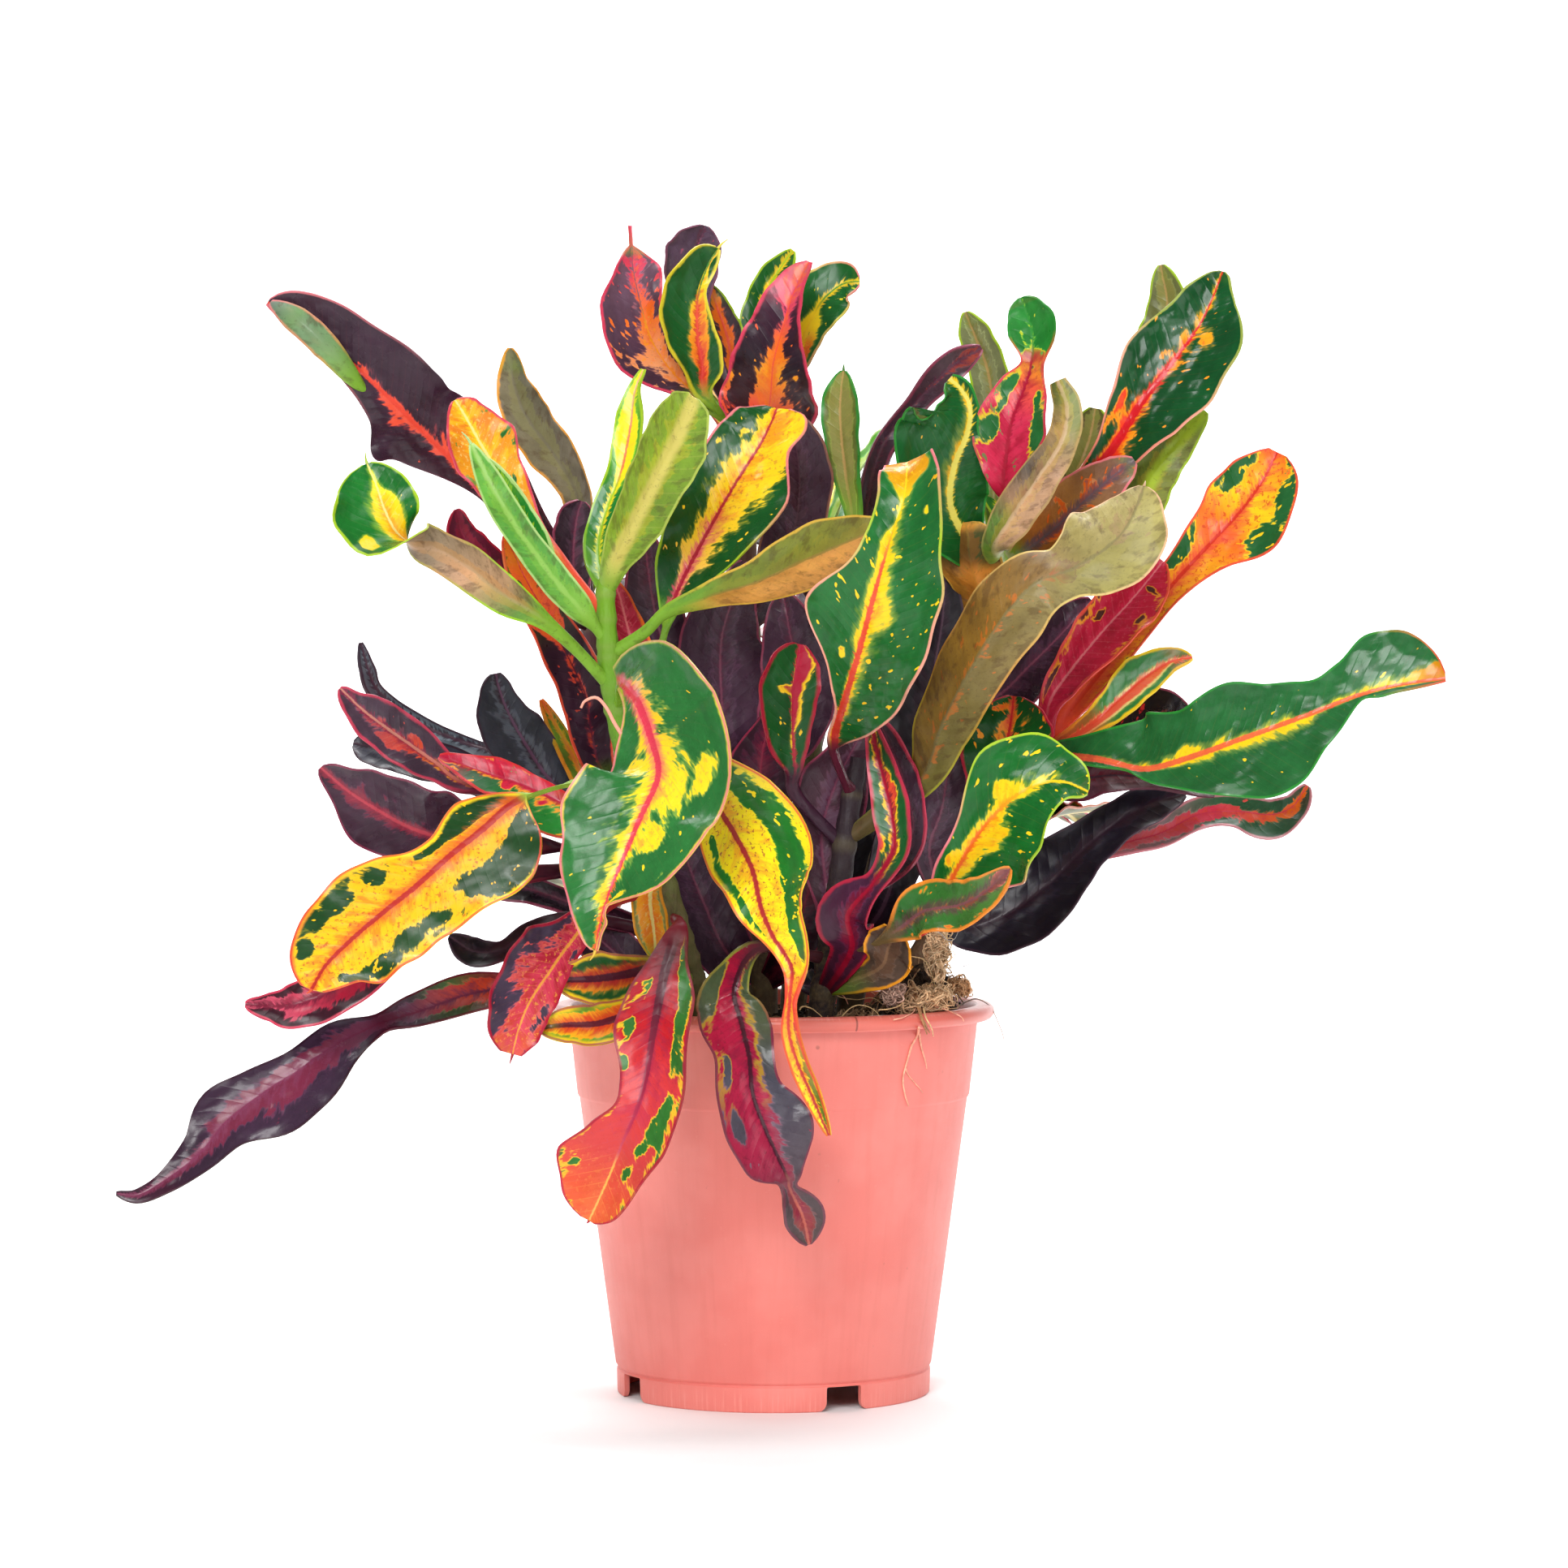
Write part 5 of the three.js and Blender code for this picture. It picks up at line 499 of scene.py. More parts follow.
# What single leaves do differently
OWN = dict(
    L01=dict(ground=[(0, MAROON), (0.5, PLUM), (0.8, "#35212f"), (1, "#44303c")], patch=CORAL, glow=CORAL,
        rib="#d8402e", left=[(0, 0.2), (0.3, 0.12), (0.6, 0.12), (0.7, 0)], right=0, rib_mm=1.1, glow_mm=[(0, 1.6),
        (0.6, 1.4), (0.7, 0.1)], edge=[(0, WINE), (0.6, PLUM), (1, PINK)], edge_mm=0.4),
    L01b=dict(edge=[(0, GREY), (0.4, "#e0705a"), (1, PINK)], edge_mm=1.0, gloss=0.7),
    L02=dict(patch=[(0, "#d8641c"), (0.5, "#e49a18"), (0.8, "#e07a1c"), (1, "#dc641c")], rib=CREAM, glow=YELLOW,
        glow_mm=2, blotch=0.2, edge=ROSE, edge_mm=0.9, ragged=0.5, blobs=[(0.47, 0.35, 0.04, 0.15, -1),
        (0.57, -0.15, 0.05, 0.1, -0.9), (0.64, 0.7, 0.06, 0.08, -1), (0.68, 0.35, 0.03, 0.1, -0.8),
        (0.5, -0.6, 0.05, 0.14, -0.9), (0.8, -0.5, 0.06, 0.1, -0.9)]),
    L03=dict(under=[(0, "#8fb453"), (0.35, "#5c9a3a"), (0.7, "#3c8c34"), (1, "#5aa03c")], gloss=0.75),
    L04=dict(ground=[(0, OLIVE), (0.55, MID), (0.7, "#176a24"), (1, "#176a24")], patch=[(0.6, AMBER), (0.7, YELLOW),
        (1, LEMON)], left=[(0.6, 0.3), (0.88, 0.2), (0.92, 0.02)], right=[(0.6, 0.4), (0.84, 0.5), (0.9, 0.05)],
        rib_mm=0.6, glow=AMBER, glow_mm=[(0.6, 3), (0.8, 1.5), (0.9, 0.1)], ragged=0.12, fleck=0.1,
        under=[(0, STALK), (0.2, "#3c6a2a"), (0.3, "#a98462"), (0.5, "#86745c"), (1, "#a08466")],
        under_right=[(0, STALK), (0.25, "#5c8a3a"), (0.38, "#c99c78"), (0.5, "#8c7a62"), (1, "#b08c6c")],
        edge=[(0, LIME), (0.3, "#9ad021"), (0.45, "#b98a5a"), (0.65, LIME), (1, LIME)], edge_mm=0.8,
        under_rib=[(0, "#7da04a"), (0.4, "#b08e6c"), (1, "#a08466")], keel_mm=0.8,
        blobs=[(0.72, -0.72, 0.03, 0.15, 1.0)], gloss=0.7),
    L05=dict(ground=WINE, patch="#7c1830", edge=CRIMSON),
    L06=dict(under=[(0, "#7c7468"), (0.5, "#675f4e"), (1, "#5f5c46")], under_right="#736a50", edge=[(0, "#c9a468"),
        (0.6, AMBER)], edge_mm=0.9, under_rib="#6b6450", keel_mm=0.8, bleed=0.3, blotch=0.3),
    L07=dict(ground="#372531"),
    L08=dict(ground=[(0, PLUM), (0.6, PLUM), (0.72, "#3d3a1c"), (1, "#37481c")], patch=[(0, WINE), (0.65, CORAL),
        (1, ORANGE)], left=[(0, 0), (0.6, 0.02), (0.68, 0.7), (1, 1.1)], right=[(0, 0), (0.6, 0.02), (0.7, 0.9),
        (1, 1.1)], rib=[(0, WINE), (0.6, WINE), (0.8, RED)], rib_mm=0.4, glow_mm=[(0, 0.1), (0.6, 0.3), (0.8, 2)],
        edge=CORAL, blotch=[(0, 0), (0.65, 0.2), (1, 0.4)], blobs=[(0.82, -0.4, 0.03, 0.2, -0.7),
        (0.9, 0.3, 0.04, 0.3, -0.9)]),
    L09=dict(ground=[(0, "#176423"), (0.42, "#1c7428"), (0.55, "#58a02a"), (1, "#6aa636")], left=[(0, 0),
        (0.42, 0.02), (0.5, 0.35), (0.6, 0.75), (0.85, 0.7), (1, 0.3)], right=[(0, 0), (0.42, 0.05), (0.5, 0.5),
        (0.7, 0.6), (0.8, 0.1)], rib_mm=0.6, rib=[(0, MID), (0.45, LIME), (0.52, "#e0664a"), (1, BLUSH)],
        edge=[(0, MID), (0.5, LIME)], ragged=0.25, fleck=0, glow=LEMON, gloss=0.85),
    L10=dict(under="#6c8c20", under_right="#82a026", under_rib="#d6c468", edge="#a9b84e"),
    L11=dict(under=[(0, STALK), (0.25, STALK), (0.34, "#cc9040"), (0.8, "#d8964a"), (1, "#c48c54")],
        under_right=[(0, STALK), (0.3, "#2c7a2a"), (0.42, "#6a7a24"), (0.8, "#7c7a2c"), (1, "#86702f")],
        edge="#dcae3c", edge_mm=0.8, under_rib="#80702f", keel_mm=0.6, bleed=0.05),
    L12=dict(ground=DEEP, patch=[(0, "#f2a890"), (0.35, "#f4b860"), (0.5, "#f8cc2c"), (0.7, YELLOW)], ragged=0.3,
        rib=CRIMSON, glow=[(0, ROSE), (0.5, "#e0506a"), (0.6, ORANGE)], glow_mm=[(0, 2.5), (0.55, 2.2),
        (0.65, 0.8)], rib_mm=0.8, left=[(0, 0.05), (0.32, 0.1), (0.45, 0.3), (0.6, 0.42), (0.75, 0.25), (1, 0.2)],
        right=[(0, 0.3), (0.32, 0.32), (0.6, 0.42), (0.68, 0.6), (0.76, 1.1)],
        blobs=[(0.73, -0.78, 0.02, 0.09, 0.8), (0.8, -0.5, 0.02, 0.09, 0.6), (0.86, -0.7, 0.02, 0.1, 0.7)],
        edge=[(0, MID), (0.5, LIME), (0.7, PINK), (1, PINK)], edge_mm=0.7),
    L13=dict(ground=[(0, MAROON), (0.4, DUSK), (0.7, MAUVE), (1, "#8a5a68")], ragged=0.5, rib_mm=0.3, glow_mm=0.4,
        patch=[(0, CORAL), (0.35, "#e59a68"), (0.55, ORANGE), (0.7, ROSE), (1, ROSE)], left=[(0, 0.1), (0.3, 0.25),
        (0.5, 0.3), (0.62, 0.05), (1, 0.1)], right=[(0, 0.4), (0.5, 0.5), (0.65, 0.1)], rib=[(0, ORANGE),
        (0.5, AMBER), (0.6, MAUVE)], edge_mm=1.1, blotch=0.35, fleck=0.5, blobs=[(0.42, -0.7, 0.02, 0.15, 0.6),
        (0.8, 0.5, 0.08, 0.3, 0.7)]),
    L14=dict(ground="#564056", patch=ROSE, left=0, right=0, rib="#4c3448", ragged=0.1,
        blobs=[(0.73, -0.5, 0.035, 0.13, 0.7)], edge="#7c4a60"),
    L15=dict(ground="#124f1c", patch=[(0, RED), (0.3, ORANGE), (0.5, AMBER), (0.7, YELLOW)], glow=RED,
        left=[(0, 0.25), (0.4, 0.22), (0.62, 0.1), (0.7, 0.0)], right=[(0, 0.2), (0.35, 0.3), (0.55, 0.6),
        (0.7, 1)], blobs=[(0.85, 0.5, 0.1, 0.6, -1.2)], rib=[(0, RED), (0.6, CORAL), (0.72, MID)], rib_mm=0.5,
        ragged=0.2, glow_mm=[(0, 2.2), (0.6, 1.2), (0.72, 0.1)], edge="#d8c62e", edge_mm=1.2, fleck=0.1, gloss=0.7),
    L17=dict(blobs=[(0.66, -0.7, 0.03, 0.2, 0.9)]),
    L18=dict(ground="#145a22", patch=[(0, CORAL), (0.32, ORANGE), (0.42, YELLOW), (1, LIME)], rib_mm=0.5,
        ragged=0.2, left=[(0, 1), (0.3, 0.6), (0.42, 0.4), (0.5, 0.05), (1, 0)], edge=[(0, PINK), (0.6, "#c9c050"),
        (1, PINK)], right=[(0, 1), (0.3, 0.6), (0.48, 0.45), (0.58, 0.02), (1, 0)], rib=[(0, CORAL), (0.5, YELLOW),
        (0.62, MID)]),
    L19=dict(ground=[(0, MAROON), (0.35, "#34161f"), (0.5, "#22131f"), (0.75, "#3a1c2e"), (1, ROSE)],
        patch=[(0, CORAL), (0.3, CORAL), (0.45, AMBER), (0.58, ORANGE), (0.72, ROSE), (1, "#c25068")],
        left=[(0, 0.4), (0.3, 0.6), (0.45, 0.4), (0.58, 0.05), (0.76, 0.05), (0.86, 1)], right=[(0, 0.4),
        (0.3, 0.4), (0.5, 0.3), (0.62, 0.2), (0.75, 0.5), (1, 1)], blobs=[(0.36, -0.65, 0.06, 0.2, -0.6),
        (0.33, -0.95, 0.12, 0.12, 0.9)], rib=CORAL, rib_mm=0.3, edge_mm=1.3, ragged=0.45, glow_mm=[(0, 3),
        (0.55, 2), (0.65, 0.2)]),
    L20=dict(ground="#43293a", patch="#50303f", glow="#3a1c2c", rib="#54303f", edge="#8a5a4a"),
    L21=dict(ground="#66702f", edge=MID, edge_mm=1.2, left=0.6, right=0.6, ragged=0.2),
    L22=dict(ground=[(0, "#2e1f2d"), (0.6, "#3c2c3c"), (0.85, "#4c3840"), (1, "#5a3038")], patch="#9c3a2c",
        left=[(0, 0), (0.78, 0), (0.9, 0.6)], right=[(0, 0), (0.78, 0), (0.9, 0.6)], blotch=0.3, rib="#5c3c4c"),
    L23=dict(ground="#7c8258", patch="#8a9064"),
    L24=dict(rib_mm=1.3, ground="#0f5220", patch="#dca414"),
    L25=dict(ground=[(0, "#2a5530"), (0.6, "#1c6a2c"), (0.7, "#1f7a2a"), (1, "#1f7a2a")], glow=CRIMSON,
        patch=[(0, "#c41440"), (0.4, "#d02c50"), (0.52, "#e4583a"), (0.61, AMBER), (0.66, CRIMSON), (0.7, LIME)],
        left=[(0, 1.1), (0.65, 1.1), (0.69, 0)], right=[(0, 1.1), (0.65, 1.1), (0.69, 0)], rim=[(0, YELLOW),
        (1, LIME)], rib=[(0, CRIMSON), (0.62, CRIMSON), (0.7, MID)], glow_mm=[(0, 1.5), (0.55, 1), (0.62, 0.1)],
        blobs=[(0.35, -0.5, 0.04, 0.24, -1.4), (0.5, -0.55, 0.05, 0.2, -1.4), (0.43, -0.4, 0.025, 0.16, -1.1),
        (0.37, 0.78, 0.05, 0.2, -1.4), (0.6, 0.1, 0.025, 0.26, -1.2), (0.47, 0.6, 0.04, 0.16, -1.2),
        (0.78, -0.5, 0.1, 0.09, 0.8)], edge=[(0, CRIMSON), (0.5, ROSE), (0.66, CORAL), (0.75, MID)], ragged=0.45,
        fleck=0.2),
    L26=dict(under=[(0, "#a8846a"), (0.3, "#c49a76"), (0.55, "#b58c6a"), (0.75, "#7c8040"), (1, "#8a8a50")],
        edge=TAN, under_right=[(0, OLIVE), (0.28, "#5c7a34"), (0.38, "#a07c5e"), (0.5, "#6a5f56"), (0.7, "#b09060"),
        (1, OLIVE)], under_rib="#c8a884", keel_mm=0.8),
    L27=dict(ground="#5c5230", under="#5c5230"),
    L28=dict(ground=[(0, "#5a4020"), (0.25, "#b06a30"), (0.5, "#a0703c"), (0.7, "#8c6448"), (0.85, "#86604e"),
        (1, "#8c8a62")], left=0.05, right=0.02, rib="#6a5560", rib_mm=0.5, glow="#5c4a58", glow_mm=2.6, edge=PINK,
        ragged=0.55, blobs=[(0.42, -0.6, 0.03, 0.28, 1.1), (0.35, 0.2, 0.07, 0.2, 0.7),
        (0.85, -0.2, 0.06, 0.16, 0.8), (0.65, -0.35, 0.04, 0.12, 0.6)]),
    L29=dict(ground="#0d4820", patch=[(0, "#e83418"), (0.6, "#ea4a1a"), (0.68, AMBER), (1, YELLOW)], rib="#c81424",
        glow="#e4301a", glow_mm=[(0, 3), (0.5, 2.4), (0.66, 1.2), (0.75, 0.2)], rib_mm=[(0, 1.7), (0.5, 1.5),
        (0.72, 0.6)], left=[(0, 0.45), (0.35, 0.32), (0.5, 0.14), (0.6, 0.03), (1, 0.02)], rim=AMBER,
        right=[(0, 0.4), (0.3, 0.26), (0.46, 0.12), (0.58, 0.03), (1, 0.02)], ragged=0.3, fleck=0.2,
        blobs=[(0.7, 0.32, 0.025, 0.12, 0.9), (0.6, -0.3, 0.02, 0.1, 0.5), (0.42, -0.62, 0.05, 0.14, 0.8),
        (0.34, -0.85, 0.05, 0.12, 0.7), (0.79, 0.35, 0.015, 0.08, 0.7), (0.43, 0.7, 0.03, 0.12, 0.7)],
        edge=[(0, CORAL), (0.5, BLUSH), (0.7, "#9aa84a")], gloss=0.9),
    L30=dict(ground="#6c7040"),
    L31=dict(under="#7c8438", under_right="#6a7a2f", under_rib=LIME),
    L32=dict(ground="#1d5a2a", patch=[(0, ORANGE), (0.45, AMBER), (0.6, AMBER), (0.68, ORANGE), (0.8, YELLOW),
        (1, ORANGE)], rib="#c82a1c", glow=CORAL, rib_mm=0.9, ragged=0.6, fleck=0.4, glow_mm=[(0, 5), (0.5, 3),
        (1, 1)], blobs=[(0.56, -0.75, 0.05, 0.4, -1.4), (0.82, -0.6, 0.05, 0.16, -1.2),
        (0.9, -0.75, 0.05, 0.22, -1.1), (0.74, 0.72, 0.05, 0.28, -1.4), (0.87, 0.72, 0.06, 0.28, -1.3)], rim=YELLOW,
        blotch=0.24),
    L33=dict(fleck=0.02, ground=[(0, "#4a0c1c"), (1, "#4f2a1c")], patch=[(0, "#980f33"), (0.5, "#bb1738"),
        (1, "#c41a34")], edge=[(0, ROSE), (0.7, CORAL)], rib_mm=0.5, edge_mm=0.9, rim=AMBER, glow="#d3284a",
        right=1.1, blobs=[(0.87, 0.25, 0.02, 0.35, -1.2), (0.65, -0.45, 0.04, 0.1, -1.0),
        (0.75, 0.6, 0.03, 0.15, -0.8), (0.3, -0.6, 0.1, 0.12, -0.8)]),
    L34=dict(stalk="#5c4c30", under=[(0, "#75702f"), (0.35, "#7c6a3c"), (0.55, "#857644"), (0.65, "#958c4c"),
        (1, "#a89c58")], bleed=0.4, under_right=[(0, "#7c6a34"), (0.35, "#946c26"), (0.55, "#7c6036"),
        (0.68, "#988a4e"), (1, "#aa9c66")], patch=[(0, ORANGE), (0.5, ORANGE), (0.6, "#6a3a3c"), (1, "#b08a6a")],
        left=0, right=0, ragged=0.5, fleck=0.3, blobs=[(0.35, 0.95, 0.12, 0.3, 0.7), (0.51, -0.55, 0.05, 0.14, 0.8),
        (0.6, -0.1, 0.025, 0.5, 0.9)], under_rib="#7a7048", keel_mm=0.7, edge=[(0, LIME), (0.3, "#c98a3a"),
        (0.6, "#d8c070"), (0.8, "#e0b08a"), (1, "#e0b48c")]),
    # L35: the darker amber from share 0.78 to the tip is painted shade against the strong light on the tip, over its
    # own yellow; its greyish ground is partly painted sheen
    L35=dict(ground="#1b6229", patch=[(0, AMBER), (0.3, YELLOW), (0.78, YELLOW), (0.85, "#d0960f"), (1, "#c88410")],
        fleck=0.3, ragged=0.13, left=[(0, 0.5), (0.13, 0.85), (0.2, 0.28), (0.3, 0.1), (0.5, 0.08), (0.6, 0.14),
        (0.66, 0.3), (0.71, 0.02), (0.77, 0.12), (0.83, 0.5), (0.92, 0.9)], right=[(0, 0.15), (0.2, 0.12),
        (0.36, 0.08), (0.42, 0.16), (0.48, 0.32), (0.54, 0.14), (0.7, 0.05), (0.78, 0.02), (0.84, 0.3),
        (0.92, 0.7)], rib=[(0, RED), (0.6, CORAL), (0.72, YELLOW), (1, YELLOW)], rib_mm=[(0, 1.3), (0.5, 1.1),
        (0.7, 0.4)], glow=[(0, ORANGE), (0.6, ORANGE), (0.75, YELLOW), (0.86, "#c4740c")], glow_mm=[(0, 2.2),
        (0.3, 1.4), (0.7, 0.3)], blobs=[(0.34, -0.45, 0.015, 0.1, 0.8), (0.62, 0.55, 0.012, 0.08, 0.7),
        (0.76, 0.6, 0.015, 0.12, 0.8), (0.7, 0.9, 0.03, 0.12, 0.8)], edge=[(0, BLUSH), (0.5, BLUSH), (0.7, LIME),
        (0.9, PINK)], edge_mm=0.5, stalk="#5a2032", gloss=0.8),
    L36=dict(under=[(0, "#b87c22"), (0.42, "#bc7c2c"), (0.52, "#3e4620"), (0.78, "#4c5026"), (0.9, "#c89038")],
        edge="#d8a844", under_rib=[(0, "#b87c28"), (0.45, "#b5762a"), (0.56, "#454a22"), (1, "#b88434")],
        keel_mm=0.5),
    L37=dict(ground=PLUM, patch=DUSK),
    L38=dict(ground=[(0, MID), (1, "#3a7a44")], patch=[(0, CORAL), (0.6, "#e9694a"), (0.9, AMBER)], rib="#e84a34",
        edge=YELLOW, left=[(0, 0.2), (0.5, 0.18), (0.9, 0.1), (1, 0)], right=[(0, 0.5), (0.4, 0.6), (0.75, 0.5),
        (0.9, 0.1)], rim=CREAM, glow="#ea5f40", ragged=0.12, fleck=0, blotch=0, edge_mm=1, stalk=CORAL),
    L39=dict(ground=NIGHT, patch=RED, left=0.0, right=0.0, fleck=0.3),
    # L40: its tip darkens to amber from share 0.85, partly its own orange-yellow and partly painted shade against the
    # strong light on it; its greyish ground is partly painted sheen
    L40=dict(ground="#22602f", patch=[(0, YELLOW), (0.85, YELLOW), (0.92, "#cc9010"), (1, "#c07808")], left=[(0, 0),
        (0.2, 0.05), (0.6, 0.07), (0.86, 0.08), (0.94, 0.4), (1, 1)], right=[(0, 0), (0.22, 0.05), (0.27, 0.13),
        (0.5, 0.09), (0.65, 0.06), (1, 0.4)], rib="#e2583c", glow=[(0, YELLOW), (0.85, YELLOW), (0.93, "#c4740c")],
        glow_mm=0.1, rib_mm=1.1, fleck=0.1, ragged=0.14, blobs=[(0.3, -0.18, 0.02, 0.1, 0.35)], edge=[(0, MID),
        (0.8, MID), (1, CORAL)], edge_mm=0.5, stalk="#5a2032", gloss=0.8),
    L41=dict(ground="#4e2c38", patch="#64404e", rib=DUSK, edge=WINE, ragged=0.2),
    L42=dict(ground=[(0, "#8a8078"), (0.45, "#7c6f70"), (0.62, "#2c5a3a"), (1, "#2c4a38")], fleck=0.2,
        patch=[(0, "#e8857c"), (0.4, "#d96a74"), (0.6, "#d93650"), (0.85, ORANGE)], rib_mm=0.3, glow_mm=0.5,
        rib=ROSE, left=[(0, 0.8), (0.5, 0.4), (0.7, 0.1)], right=[(0, 0.8), (0.5, 0.6), (0.75, 0.3)],
        edge="#c9808a", blobs=[(0.63, -0.2, 0.03, 0.25, 0.8), (0.87, 0.1, 0.03, 0.3, 0.8)], edge_mm=0.8),
    L43=dict(ground="#191420", rib="#33242f"),
    L44=dict(ground="#126022", patch=[(0, AMBER), (0.4, YELLOW), (1, YELLOW)], ragged=0.25, rib_mm=0.8,
        left=[(0, 0.1), (0.2, 0.12), (0.38, 0.3), (0.5, 0.28), (0.6, 0.15), (0.8, 0.03)], right=[(0, 0.1),
        (0.3, 0.2), (0.45, 0.25), (0.52, 0.38), (0.6, 0.1), (0.8, 0.02)], rib=[(0, RED), (0.5, ORANGE),
        (0.8, YELLOW)], glow=[(0, CORAL), (0.5, ORANGE), (0.8, YELLOW)], glow_mm=[(0, 2), (0.6, 1), (0.8, 0.3)],
        blobs=[(0.62, -0.32, 0.025, 0.13, 1), (0.4, -0.55, 0.02, 0.2, 0.8), (0.88, 0.6, 0.02, 0.13, 0.9),
        (0.93, 0.9, 0.02, 0.15, 0.9), (0.65, -0.85, 0.014, 0.08, 0.9), (0.72, -0.68, 0.014, 0.08, 0.9),
        (0.8, -0.9, 0.02, 0.1, 0.9), (0.86, -0.6, 0.014, 0.08, 0.8), (0.92, -0.8, 0.02, 0.1, 0.8)], edge=[(0, ROSE),
        (0.45, PINK), (0.6, LIME)], stalk=RED, gloss=0.8),
    L45=dict(ground=[(0, "#1d6a2c"), (0.7, "#3a6a2c"), (1, "#5a7a3a")], patch=[(0, AMBER), (0.8, ORANGE),
        (1, PINK)], left=0.02, right=0.02, edge="#e8862a", edge_mm=1.2, rib="#7a4a50", rib_mm=0.6, glow="#5a3c40",
        glow_mm=3.4, stalk="#6a5a3a", blobs=[(0.57, 0.8, 0.04, 0.2, 1), (0.35, 0.85, 0.08, 0.15, 0.8),
        (0.75, 0.8, 0.08, 0.18, 0.8), (0.42, -0.75, 0.03, 0.2, 0.9), (0.93, 0, 0.05, 0.8, 1)]),
    L46=dict(patch=[(0, YELLOW), (0.5, AMBER), (1, ORANGE)], left=0.1, right=0.12, edge=CRIMSON, edge_mm=1.1,
        blobs=[(0.88, -0.6, 0.05, 0.3, 0.8), (0.75, -0.1, 0.04, 0.1, 0.7)]),
    L47=dict(stalk=PLUM, edge_mm=1.5, left=[(0, 0), (0.5, 0.02), (1, 0)], right=[(0, 0), (0.5, 0.1), (0.58, 0.35),
        (0.75, 0.45), (0.88, 0.8)], blobs=[(0.71, -0.4, 0.02, 0.5, 0.7)]),
    L48=dict(ground=[(0, "#4a1e34"), (0.45, "#44203a"), (0.52, "#1c5a2a"), (1, "#1c5a2a")], rim=[(0, "#6a1a38"),
        (0.44, "#6a1a38"), (0.54, YELLOW), (1, YELLOW)], patch=[(0, "#7a1a38"), (0.42, "#8a1c3a"), (0.54, CORAL),
        (0.62, ORANGE), (0.75, CORAL)], rib=CRIMSON, edge=[(0, CRIMSON), (1, ROSE)], edge_mm=1.3, left=[(0, 0.3),
        (0.5, 0.25), (1, 0.3)], right=0.3, rib_mm=0.9, blobs=[(0.58, -0.8, 0.06, 0.2, 0.9),
        (0.78, 0.3, 0.06, 0.3, 0.5)]),
    L49=dict(stalk=PLUM, edge=ROSE, edge_mm=1),
    L50=dict(ground="#4c303c", patch=MAUVE),
    L51=dict(ground="#54443a", patch="#664c3c", glow="#6a5040", rib="#8a6a50", under="#54443a", edge=AMBER,
        edge_mm=1),
    L52=dict(ground=[(0, "#1d6e24"), (0.55, "#226e26"), (0.66, "#7a3a3c"), (0.72, "#b03040"), (0.8, "#3f8a2c"),
        (1, "#2f7a2c")], patch=LEMON, left=[(0, 1.1), (0.62, 1.1), (0.68, 0.6), (0.78, 0.45), (1, 0.2)],
        right=[(0, 1.1), (0.58, 1.1), (0.66, 0.35), (0.76, 1.2), (0.94, 1.2), (1, 0.1)], ragged=0.36, blotch=0.08,
        rib=CRIMSON, rib_mm=1.0, glow="#f08a2a", glow_mm=[(0, 2.2), (0.5, 1.3), (1, 1)], edge=[(0, YELLOW),
        (0.55, LEMON), (0.66, CORAL), (1, LEMON)], edge_mm=[(0, 2.0), (0.55, 2.0), (0.7, 0.7), (1, 0.6)],
        hem=[(0, "#e8503a"), (0.5, "#dc3a34"), (1, RED)], stalk=CORAL, fleck=0.45,
        blobs=[(0.15, -0.66, 0.05, 0.2, -1.5), (0.22, -0.56, 0.04, 0.17, -1.4), (0.29, -0.64, 0.045, 0.17, -1.5),
        (0.37, -0.6, 0.05, 0.18, -1.5), (0.45, -0.64, 0.05, 0.2, -1.5), (0.53, -0.7, 0.05, 0.24, -1.7),
        (0.24, 0.64, 0.03, 0.1, -1.2), (0.32, 0.74, 0.045, 0.11, -1.3), (0.41, 0.6, 0.05, 0.16, -1.4),
        (0.5, 0.62, 0.04, 0.16, -1.4)]),
    # L53: its greyish green ground is partly painted sheen
    L53=dict(ground="#276a30", patch=[(0, "#efae7a"), (0.28, "#f4be24"), (0.5, "#f4d424"), (1, YELLOW)], ragged=0.3,
        rib="#cf2f4a", fleck=0.16, left=[(0, 0.1), (0.2, 0.14), (0.3, 0.18), (0.42, 0.28), (0.52, 0.3), (0.6, 0.1),
        (0.8, 0.03), (1, 0.02)], right=[(0, 0.26), (0.25, 0.3), (0.36, 0.34), (0.5, 0.2), (0.75, 0.16),
        (0.85, 0.06), (1, 0.02)], glow=[(0, ROSE), (0.3, "#e8506a"), (0.48, "#ee7a4a"), (0.7, ORANGE)],
        glow_mm=[(0, 3.4), (0.35, 3.4), (0.5, 2.4), (0.7, 1.0)], rib_mm=[(0, 1.5), (0.6, 1.2), (0.8, 0.6)],
        edge=[(0, "#d8b02a"), (0.15, LIME), (0.45, "#e6d24a"), (1, "#f0c04a")], hem=[(0, LIME), (0.3, PINK),
        (1, "#e0607a")], blobs=[(0.6, -0.3, 0.03, 0.12, 1.0), (0.4, 0.5, 0.035, 0.12, 0.8),
        (0.45, -0.7, 0.03, 0.12, 1.0), (0.7, -0.75, 0.08, 0.1, 0.8), (0.47, 0.9, 0.05, 0.1, 0.7),
        (0.78, -0.5, 0.04, 0.12, 0.9)], edge_mm=1.2, gloss=0.7),
    L54=dict(ground="#123e14", patch=[(0, "#e89a1c"), (0.3, "#eeb20e"), (1, "#eebc0a")], ragged=0.42, blotch=0.18,
        rib="#a81a22", glow="#de601c", fleck=0.34, left=1.05, right=1.05, glow_mm=[(0, 5.5), (0.4, 4.2), (1, 2.2)],
        rib_mm=1.3, edge=[(0, YELLOW), (0.5, LEMON), (0.8, AMBER), (1, CORAL)], edge_mm=1.7, hem=[(0, CORAL),
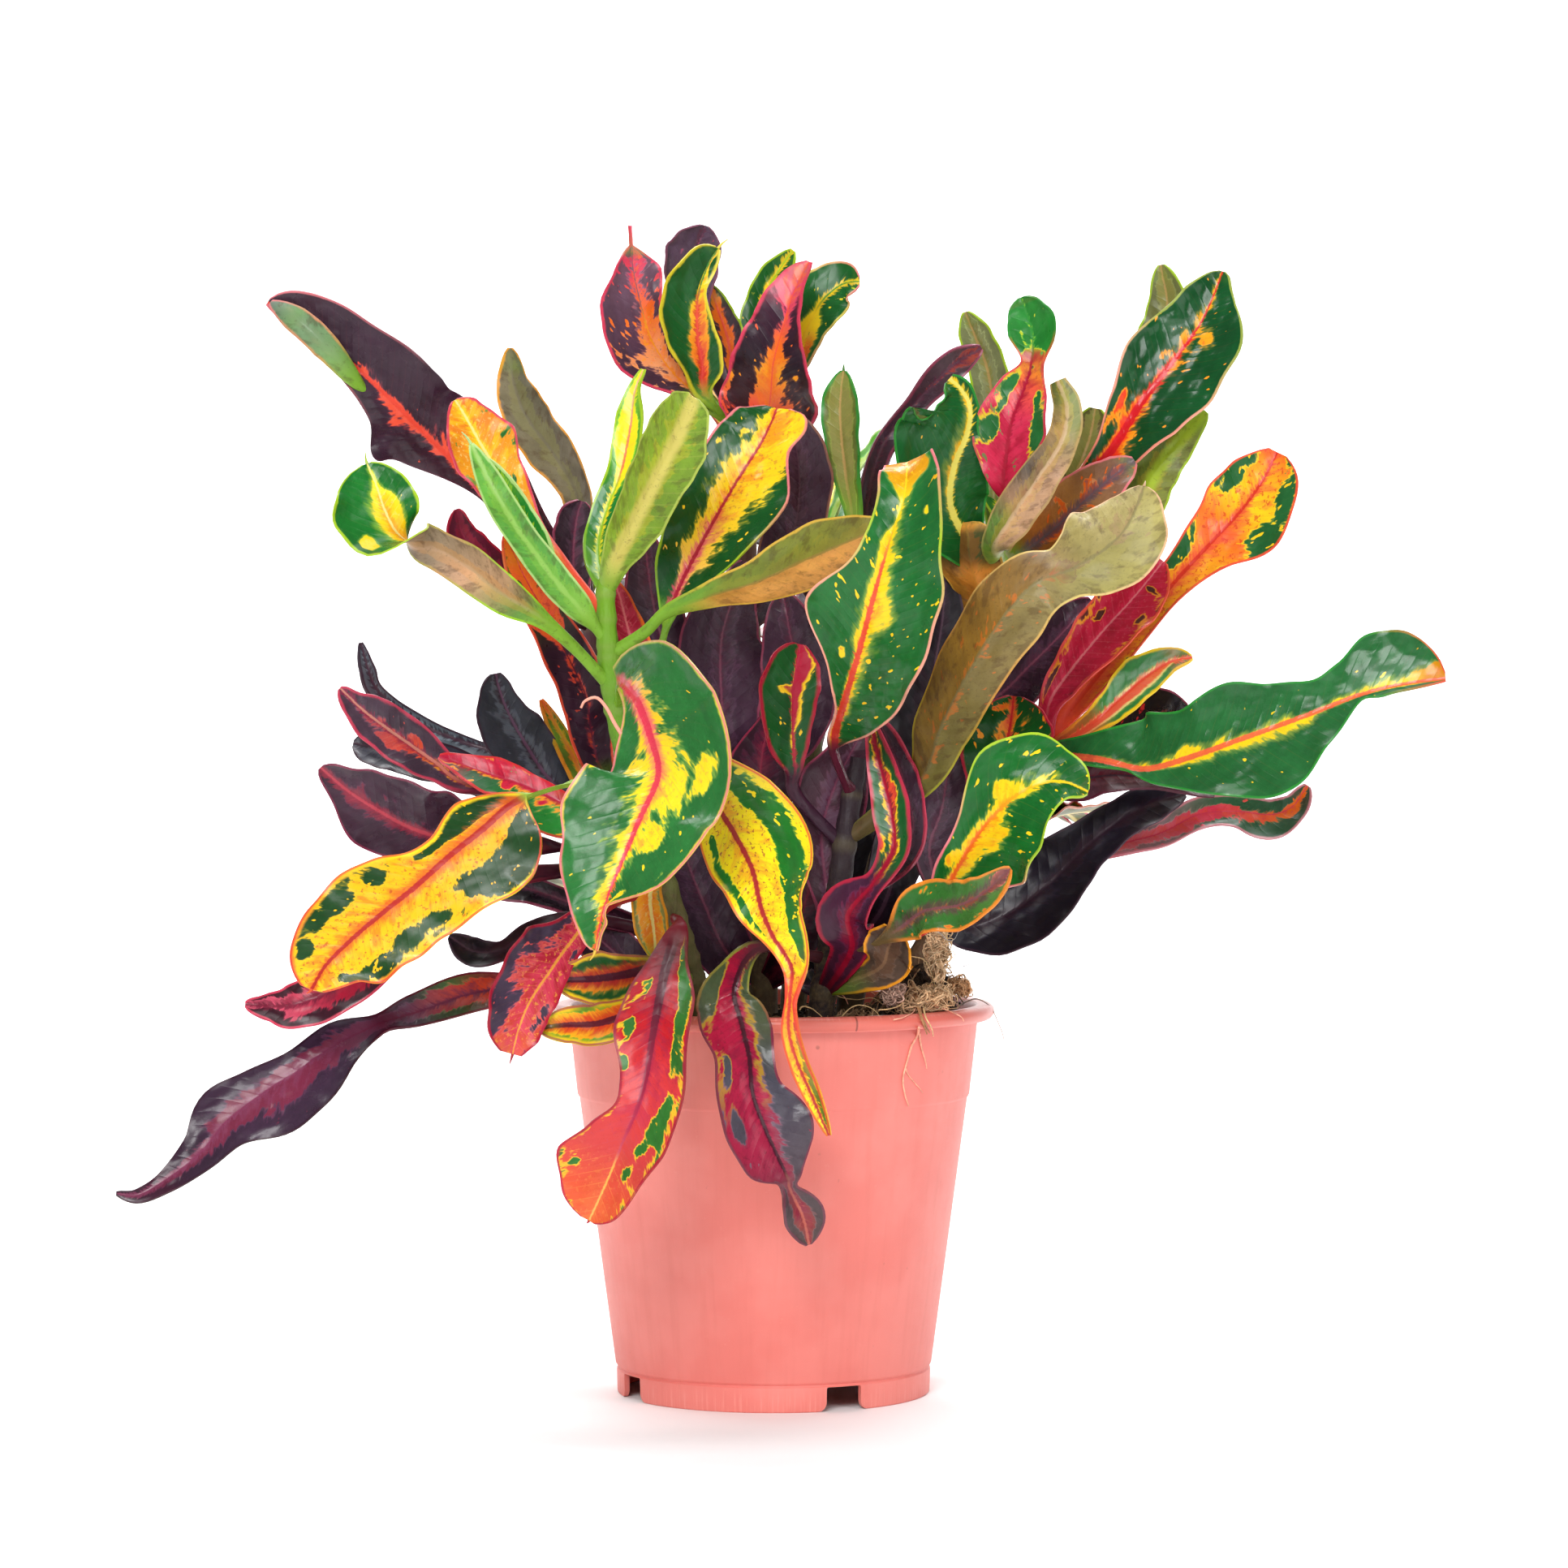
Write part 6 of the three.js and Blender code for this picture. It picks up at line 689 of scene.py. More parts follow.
        (0.4, "#e04a38"), (1, RED)], stalk="#8fb63f", gloss=0.15, blobs=[(0.12, -0.7, 0.1, 0.4, -1.4),
        (0.12, 0.7, 0.1, 0.4, -1.5), (0.22, 0.56, 0.07, 0.32, -1.6), (0.33, 0.58, 0.06, 0.24, -1.5),
        (0.28, -0.6, 0.06, 0.28, -1.5), (0.38, -0.6, 0.06, 0.28, -1.5), (0.47, -0.52, 0.05, 0.24, -1.4),
        (0.6, -0.6, 0.04, 0.14, -1.2), (0.69, -0.58, 0.045, 0.17, -1.3), (0.8, -0.7, 0.05, 0.18, -1.3),
        (0.91, -0.6, 0.04, 0.3, -1.2), (0.26, 0.55, 0.05, 0.25, -1.4), (0.36, 0.47, 0.045, 0.15, -1.2),
        (0.46, 0.6, 0.045, 0.13, -1.2), (0.62, 0.6, 0.03, 0.17, -1.4), (0.73, 0.66, 0.04, 0.18, -1.4),
        (0.81, 0.72, 0.03, 0.14, -1.1), (0.88, 0.62, 0.03, 0.2, -1.3)]),
    L55=dict(ground=MAROON, patch=[(0, WINE), (0.6, CRIMSON), (0.8, "#d0506a")], left=0.5, right=0.5, edge=ROSE,
        blobs=[(0.85, -0.4, 0.05, 0.3, -0.9)]),
    L56=dict(ground="#382030", patch="#6a2438", rib="#b03a48", rib_mm=0.9, edge="#7a2a44", glow="#8a2438",
        glow_mm=2.4, left=0.12, right=0.12, ragged=0.5),
    L57=dict(ground="#4a3746", patch=[(0, CORAL), (0.4, AMBER), (0.5, CORAL), (0.8, "#a0505f")], rib=[(0, CORAL),
        (0.6, "#d08a7a")], left=[(0, 0.4), (0.4, 0.15), (1, 0.05)], right=[(0, 0.5), (0.3, 0.25), (0.5, 0.05)],
        edge="#c9405a", edge_mm=1.1, blobs=[(0.53, 0.3, 0.025, 0.16, 0.9), (0.62, -0.45, 0.07, 0.22, 0.7)]),
    # L58: its blue-grey ground is partly painted sheen on a near-black glossy leaf
    L58=dict(ground="#3c3c4a", patch="#4a4858"),
    L59=dict(ground="#5c6670", patch="#7a8490", under="#5c6670"),
    # L60: its blue-grey ground is partly painted sheen, and its paler patch, wider left of the rib, is painted sheen
    L60=dict(ground="#34353f", patch="#50545e", rib="#5c3c54", left=0.3),
    L61=dict(ground="#3a3618", edge=ORANGE, edge_mm=0.9, left=0.2, right=0.2),
    L62=dict(ground=[(0, MID), (0.5, GREEN), (0.8, "#34503c")], patch=[(0, LIME), (0.32, "#c41e40"),
        (0.55, "#cc1c38"), (1, "#c02848")], glow=CRIMSON, left=[(0, 0.1), (0.5, 0.3), (0.6, 0.2), (0.82, 0.1),
        (0.92, 0.6)], right=1.1, edge=RED, rib="#b02440", rib_mm=0.4, blobs=[(0.55, -0.35, 0.03, 0.28, 0.9)],
        rim=AMBER),
    L63=dict(ground="#1d1620"),
    L65=dict(ground="#3c2e42", patch=[(0, "#8c102a"), (0.5, "#a82034"), (0.85, "#c4402c"), (1, "#d05c3c")],
        rim="#cc5252", right=[(0, 0.7), (0.42, 0.5), (0.88, 0.5), (0.95, 1.1)], ragged=0.5, blotch=0.15,
        rib="#e0983c", glow=ROSE, blobs=[(0.7, -0.6, 0.07, 0.22, -1.2), (0.8, -0.55, 0.05, 0.16, -0.9),
        (0.35, -0.6, 0.04, 0.2, -0.7)], edge=CRIMSON, rib_mm=0.6, edge_mm=1.1, fleck=0.35, gloss=0.4),
    L66=dict(ground="#1a5420", patch=[(0, "#c83818"), (0.5, "#dc7418"), (1, "#dea020")], glow="#a81424",
        glow_mm=[(0, 6), (0.5, 4.4), (1, 3)], rib="#3c0f28", rib_mm=1.7, ragged=0.25, left=[(0, 0.3), (0.5, 0.5),
        (1, 0.62)], right=[(0, 0.2), (0.4, 0.35), (1, 0.42)]),
    L67=dict(patch=[(0, "#d8401c"), (0.4, ORANGE), (1, YELLOW)], glow="#cc2a1c", glow_mm=[(0, 6), (0.5, 4.4),
        (1, 2.6)], left=0.6, right=0.7, rib="#4a1028", rib_mm=1.5, ragged=0.25),
    L68=dict(ground="#2c6a25", patch=[(0, MAROON), (0.14, "#6a0c28"), (0.24, "#a80e24"), (0.4, "#bc1822"),
        (0.48, "#cc3438"), (0.75, "#c43c3a"), (0.9, "#d4502e"), (1, "#d85c34")], rib=[(0, MAROON), (0.3, "#4a1026"),
        (0.65, "#a82a48"), (0.74, "#c04a58"), (0.79, "#e8a848"), (1, "#ecb460")], rib_mm=[(0, 2.2), (0.3, 1.6),
        (0.6, 0.9), (0.78, 0.6), (1, 0.6)], ragged=0.55, blotch=0.0, fleck=[(0, 0.16), (0.7, 0.1), (0.8, 0)],
        rim=[(0, YELLOW), (1, "#e9b62a")], glow=[(0, MAROON), (0.3, "#8a1030"), (0.6, "#b8304a"), (0.78, "#cc4a34"),
        (1, "#dc7034")], glow_mm=[(0, 5), (0.4, 2.6), (0.7, 1), (0.8, 1.4)], edge=[(0, MAROON), (0.3, "#8a2438"),
        (0.7, CRIMSON), (1, "#b82440")], edge_mm=0.9, gloss=0.2, blobs=[(0.2, -0.75, 0.05, 0.14, -1.2),
        (0.28, -0.68, 0.05, 0.14, -1.3), (0.37, -0.7, 0.05, 0.14, -1.3), (0.46, -0.68, 0.04, 0.12, -1.2),
        (0.57, -0.62, 0.03, 0.13, -1.2), (0.63, -0.56, 0.04, 0.2, -1.4), (0.7, -0.42, 0.025, 0.12, -1.2),
        (0.78, -0.38, 0.035, 0.14, -1.3), (0.25, 0.5, 0.04, 0.12, -1.1), (0.36, 0.62, 0.035, 0.12, -1.1),
        (0.46, 0.82, 0.02, 0.14, -1.1), (0.82, 0.6, 0.018, 0.1, -1.0)]),
    # L69: the grey-purple of its ground from share 0.3 to 0.7 is partly painted sheen
    L69=dict(stalk="#5c3038", ground=[(0, "#3c5a24"), (0.3, "#4c5240"), (0.42, "#474652"), (0.7, "#4c4048"),
        (1, "#4a3c3a")], ragged=0.3, patch=[(0, CRIMSON), (0.3, "#a8163a"), (0.6, "#98203e"), (0.75, "#7a3040"),
        (1, "#8a3a34")], rim=[(0, "#b4a02c"), (0.42, "#a8882c"), (0.52, "#8e3048"), (0.7, "#7a3040"),
        (1, "#7a3c36")], left=[(0, 0.4), (0.3, 0.38), (0.55, 0.36), (0.66, 0.15), (0.76, 0.4)], right=[(0, 1.1),
        (0.7, 1.1), (0.8, 0.4)], rib=[(0, MAROON), (0.7, MAROON), (0.8, "#b05a4c")], glow="#7a1434",
        glow_mm=[(0, 2), (0.6, 1.2), (0.8, 0.3)], edge=[(0, LIME), (0.3, "#7a2a40"), (1, "#6a3c48")], rib_mm=0.9,
        fleck=0.1, gloss=0.85, blobs=[(0.22, 0.8, 0.05, 0.35, -1.5), (0.4, 0.62, 0.04, 0.12, -1.1),
        (0.53, 0.58, 0.045, 0.17, -1.2)]),
    L70=dict(ground=[(0, RED), (0.18, CRIMSON), (0.25, "#4c6a3c"), (0.32, "#584456"), (0.45, "#3c283c"),
        (0.75, "#362234"), (1, "#281620")], patch=[(0, RED), (0.22, CORAL), (0.32, "#75506a"), (0.5, "#742840"),
        (0.75, "#70283e"), (1, "#4c2436")], left=[(0, 0.8), (0.25, 0.5), (0.5, 0.35), (0.8, 0.35), (1, 0.2)],
        right=[(0, 0.6), (0.3, 0.6), (0.7, 0.3), (1, 0.1)], rib="#7a3450", rib_mm=0.4, glow="#7c3a56", glow_mm=1.2,
        edge=[(0, CRIMSON), (0.4, PLUM)], ragged=0.35, fleck=0.1, gloss=0.75),
    L72=dict(edge=ORANGE, edge_mm=1),
)


# Numbers and shapes


def lin(colour):
    """A screen colour such as "#f4cf1d" as linear red, green and blue."""
    parts = [int(colour[i : i + 2], 16) / 255 for i in (1, 3, 5)]
    return [p / 12.92 if p <= 0.04045 else ((p + 0.055) / 1.055) ** 2.4 for p in parts]


def track(value, share):
    """A number or colour, or pairs of (share along, value), at each share along a leaf."""
    steps = value if isinstance(value, list) else [(0, value)]
    at = [step[0] for step in steps]
    if isinstance(steps[0][1], str):
        colours = np.array([lin(step[1]) for step in steps])
        return np.stack([np.interp(share, at, colours[:, i]) for i in range(3)], axis=-1)
    return np.interp(share, at, [step[1] for step in steps])


def unit(v):
    """Vectors of length 1."""
    return v / np.maximum(np.linalg.norm(v, axis=-1, keepdims=True), 1e-9)


def smooth(x, low, high):
    """0 at low, 1 at high, smoothly between."""
    t = np.clip((x - low) / (high - low), 0, 1)
    return t * t * (3 - 2 * t)


def circle(sides):
    """Angles of points around a circle."""
    return np.arange(sides) * 2 * math.pi / sides


def along(rows, t):
    """Smooth interpolation through rows of numbers: their values and slopes at positions t."""
    rows = np.asarray(rows, float)
    last = len(rows) - 1
    i = np.clip(np.floor(t).astype(int), 0, last - 1)
    f = (t - i)[:, None]
    b, c = rows[i], rows[i + 1]
    a = np.where((i == 0)[:, None], 2 * b - c, rows[np.maximum(i - 1, 0)])
    d = np.where((i == last - 1)[:, None], 2 * c - b, rows[np.minimum(i + 2, last)])
    p, q, r = c - a, 2 * a - 5 * b + 4 * c - d, 3 * b - a - 3 * c + d
    return 0.5 * (2 * b + p * f + q * f**2 + r * f**3), 0.5 * (p + 2 * q * f + 3 * r * f**2)


def on_stem(name, height):
    """The point on a stem's axis at a height above the floor."""
    rows = STEMS[name]
    low, high = 0.0, len(rows) - 1.0
    for _ in range(24):
        middle = (low + high) / 2
        if along(rows, np.array([middle]))[0][0, 2] < height:
            low = middle
        else:
            high = middle
    return along(rows, np.array([low]))[0][0, :3].tolist()


def widened(turn):
    """How much wider a cupped half blade is than it looks, once it is turned about its rib."""
    return math.cos(math.radians(BLADE_CUP_DEG)) / math.cos(math.radians(turn + BLADE_CUP_DEG))


def nearness(y):
    """How much larger a thing at a depth is than it looks at the pot's axis."""
    return (EYE_DISTANCE + y) / EYE_DISTANCE


def at_depth(x, z, y):
    """A seen point, moved to a depth of its own."""
    return [EYE_X + (x - EYE_X) * nearness(y), y, EYE_Z + (z - EYE_Z) * nearness(y)]


def placed_rows(stem, height, turn, rows):
    """A seen leaf's rows in the pot's frame: place, squared widths and roll."""
    placed = []
    for i, (x, z, y, left, right, roll) in enumerate(rows):
        turned = turn * TURN_AT_STALK if height > 0 and i == 0 else turn
        squares = [(left * nearness(y) * widened(-turned)) ** 2, (right * nearness(y) * widened(turned)) ** 2]
        placed.append(at_depth(x, z, y) + squares + [roll + turned])
    if height > 0:
        placed.insert(0, on_stem(stem, height) + [STALK_HALF_WIDTH**2, STALK_HALF_WIDTH**2, rows[0][5]])
    return placed


def arched_rows(stem, height, bearing, length, half_width, rise, droop, roll):
    """A hidden leaf's rows: it rises from its stem at a bearing and bends over along its length."""
    spans = len(ARCH_WIDTHS)
    place = np.array(on_stem(stem, height))
    turn = math.radians(bearing)
    rows = [[*place, STALK_HALF_WIDTH**2, STALK_HALF_WIDTH**2, 0]]
    for i, width in enumerate(ARCH_WIDTHS):
        tilt = math.radians(rise - droop * i / (spans - 1))
        step = np.array([math.cos(tilt) * math.cos(turn), math.cos(tilt) * math.sin(turn), math.sin(tilt)])
        place = place + step * length / spans
        squared = max(width * half_width, 0.8) ** 2
        rows.append([*place, squared, squared, roll * i / (spans - 1)])
    return rows


# Meshes with numbers on their points


def added(name, data):
    """An object of some data, in the scene."""
    piece = bpy.data.objects.new(name, data)
    bpy.context.scene.collection.objects.link(piece)
    return piece


# The order of a quad's corners that turns it over
FLIPPED = (0, 3, 2, 1)


class Body:
    """Gathers grids and tubes, each with its values for the material, into one mesh."""

    def __init__(self):
        self.points, self.faces, self.values, self.kinds, self.count = [], [], {}, [], 0

    def add(self, points, faces, values, kind=0):
        points = np.asarray(points, float).reshape(-1, 3)
        for key, value in values.items():
            value = np.broadcast_to(np.asarray(value, float), (len(points), 3))
            self.values.setdefault(key, []).append((self.count, value))
        self.points.append(points)
        faces = np.asarray(faces, int)
        self.faces.append(faces + self.count)
        self.kinds.append(np.full(len(faces), kind))
        self.count += len(points)

    def build(self, name, materials, sharp_deg=55):
        faces = np.concatenate(self.faces)
        mesh = bpy.data.meshes.new(name)
        mesh.vertices.add(self.count)
        mesh.vertices.foreach_set("co", (np.concatenate(self.points) * MM).ravel())
        mesh.loops.add(faces.size)
        mesh.loops.foreach_set("vertex_index", faces.ravel())
        mesh.polygons.add(len(faces))
        mesh.polygons.foreach_set("loop_start", np.arange(0, faces.size, 4))
        mesh.polygons.foreach_set("material_index", np.concatenate(self.kinds))
        mesh.polygons.foreach_set("use_smooth", np.ones(len(faces), bool))
        for key, pieces in self.values.items():
            data = np.zeros((self.count, 3))
            for start, value in pieces:
                data[start : start + len(value)] = value
            mesh.attributes.new(key, "FLOAT_VECTOR", "POINT").data.foreach_set("vector", data.ravel())
        for material in materials:
            mesh.materials.append(material)
        mesh.update(calc_edges=True)
        mesh.set_sharp_from_angle(angle=math.radians(sharp_deg))
        return added(name, mesh)


def shell_faces(rows, columns):
    """Quads around a blade's upper face, lower face and rim."""
    s, c = np.meshgrid(np.arange(rows - 1), np.arange(columns - 1), indexing="ij")
    a = (s * columns + c).ravel()
    under = rows * columns
    upper = np.stack([a, a + 1, a + columns + 1, a + columns], 1)
    lower = np.stack([a, a + columns, a + columns + 1, a + 1], 1) + under
    s = np.arange(rows - 1) * columns
    left = np.stack([s, s + columns, s + columns + under, s + under], 1)
    s = s + columns - 1
    right = np.stack([s, s + under, s + columns + under, s + columns], 1)
    c = np.arange(columns - 1)
    start = np.stack([c, c + under, c + 1 + under, c + 1], 1)
    c = c + (rows - 1) * columns
    end = np.stack([c, c + 1, c + 1 + under, c + under], 1)
    return np.concatenate([upper, lower, left, right, start, end])


def ring_corners(rings, sides):
    """Two corners of each quad between rings of points, on the first of its rings."""
    s, c = np.meshgrid(np.arange(rings - 1), np.arange(sides), indexing="ij")
    return s * sides + c, s * sides + (c + 1) % sides


def fan(centre, start, sides, order=(0, 1, 2, 3)):
    """Quads from a middle point to a ring of points."""
    c = np.arange(0, sides, 2)
    quads = np.stack([np.full_like(c, centre), start + c, start + c + 1, start + (c + 2) % sides], 1)
    return quads[:, order]


def tube(body, centres, radii, sides, values, kind=0):
    """A closed round tube along points."""
    centres = np.asarray(centres, float)
    radii = np.broadcast_to(np.asarray(radii, float), (len(centres),))
    ahead = unit(np.gradient(centres, axis=0))
    hint = np.array([0.0, 1.0, 0.0]) if abs(ahead[:, 1]).mean() < 0.8 else np.array([1.0, 0.0, 0.0])
    across = unit(np.cross(hint, ahead))
    up = np.cross(ahead, across)
    turn = circle(sides)
    ring = across[:, None] * np.cos(turn)[None, :, None] + up[:, None] * np.sin(turn)[None, :, None]
    points = (centres[:, None] + ring * radii[:, None, None]).reshape(-1, 3)
    points = np.concatenate([points, centres[:1], centres[-1:]])
    a, b = ring_corners(len(centres), sides)
    faces = [np.stack([a, b, b + sides, a + sides], -1).reshape(-1, 4)]
    faces.append(fan(len(points) - 2, 0, sides, FLIPPED))
    faces.append(fan(len(points) - 1, (len(centres) - 1) * sides, sides))
    filled = {}
    for key, value in values.items():
        value = np.asarray(value, float)
        if value.ndim == 2:
            rings = np.repeat(value, sides, axis=0)
            value = np.concatenate([rings, value[:1], value[-1:]])
        filled[key] = value
    body.add(points, np.concatenate(faces), filled, kind)


# Leaves

PAINTED = ["ground", "patch", "rim", "glow", "rib", "edge", "hem", "under", "under_rib"]
STAND_INS = dict(rim="patch", hem="edge")
COLUMNS = np.array([-1, -0.93, -0.8, -0.62, -0.44, -0.27, -0.13, -0.05, 0, 0.05, 0.13, 0.27, 0.44, 0.62, 0.8, 0.93, 1])


def leaf(body, rows, wave, seed, facing, paint, key, thread=0.0):
    """One fine blade on the same lines as the solid's, with its stalk, rib and markings."""
    length = np.linalg.norm(np.diff(np.array(rows)[:, :3], axis=0), axis=1).sum()
    count = int(np.clip(length / LEAF_STEP, FEWEST_STEPS, MOST_STEPS))
    share = np.linspace(0, 1, count + 1)
    values, slopes = along(rows, share * (len(rows) - 1))
    centre, ahead = values[:, :3], unit(slopes[:, :3])
    side = unit(np.cross(ahead, facing))
    face = np.cross(side, ahead)
    roll = np.radians(values[:, 5:6])
    out = side * np.cos(roll) + face * np.sin(roll)
    up = face * np.cos(roll) - side * np.sin(roll)

    a = COLUMNS[None, :]
    reach = np.abs(a)
    widths = np.sqrt(np.maximum(0.25, values[:, 3:5]))
    width = np.where(a < 0, widths[:, :1], widths[:, 1:2])
    widest = widths.max(axis=1)
    opened = np.maximum(smooth(widest, STALK_HALF_WIDTH, 3 * STALK_HALF_WIDTH), share**2)[:, None]
    u = share[:, None]
    right = (a > 0).astype(float)
    nibbles = WIDE_NIBBLE * np.sin(19 * u + 3 * seed + 2 * right) + FINE_NIBBLE * np.sin(41 * u + seed + 5 * right)
    width = width * np.where(reach > 0.5, 1 + opened * nibbles, 1)
    fold = 2 * math.radians(BLADE_CUP_DEG)
    outward = width * np.sin(fold * reach) / fold
    lift = width * (1 - np.cos(fold * reach)) / fold
    phase = u * (6 + seed % 3) * math.pi + seed + 2 * right
    lift = lift + wave * width * reach**2 * np.sin(phase)
    lift = lift + opened * MARGIN_FRILL * width * reach**3 * np.sin(2.3 * phase + 1.7 * seed)
    middle = centre[:, None] + out[:, None] * (np.sign(a) * outward)[..., None] + up[:, None] * lift[..., None]

    normal = unit(np.cross(np.gradient(middle, axis=1), np.gradient(middle, axis=0)))
    thick = STALK_THICKNESS + (BLADE_THICKNESS - STALK_THICKNESS) * opened
    round_off = np.sqrt(np.maximum(0.04, 1 - 0.97 * reach**2))
    thick = thick * (round_off + (1 - round_off) * opened)
    spread = reach * width
    rib = opened * (1 - u) ** 0.6
    channel = CHANNEL_DEPTH * opened * np.exp(-((spread / CHANNEL_SPREAD) ** 2))
    bulge = KEEL_DEPTH * rib * np.exp(-((spread / KEEL_SPREAD) ** 2))
    upper = middle + normal * (thick / 2 - channel)[..., None]
    lower = middle - normal * (thick / 2 + bulge)[..., None]

    run = np.concatenate([[0], np.linalg.norm(np.diff(centre, axis=0), axis=1).cumsum()])
    shape = middle.shape[:2]
    twice = lambda grid: np.tile(np.broadcast_to(grid, shape).ravel(), 2)
    station, side_share, blade = twice(u), twice(a), twice(opened)
    amount = lambda name: track(paint[name], station)
    mixed = lambda colour: track(colour, station) * blade[:, None] + (1 - blade[:, None]) * lin(paint["stalk"])
    colours = {name: mixed(paint[name] or paint[STAND_INS[name]]) for name in PAINTED}
    if paint["under_right"]:
        blend = smooth(side_share, -0.05, 0.05)[:, None]
        colours["under"] = colours["under"] * (1 - blend) + mixed(paint["under_right"]) * blend
    patch_width = np.where(side_share < 0, amount("left"), amount("right"))
    faces_down = np.repeat([0.0, 1.0], middle.shape[0] * middle.shape[1])
    rib_mm = amount("rib_mm") * (1 - 0.6 * station)
    values = {
        "place": np.stack([twice(np.sign(a) * spread), twice(run[:, None]), faces_down], 1),
        "span": np.stack([side_share, twice(width), np.full(len(station), key * 1.37)], 1),
        "marks": np.stack([patch_width, amount("ragged"), amount("fleck")], 1),
        "lines": np.stack([rib_mm, amount("edge_mm"), amount("glow_mm")], 1),
        "more": np.stack([amount("blotch"), blade, pushes(paint["blobs"], station, side_share)], 1),
        "extra": [paint["bleed"], paint["keel_mm"], paint["gloss"]],
        **colours,
    }
    body.add(np.concatenate([upper.reshape(-1, 3), lower.reshape(-1, 3)]), shell_faces(*shape), values)
    if thread > 0:
        curl = np.linspace(0, 1, THREAD_RINGS)[:, None]
        bend = (0.35 * up[-1] + 0.2 * out[-1]) * curl**2
        path = centre[-1] + thread * (ahead[-1] * curl + bend)
        tip = {name: np.atleast_2d(value)[-1] for name, value in values.items()}
        tube(body, path, np.linspace(THREAD_RADIUS, THREAD_TIP, THREAD_RINGS), THREAD_SIDES, tip)


def pushes(blobs, share, across):
    """How far each listed blob widens the patch, or with a minus the ground."""
    total = np.zeros(len(share))
    for at, side, length, width, strength in blobs:
        total += strength * np.exp(-(((share - at) / length) ** 2) - ((across - side) / width) ** 2)
    return total


def paint_of(leaf_name, kind):
    """What a leaf starts from, changed by its kind and then by what it does differently."""
    return {**PLAIN, **KINDS[kind], **OWN.get(leaf_name, {})}


def leafy_stem(name):
    """One stem with all its leaves, as one mesh that stands for its node."""
    body = Body()
    rows = STEMS[name]
    t = np.linspace(0, len(rows) - 1, STEM_RINGS)
    centres, _ = along(rows, t)
    height = centres[:, 2]
    scars = sum(np.exp(-(((height - h) / SCAR_SPREAD) ** 2)) for h in scar_heights(name))
    radii = centres[:, 3] * (1 + SCAR_SWELL * scars) + STEM_RIPPLE * np.sin(height * 0.9)
    young = (height - height[0]) / (height[-1] - height[0])
    colour = track(STEM_COLOURS[name], young)
    values = {"stem": colour, "place": np.stack([young, height, scars], 1)}
    tube(body, centres[:, :3], radii, STEM_SIDES, values, kind=1)
    for seed, (leaf_name, stem, kind, wave, at, turn, leaf_rows) in enumerate(LEAVES):
        if stem == name:
            placed = placed_rows(stem, at, turn, leaf_rows)
            paint = paint_of(leaf_name, kind)
            leaf(body, placed, wave, seed, VIEWER, paint, seed + 1, THREADS.get(leaf_name, 0))
    for seed, (leaf_name, stem, kind, wave, *shape) in enumerate(HIDDEN):
        if stem == name:
            leaf(body, arched_rows(stem, *shape), wave, seed, SKY, paint_of(leaf_name, kind), seed + 101)
    if name == HOOK_STEM:
        hook = [at_depth(x, z, HOOK_DEPTH) for x, z in HOOK]
        path, _ = along(hook, np.linspace(0, len(hook) - 1, HOOK_RINGS))
        radii = np.linspace(HOOK_RADIUS, HOOK_RADIUS * 0.6, HOOK_RINGS)
        tube(body, path, radii, HOOK_SIDES, {"stem": lin(HOOK_COLOUR), "place": [1, 0, 0]}, kind=1)
    piece = body.build(f"foliage_{name}", [LEAF, BARK])
    settle(piece, f"leafy_stem_{name}")


def scar_heights(name):
    """Where leaves join a stem."""
    return [row[4] for row in [*LEAVES, *HIDDEN] if row[1] == name and row[4] > 0]


def settle(piece, node):
    """Ties a piece to the frame and hides the solid that it stands for."""
    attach(piece, "root")
    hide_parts(node)


# Materials


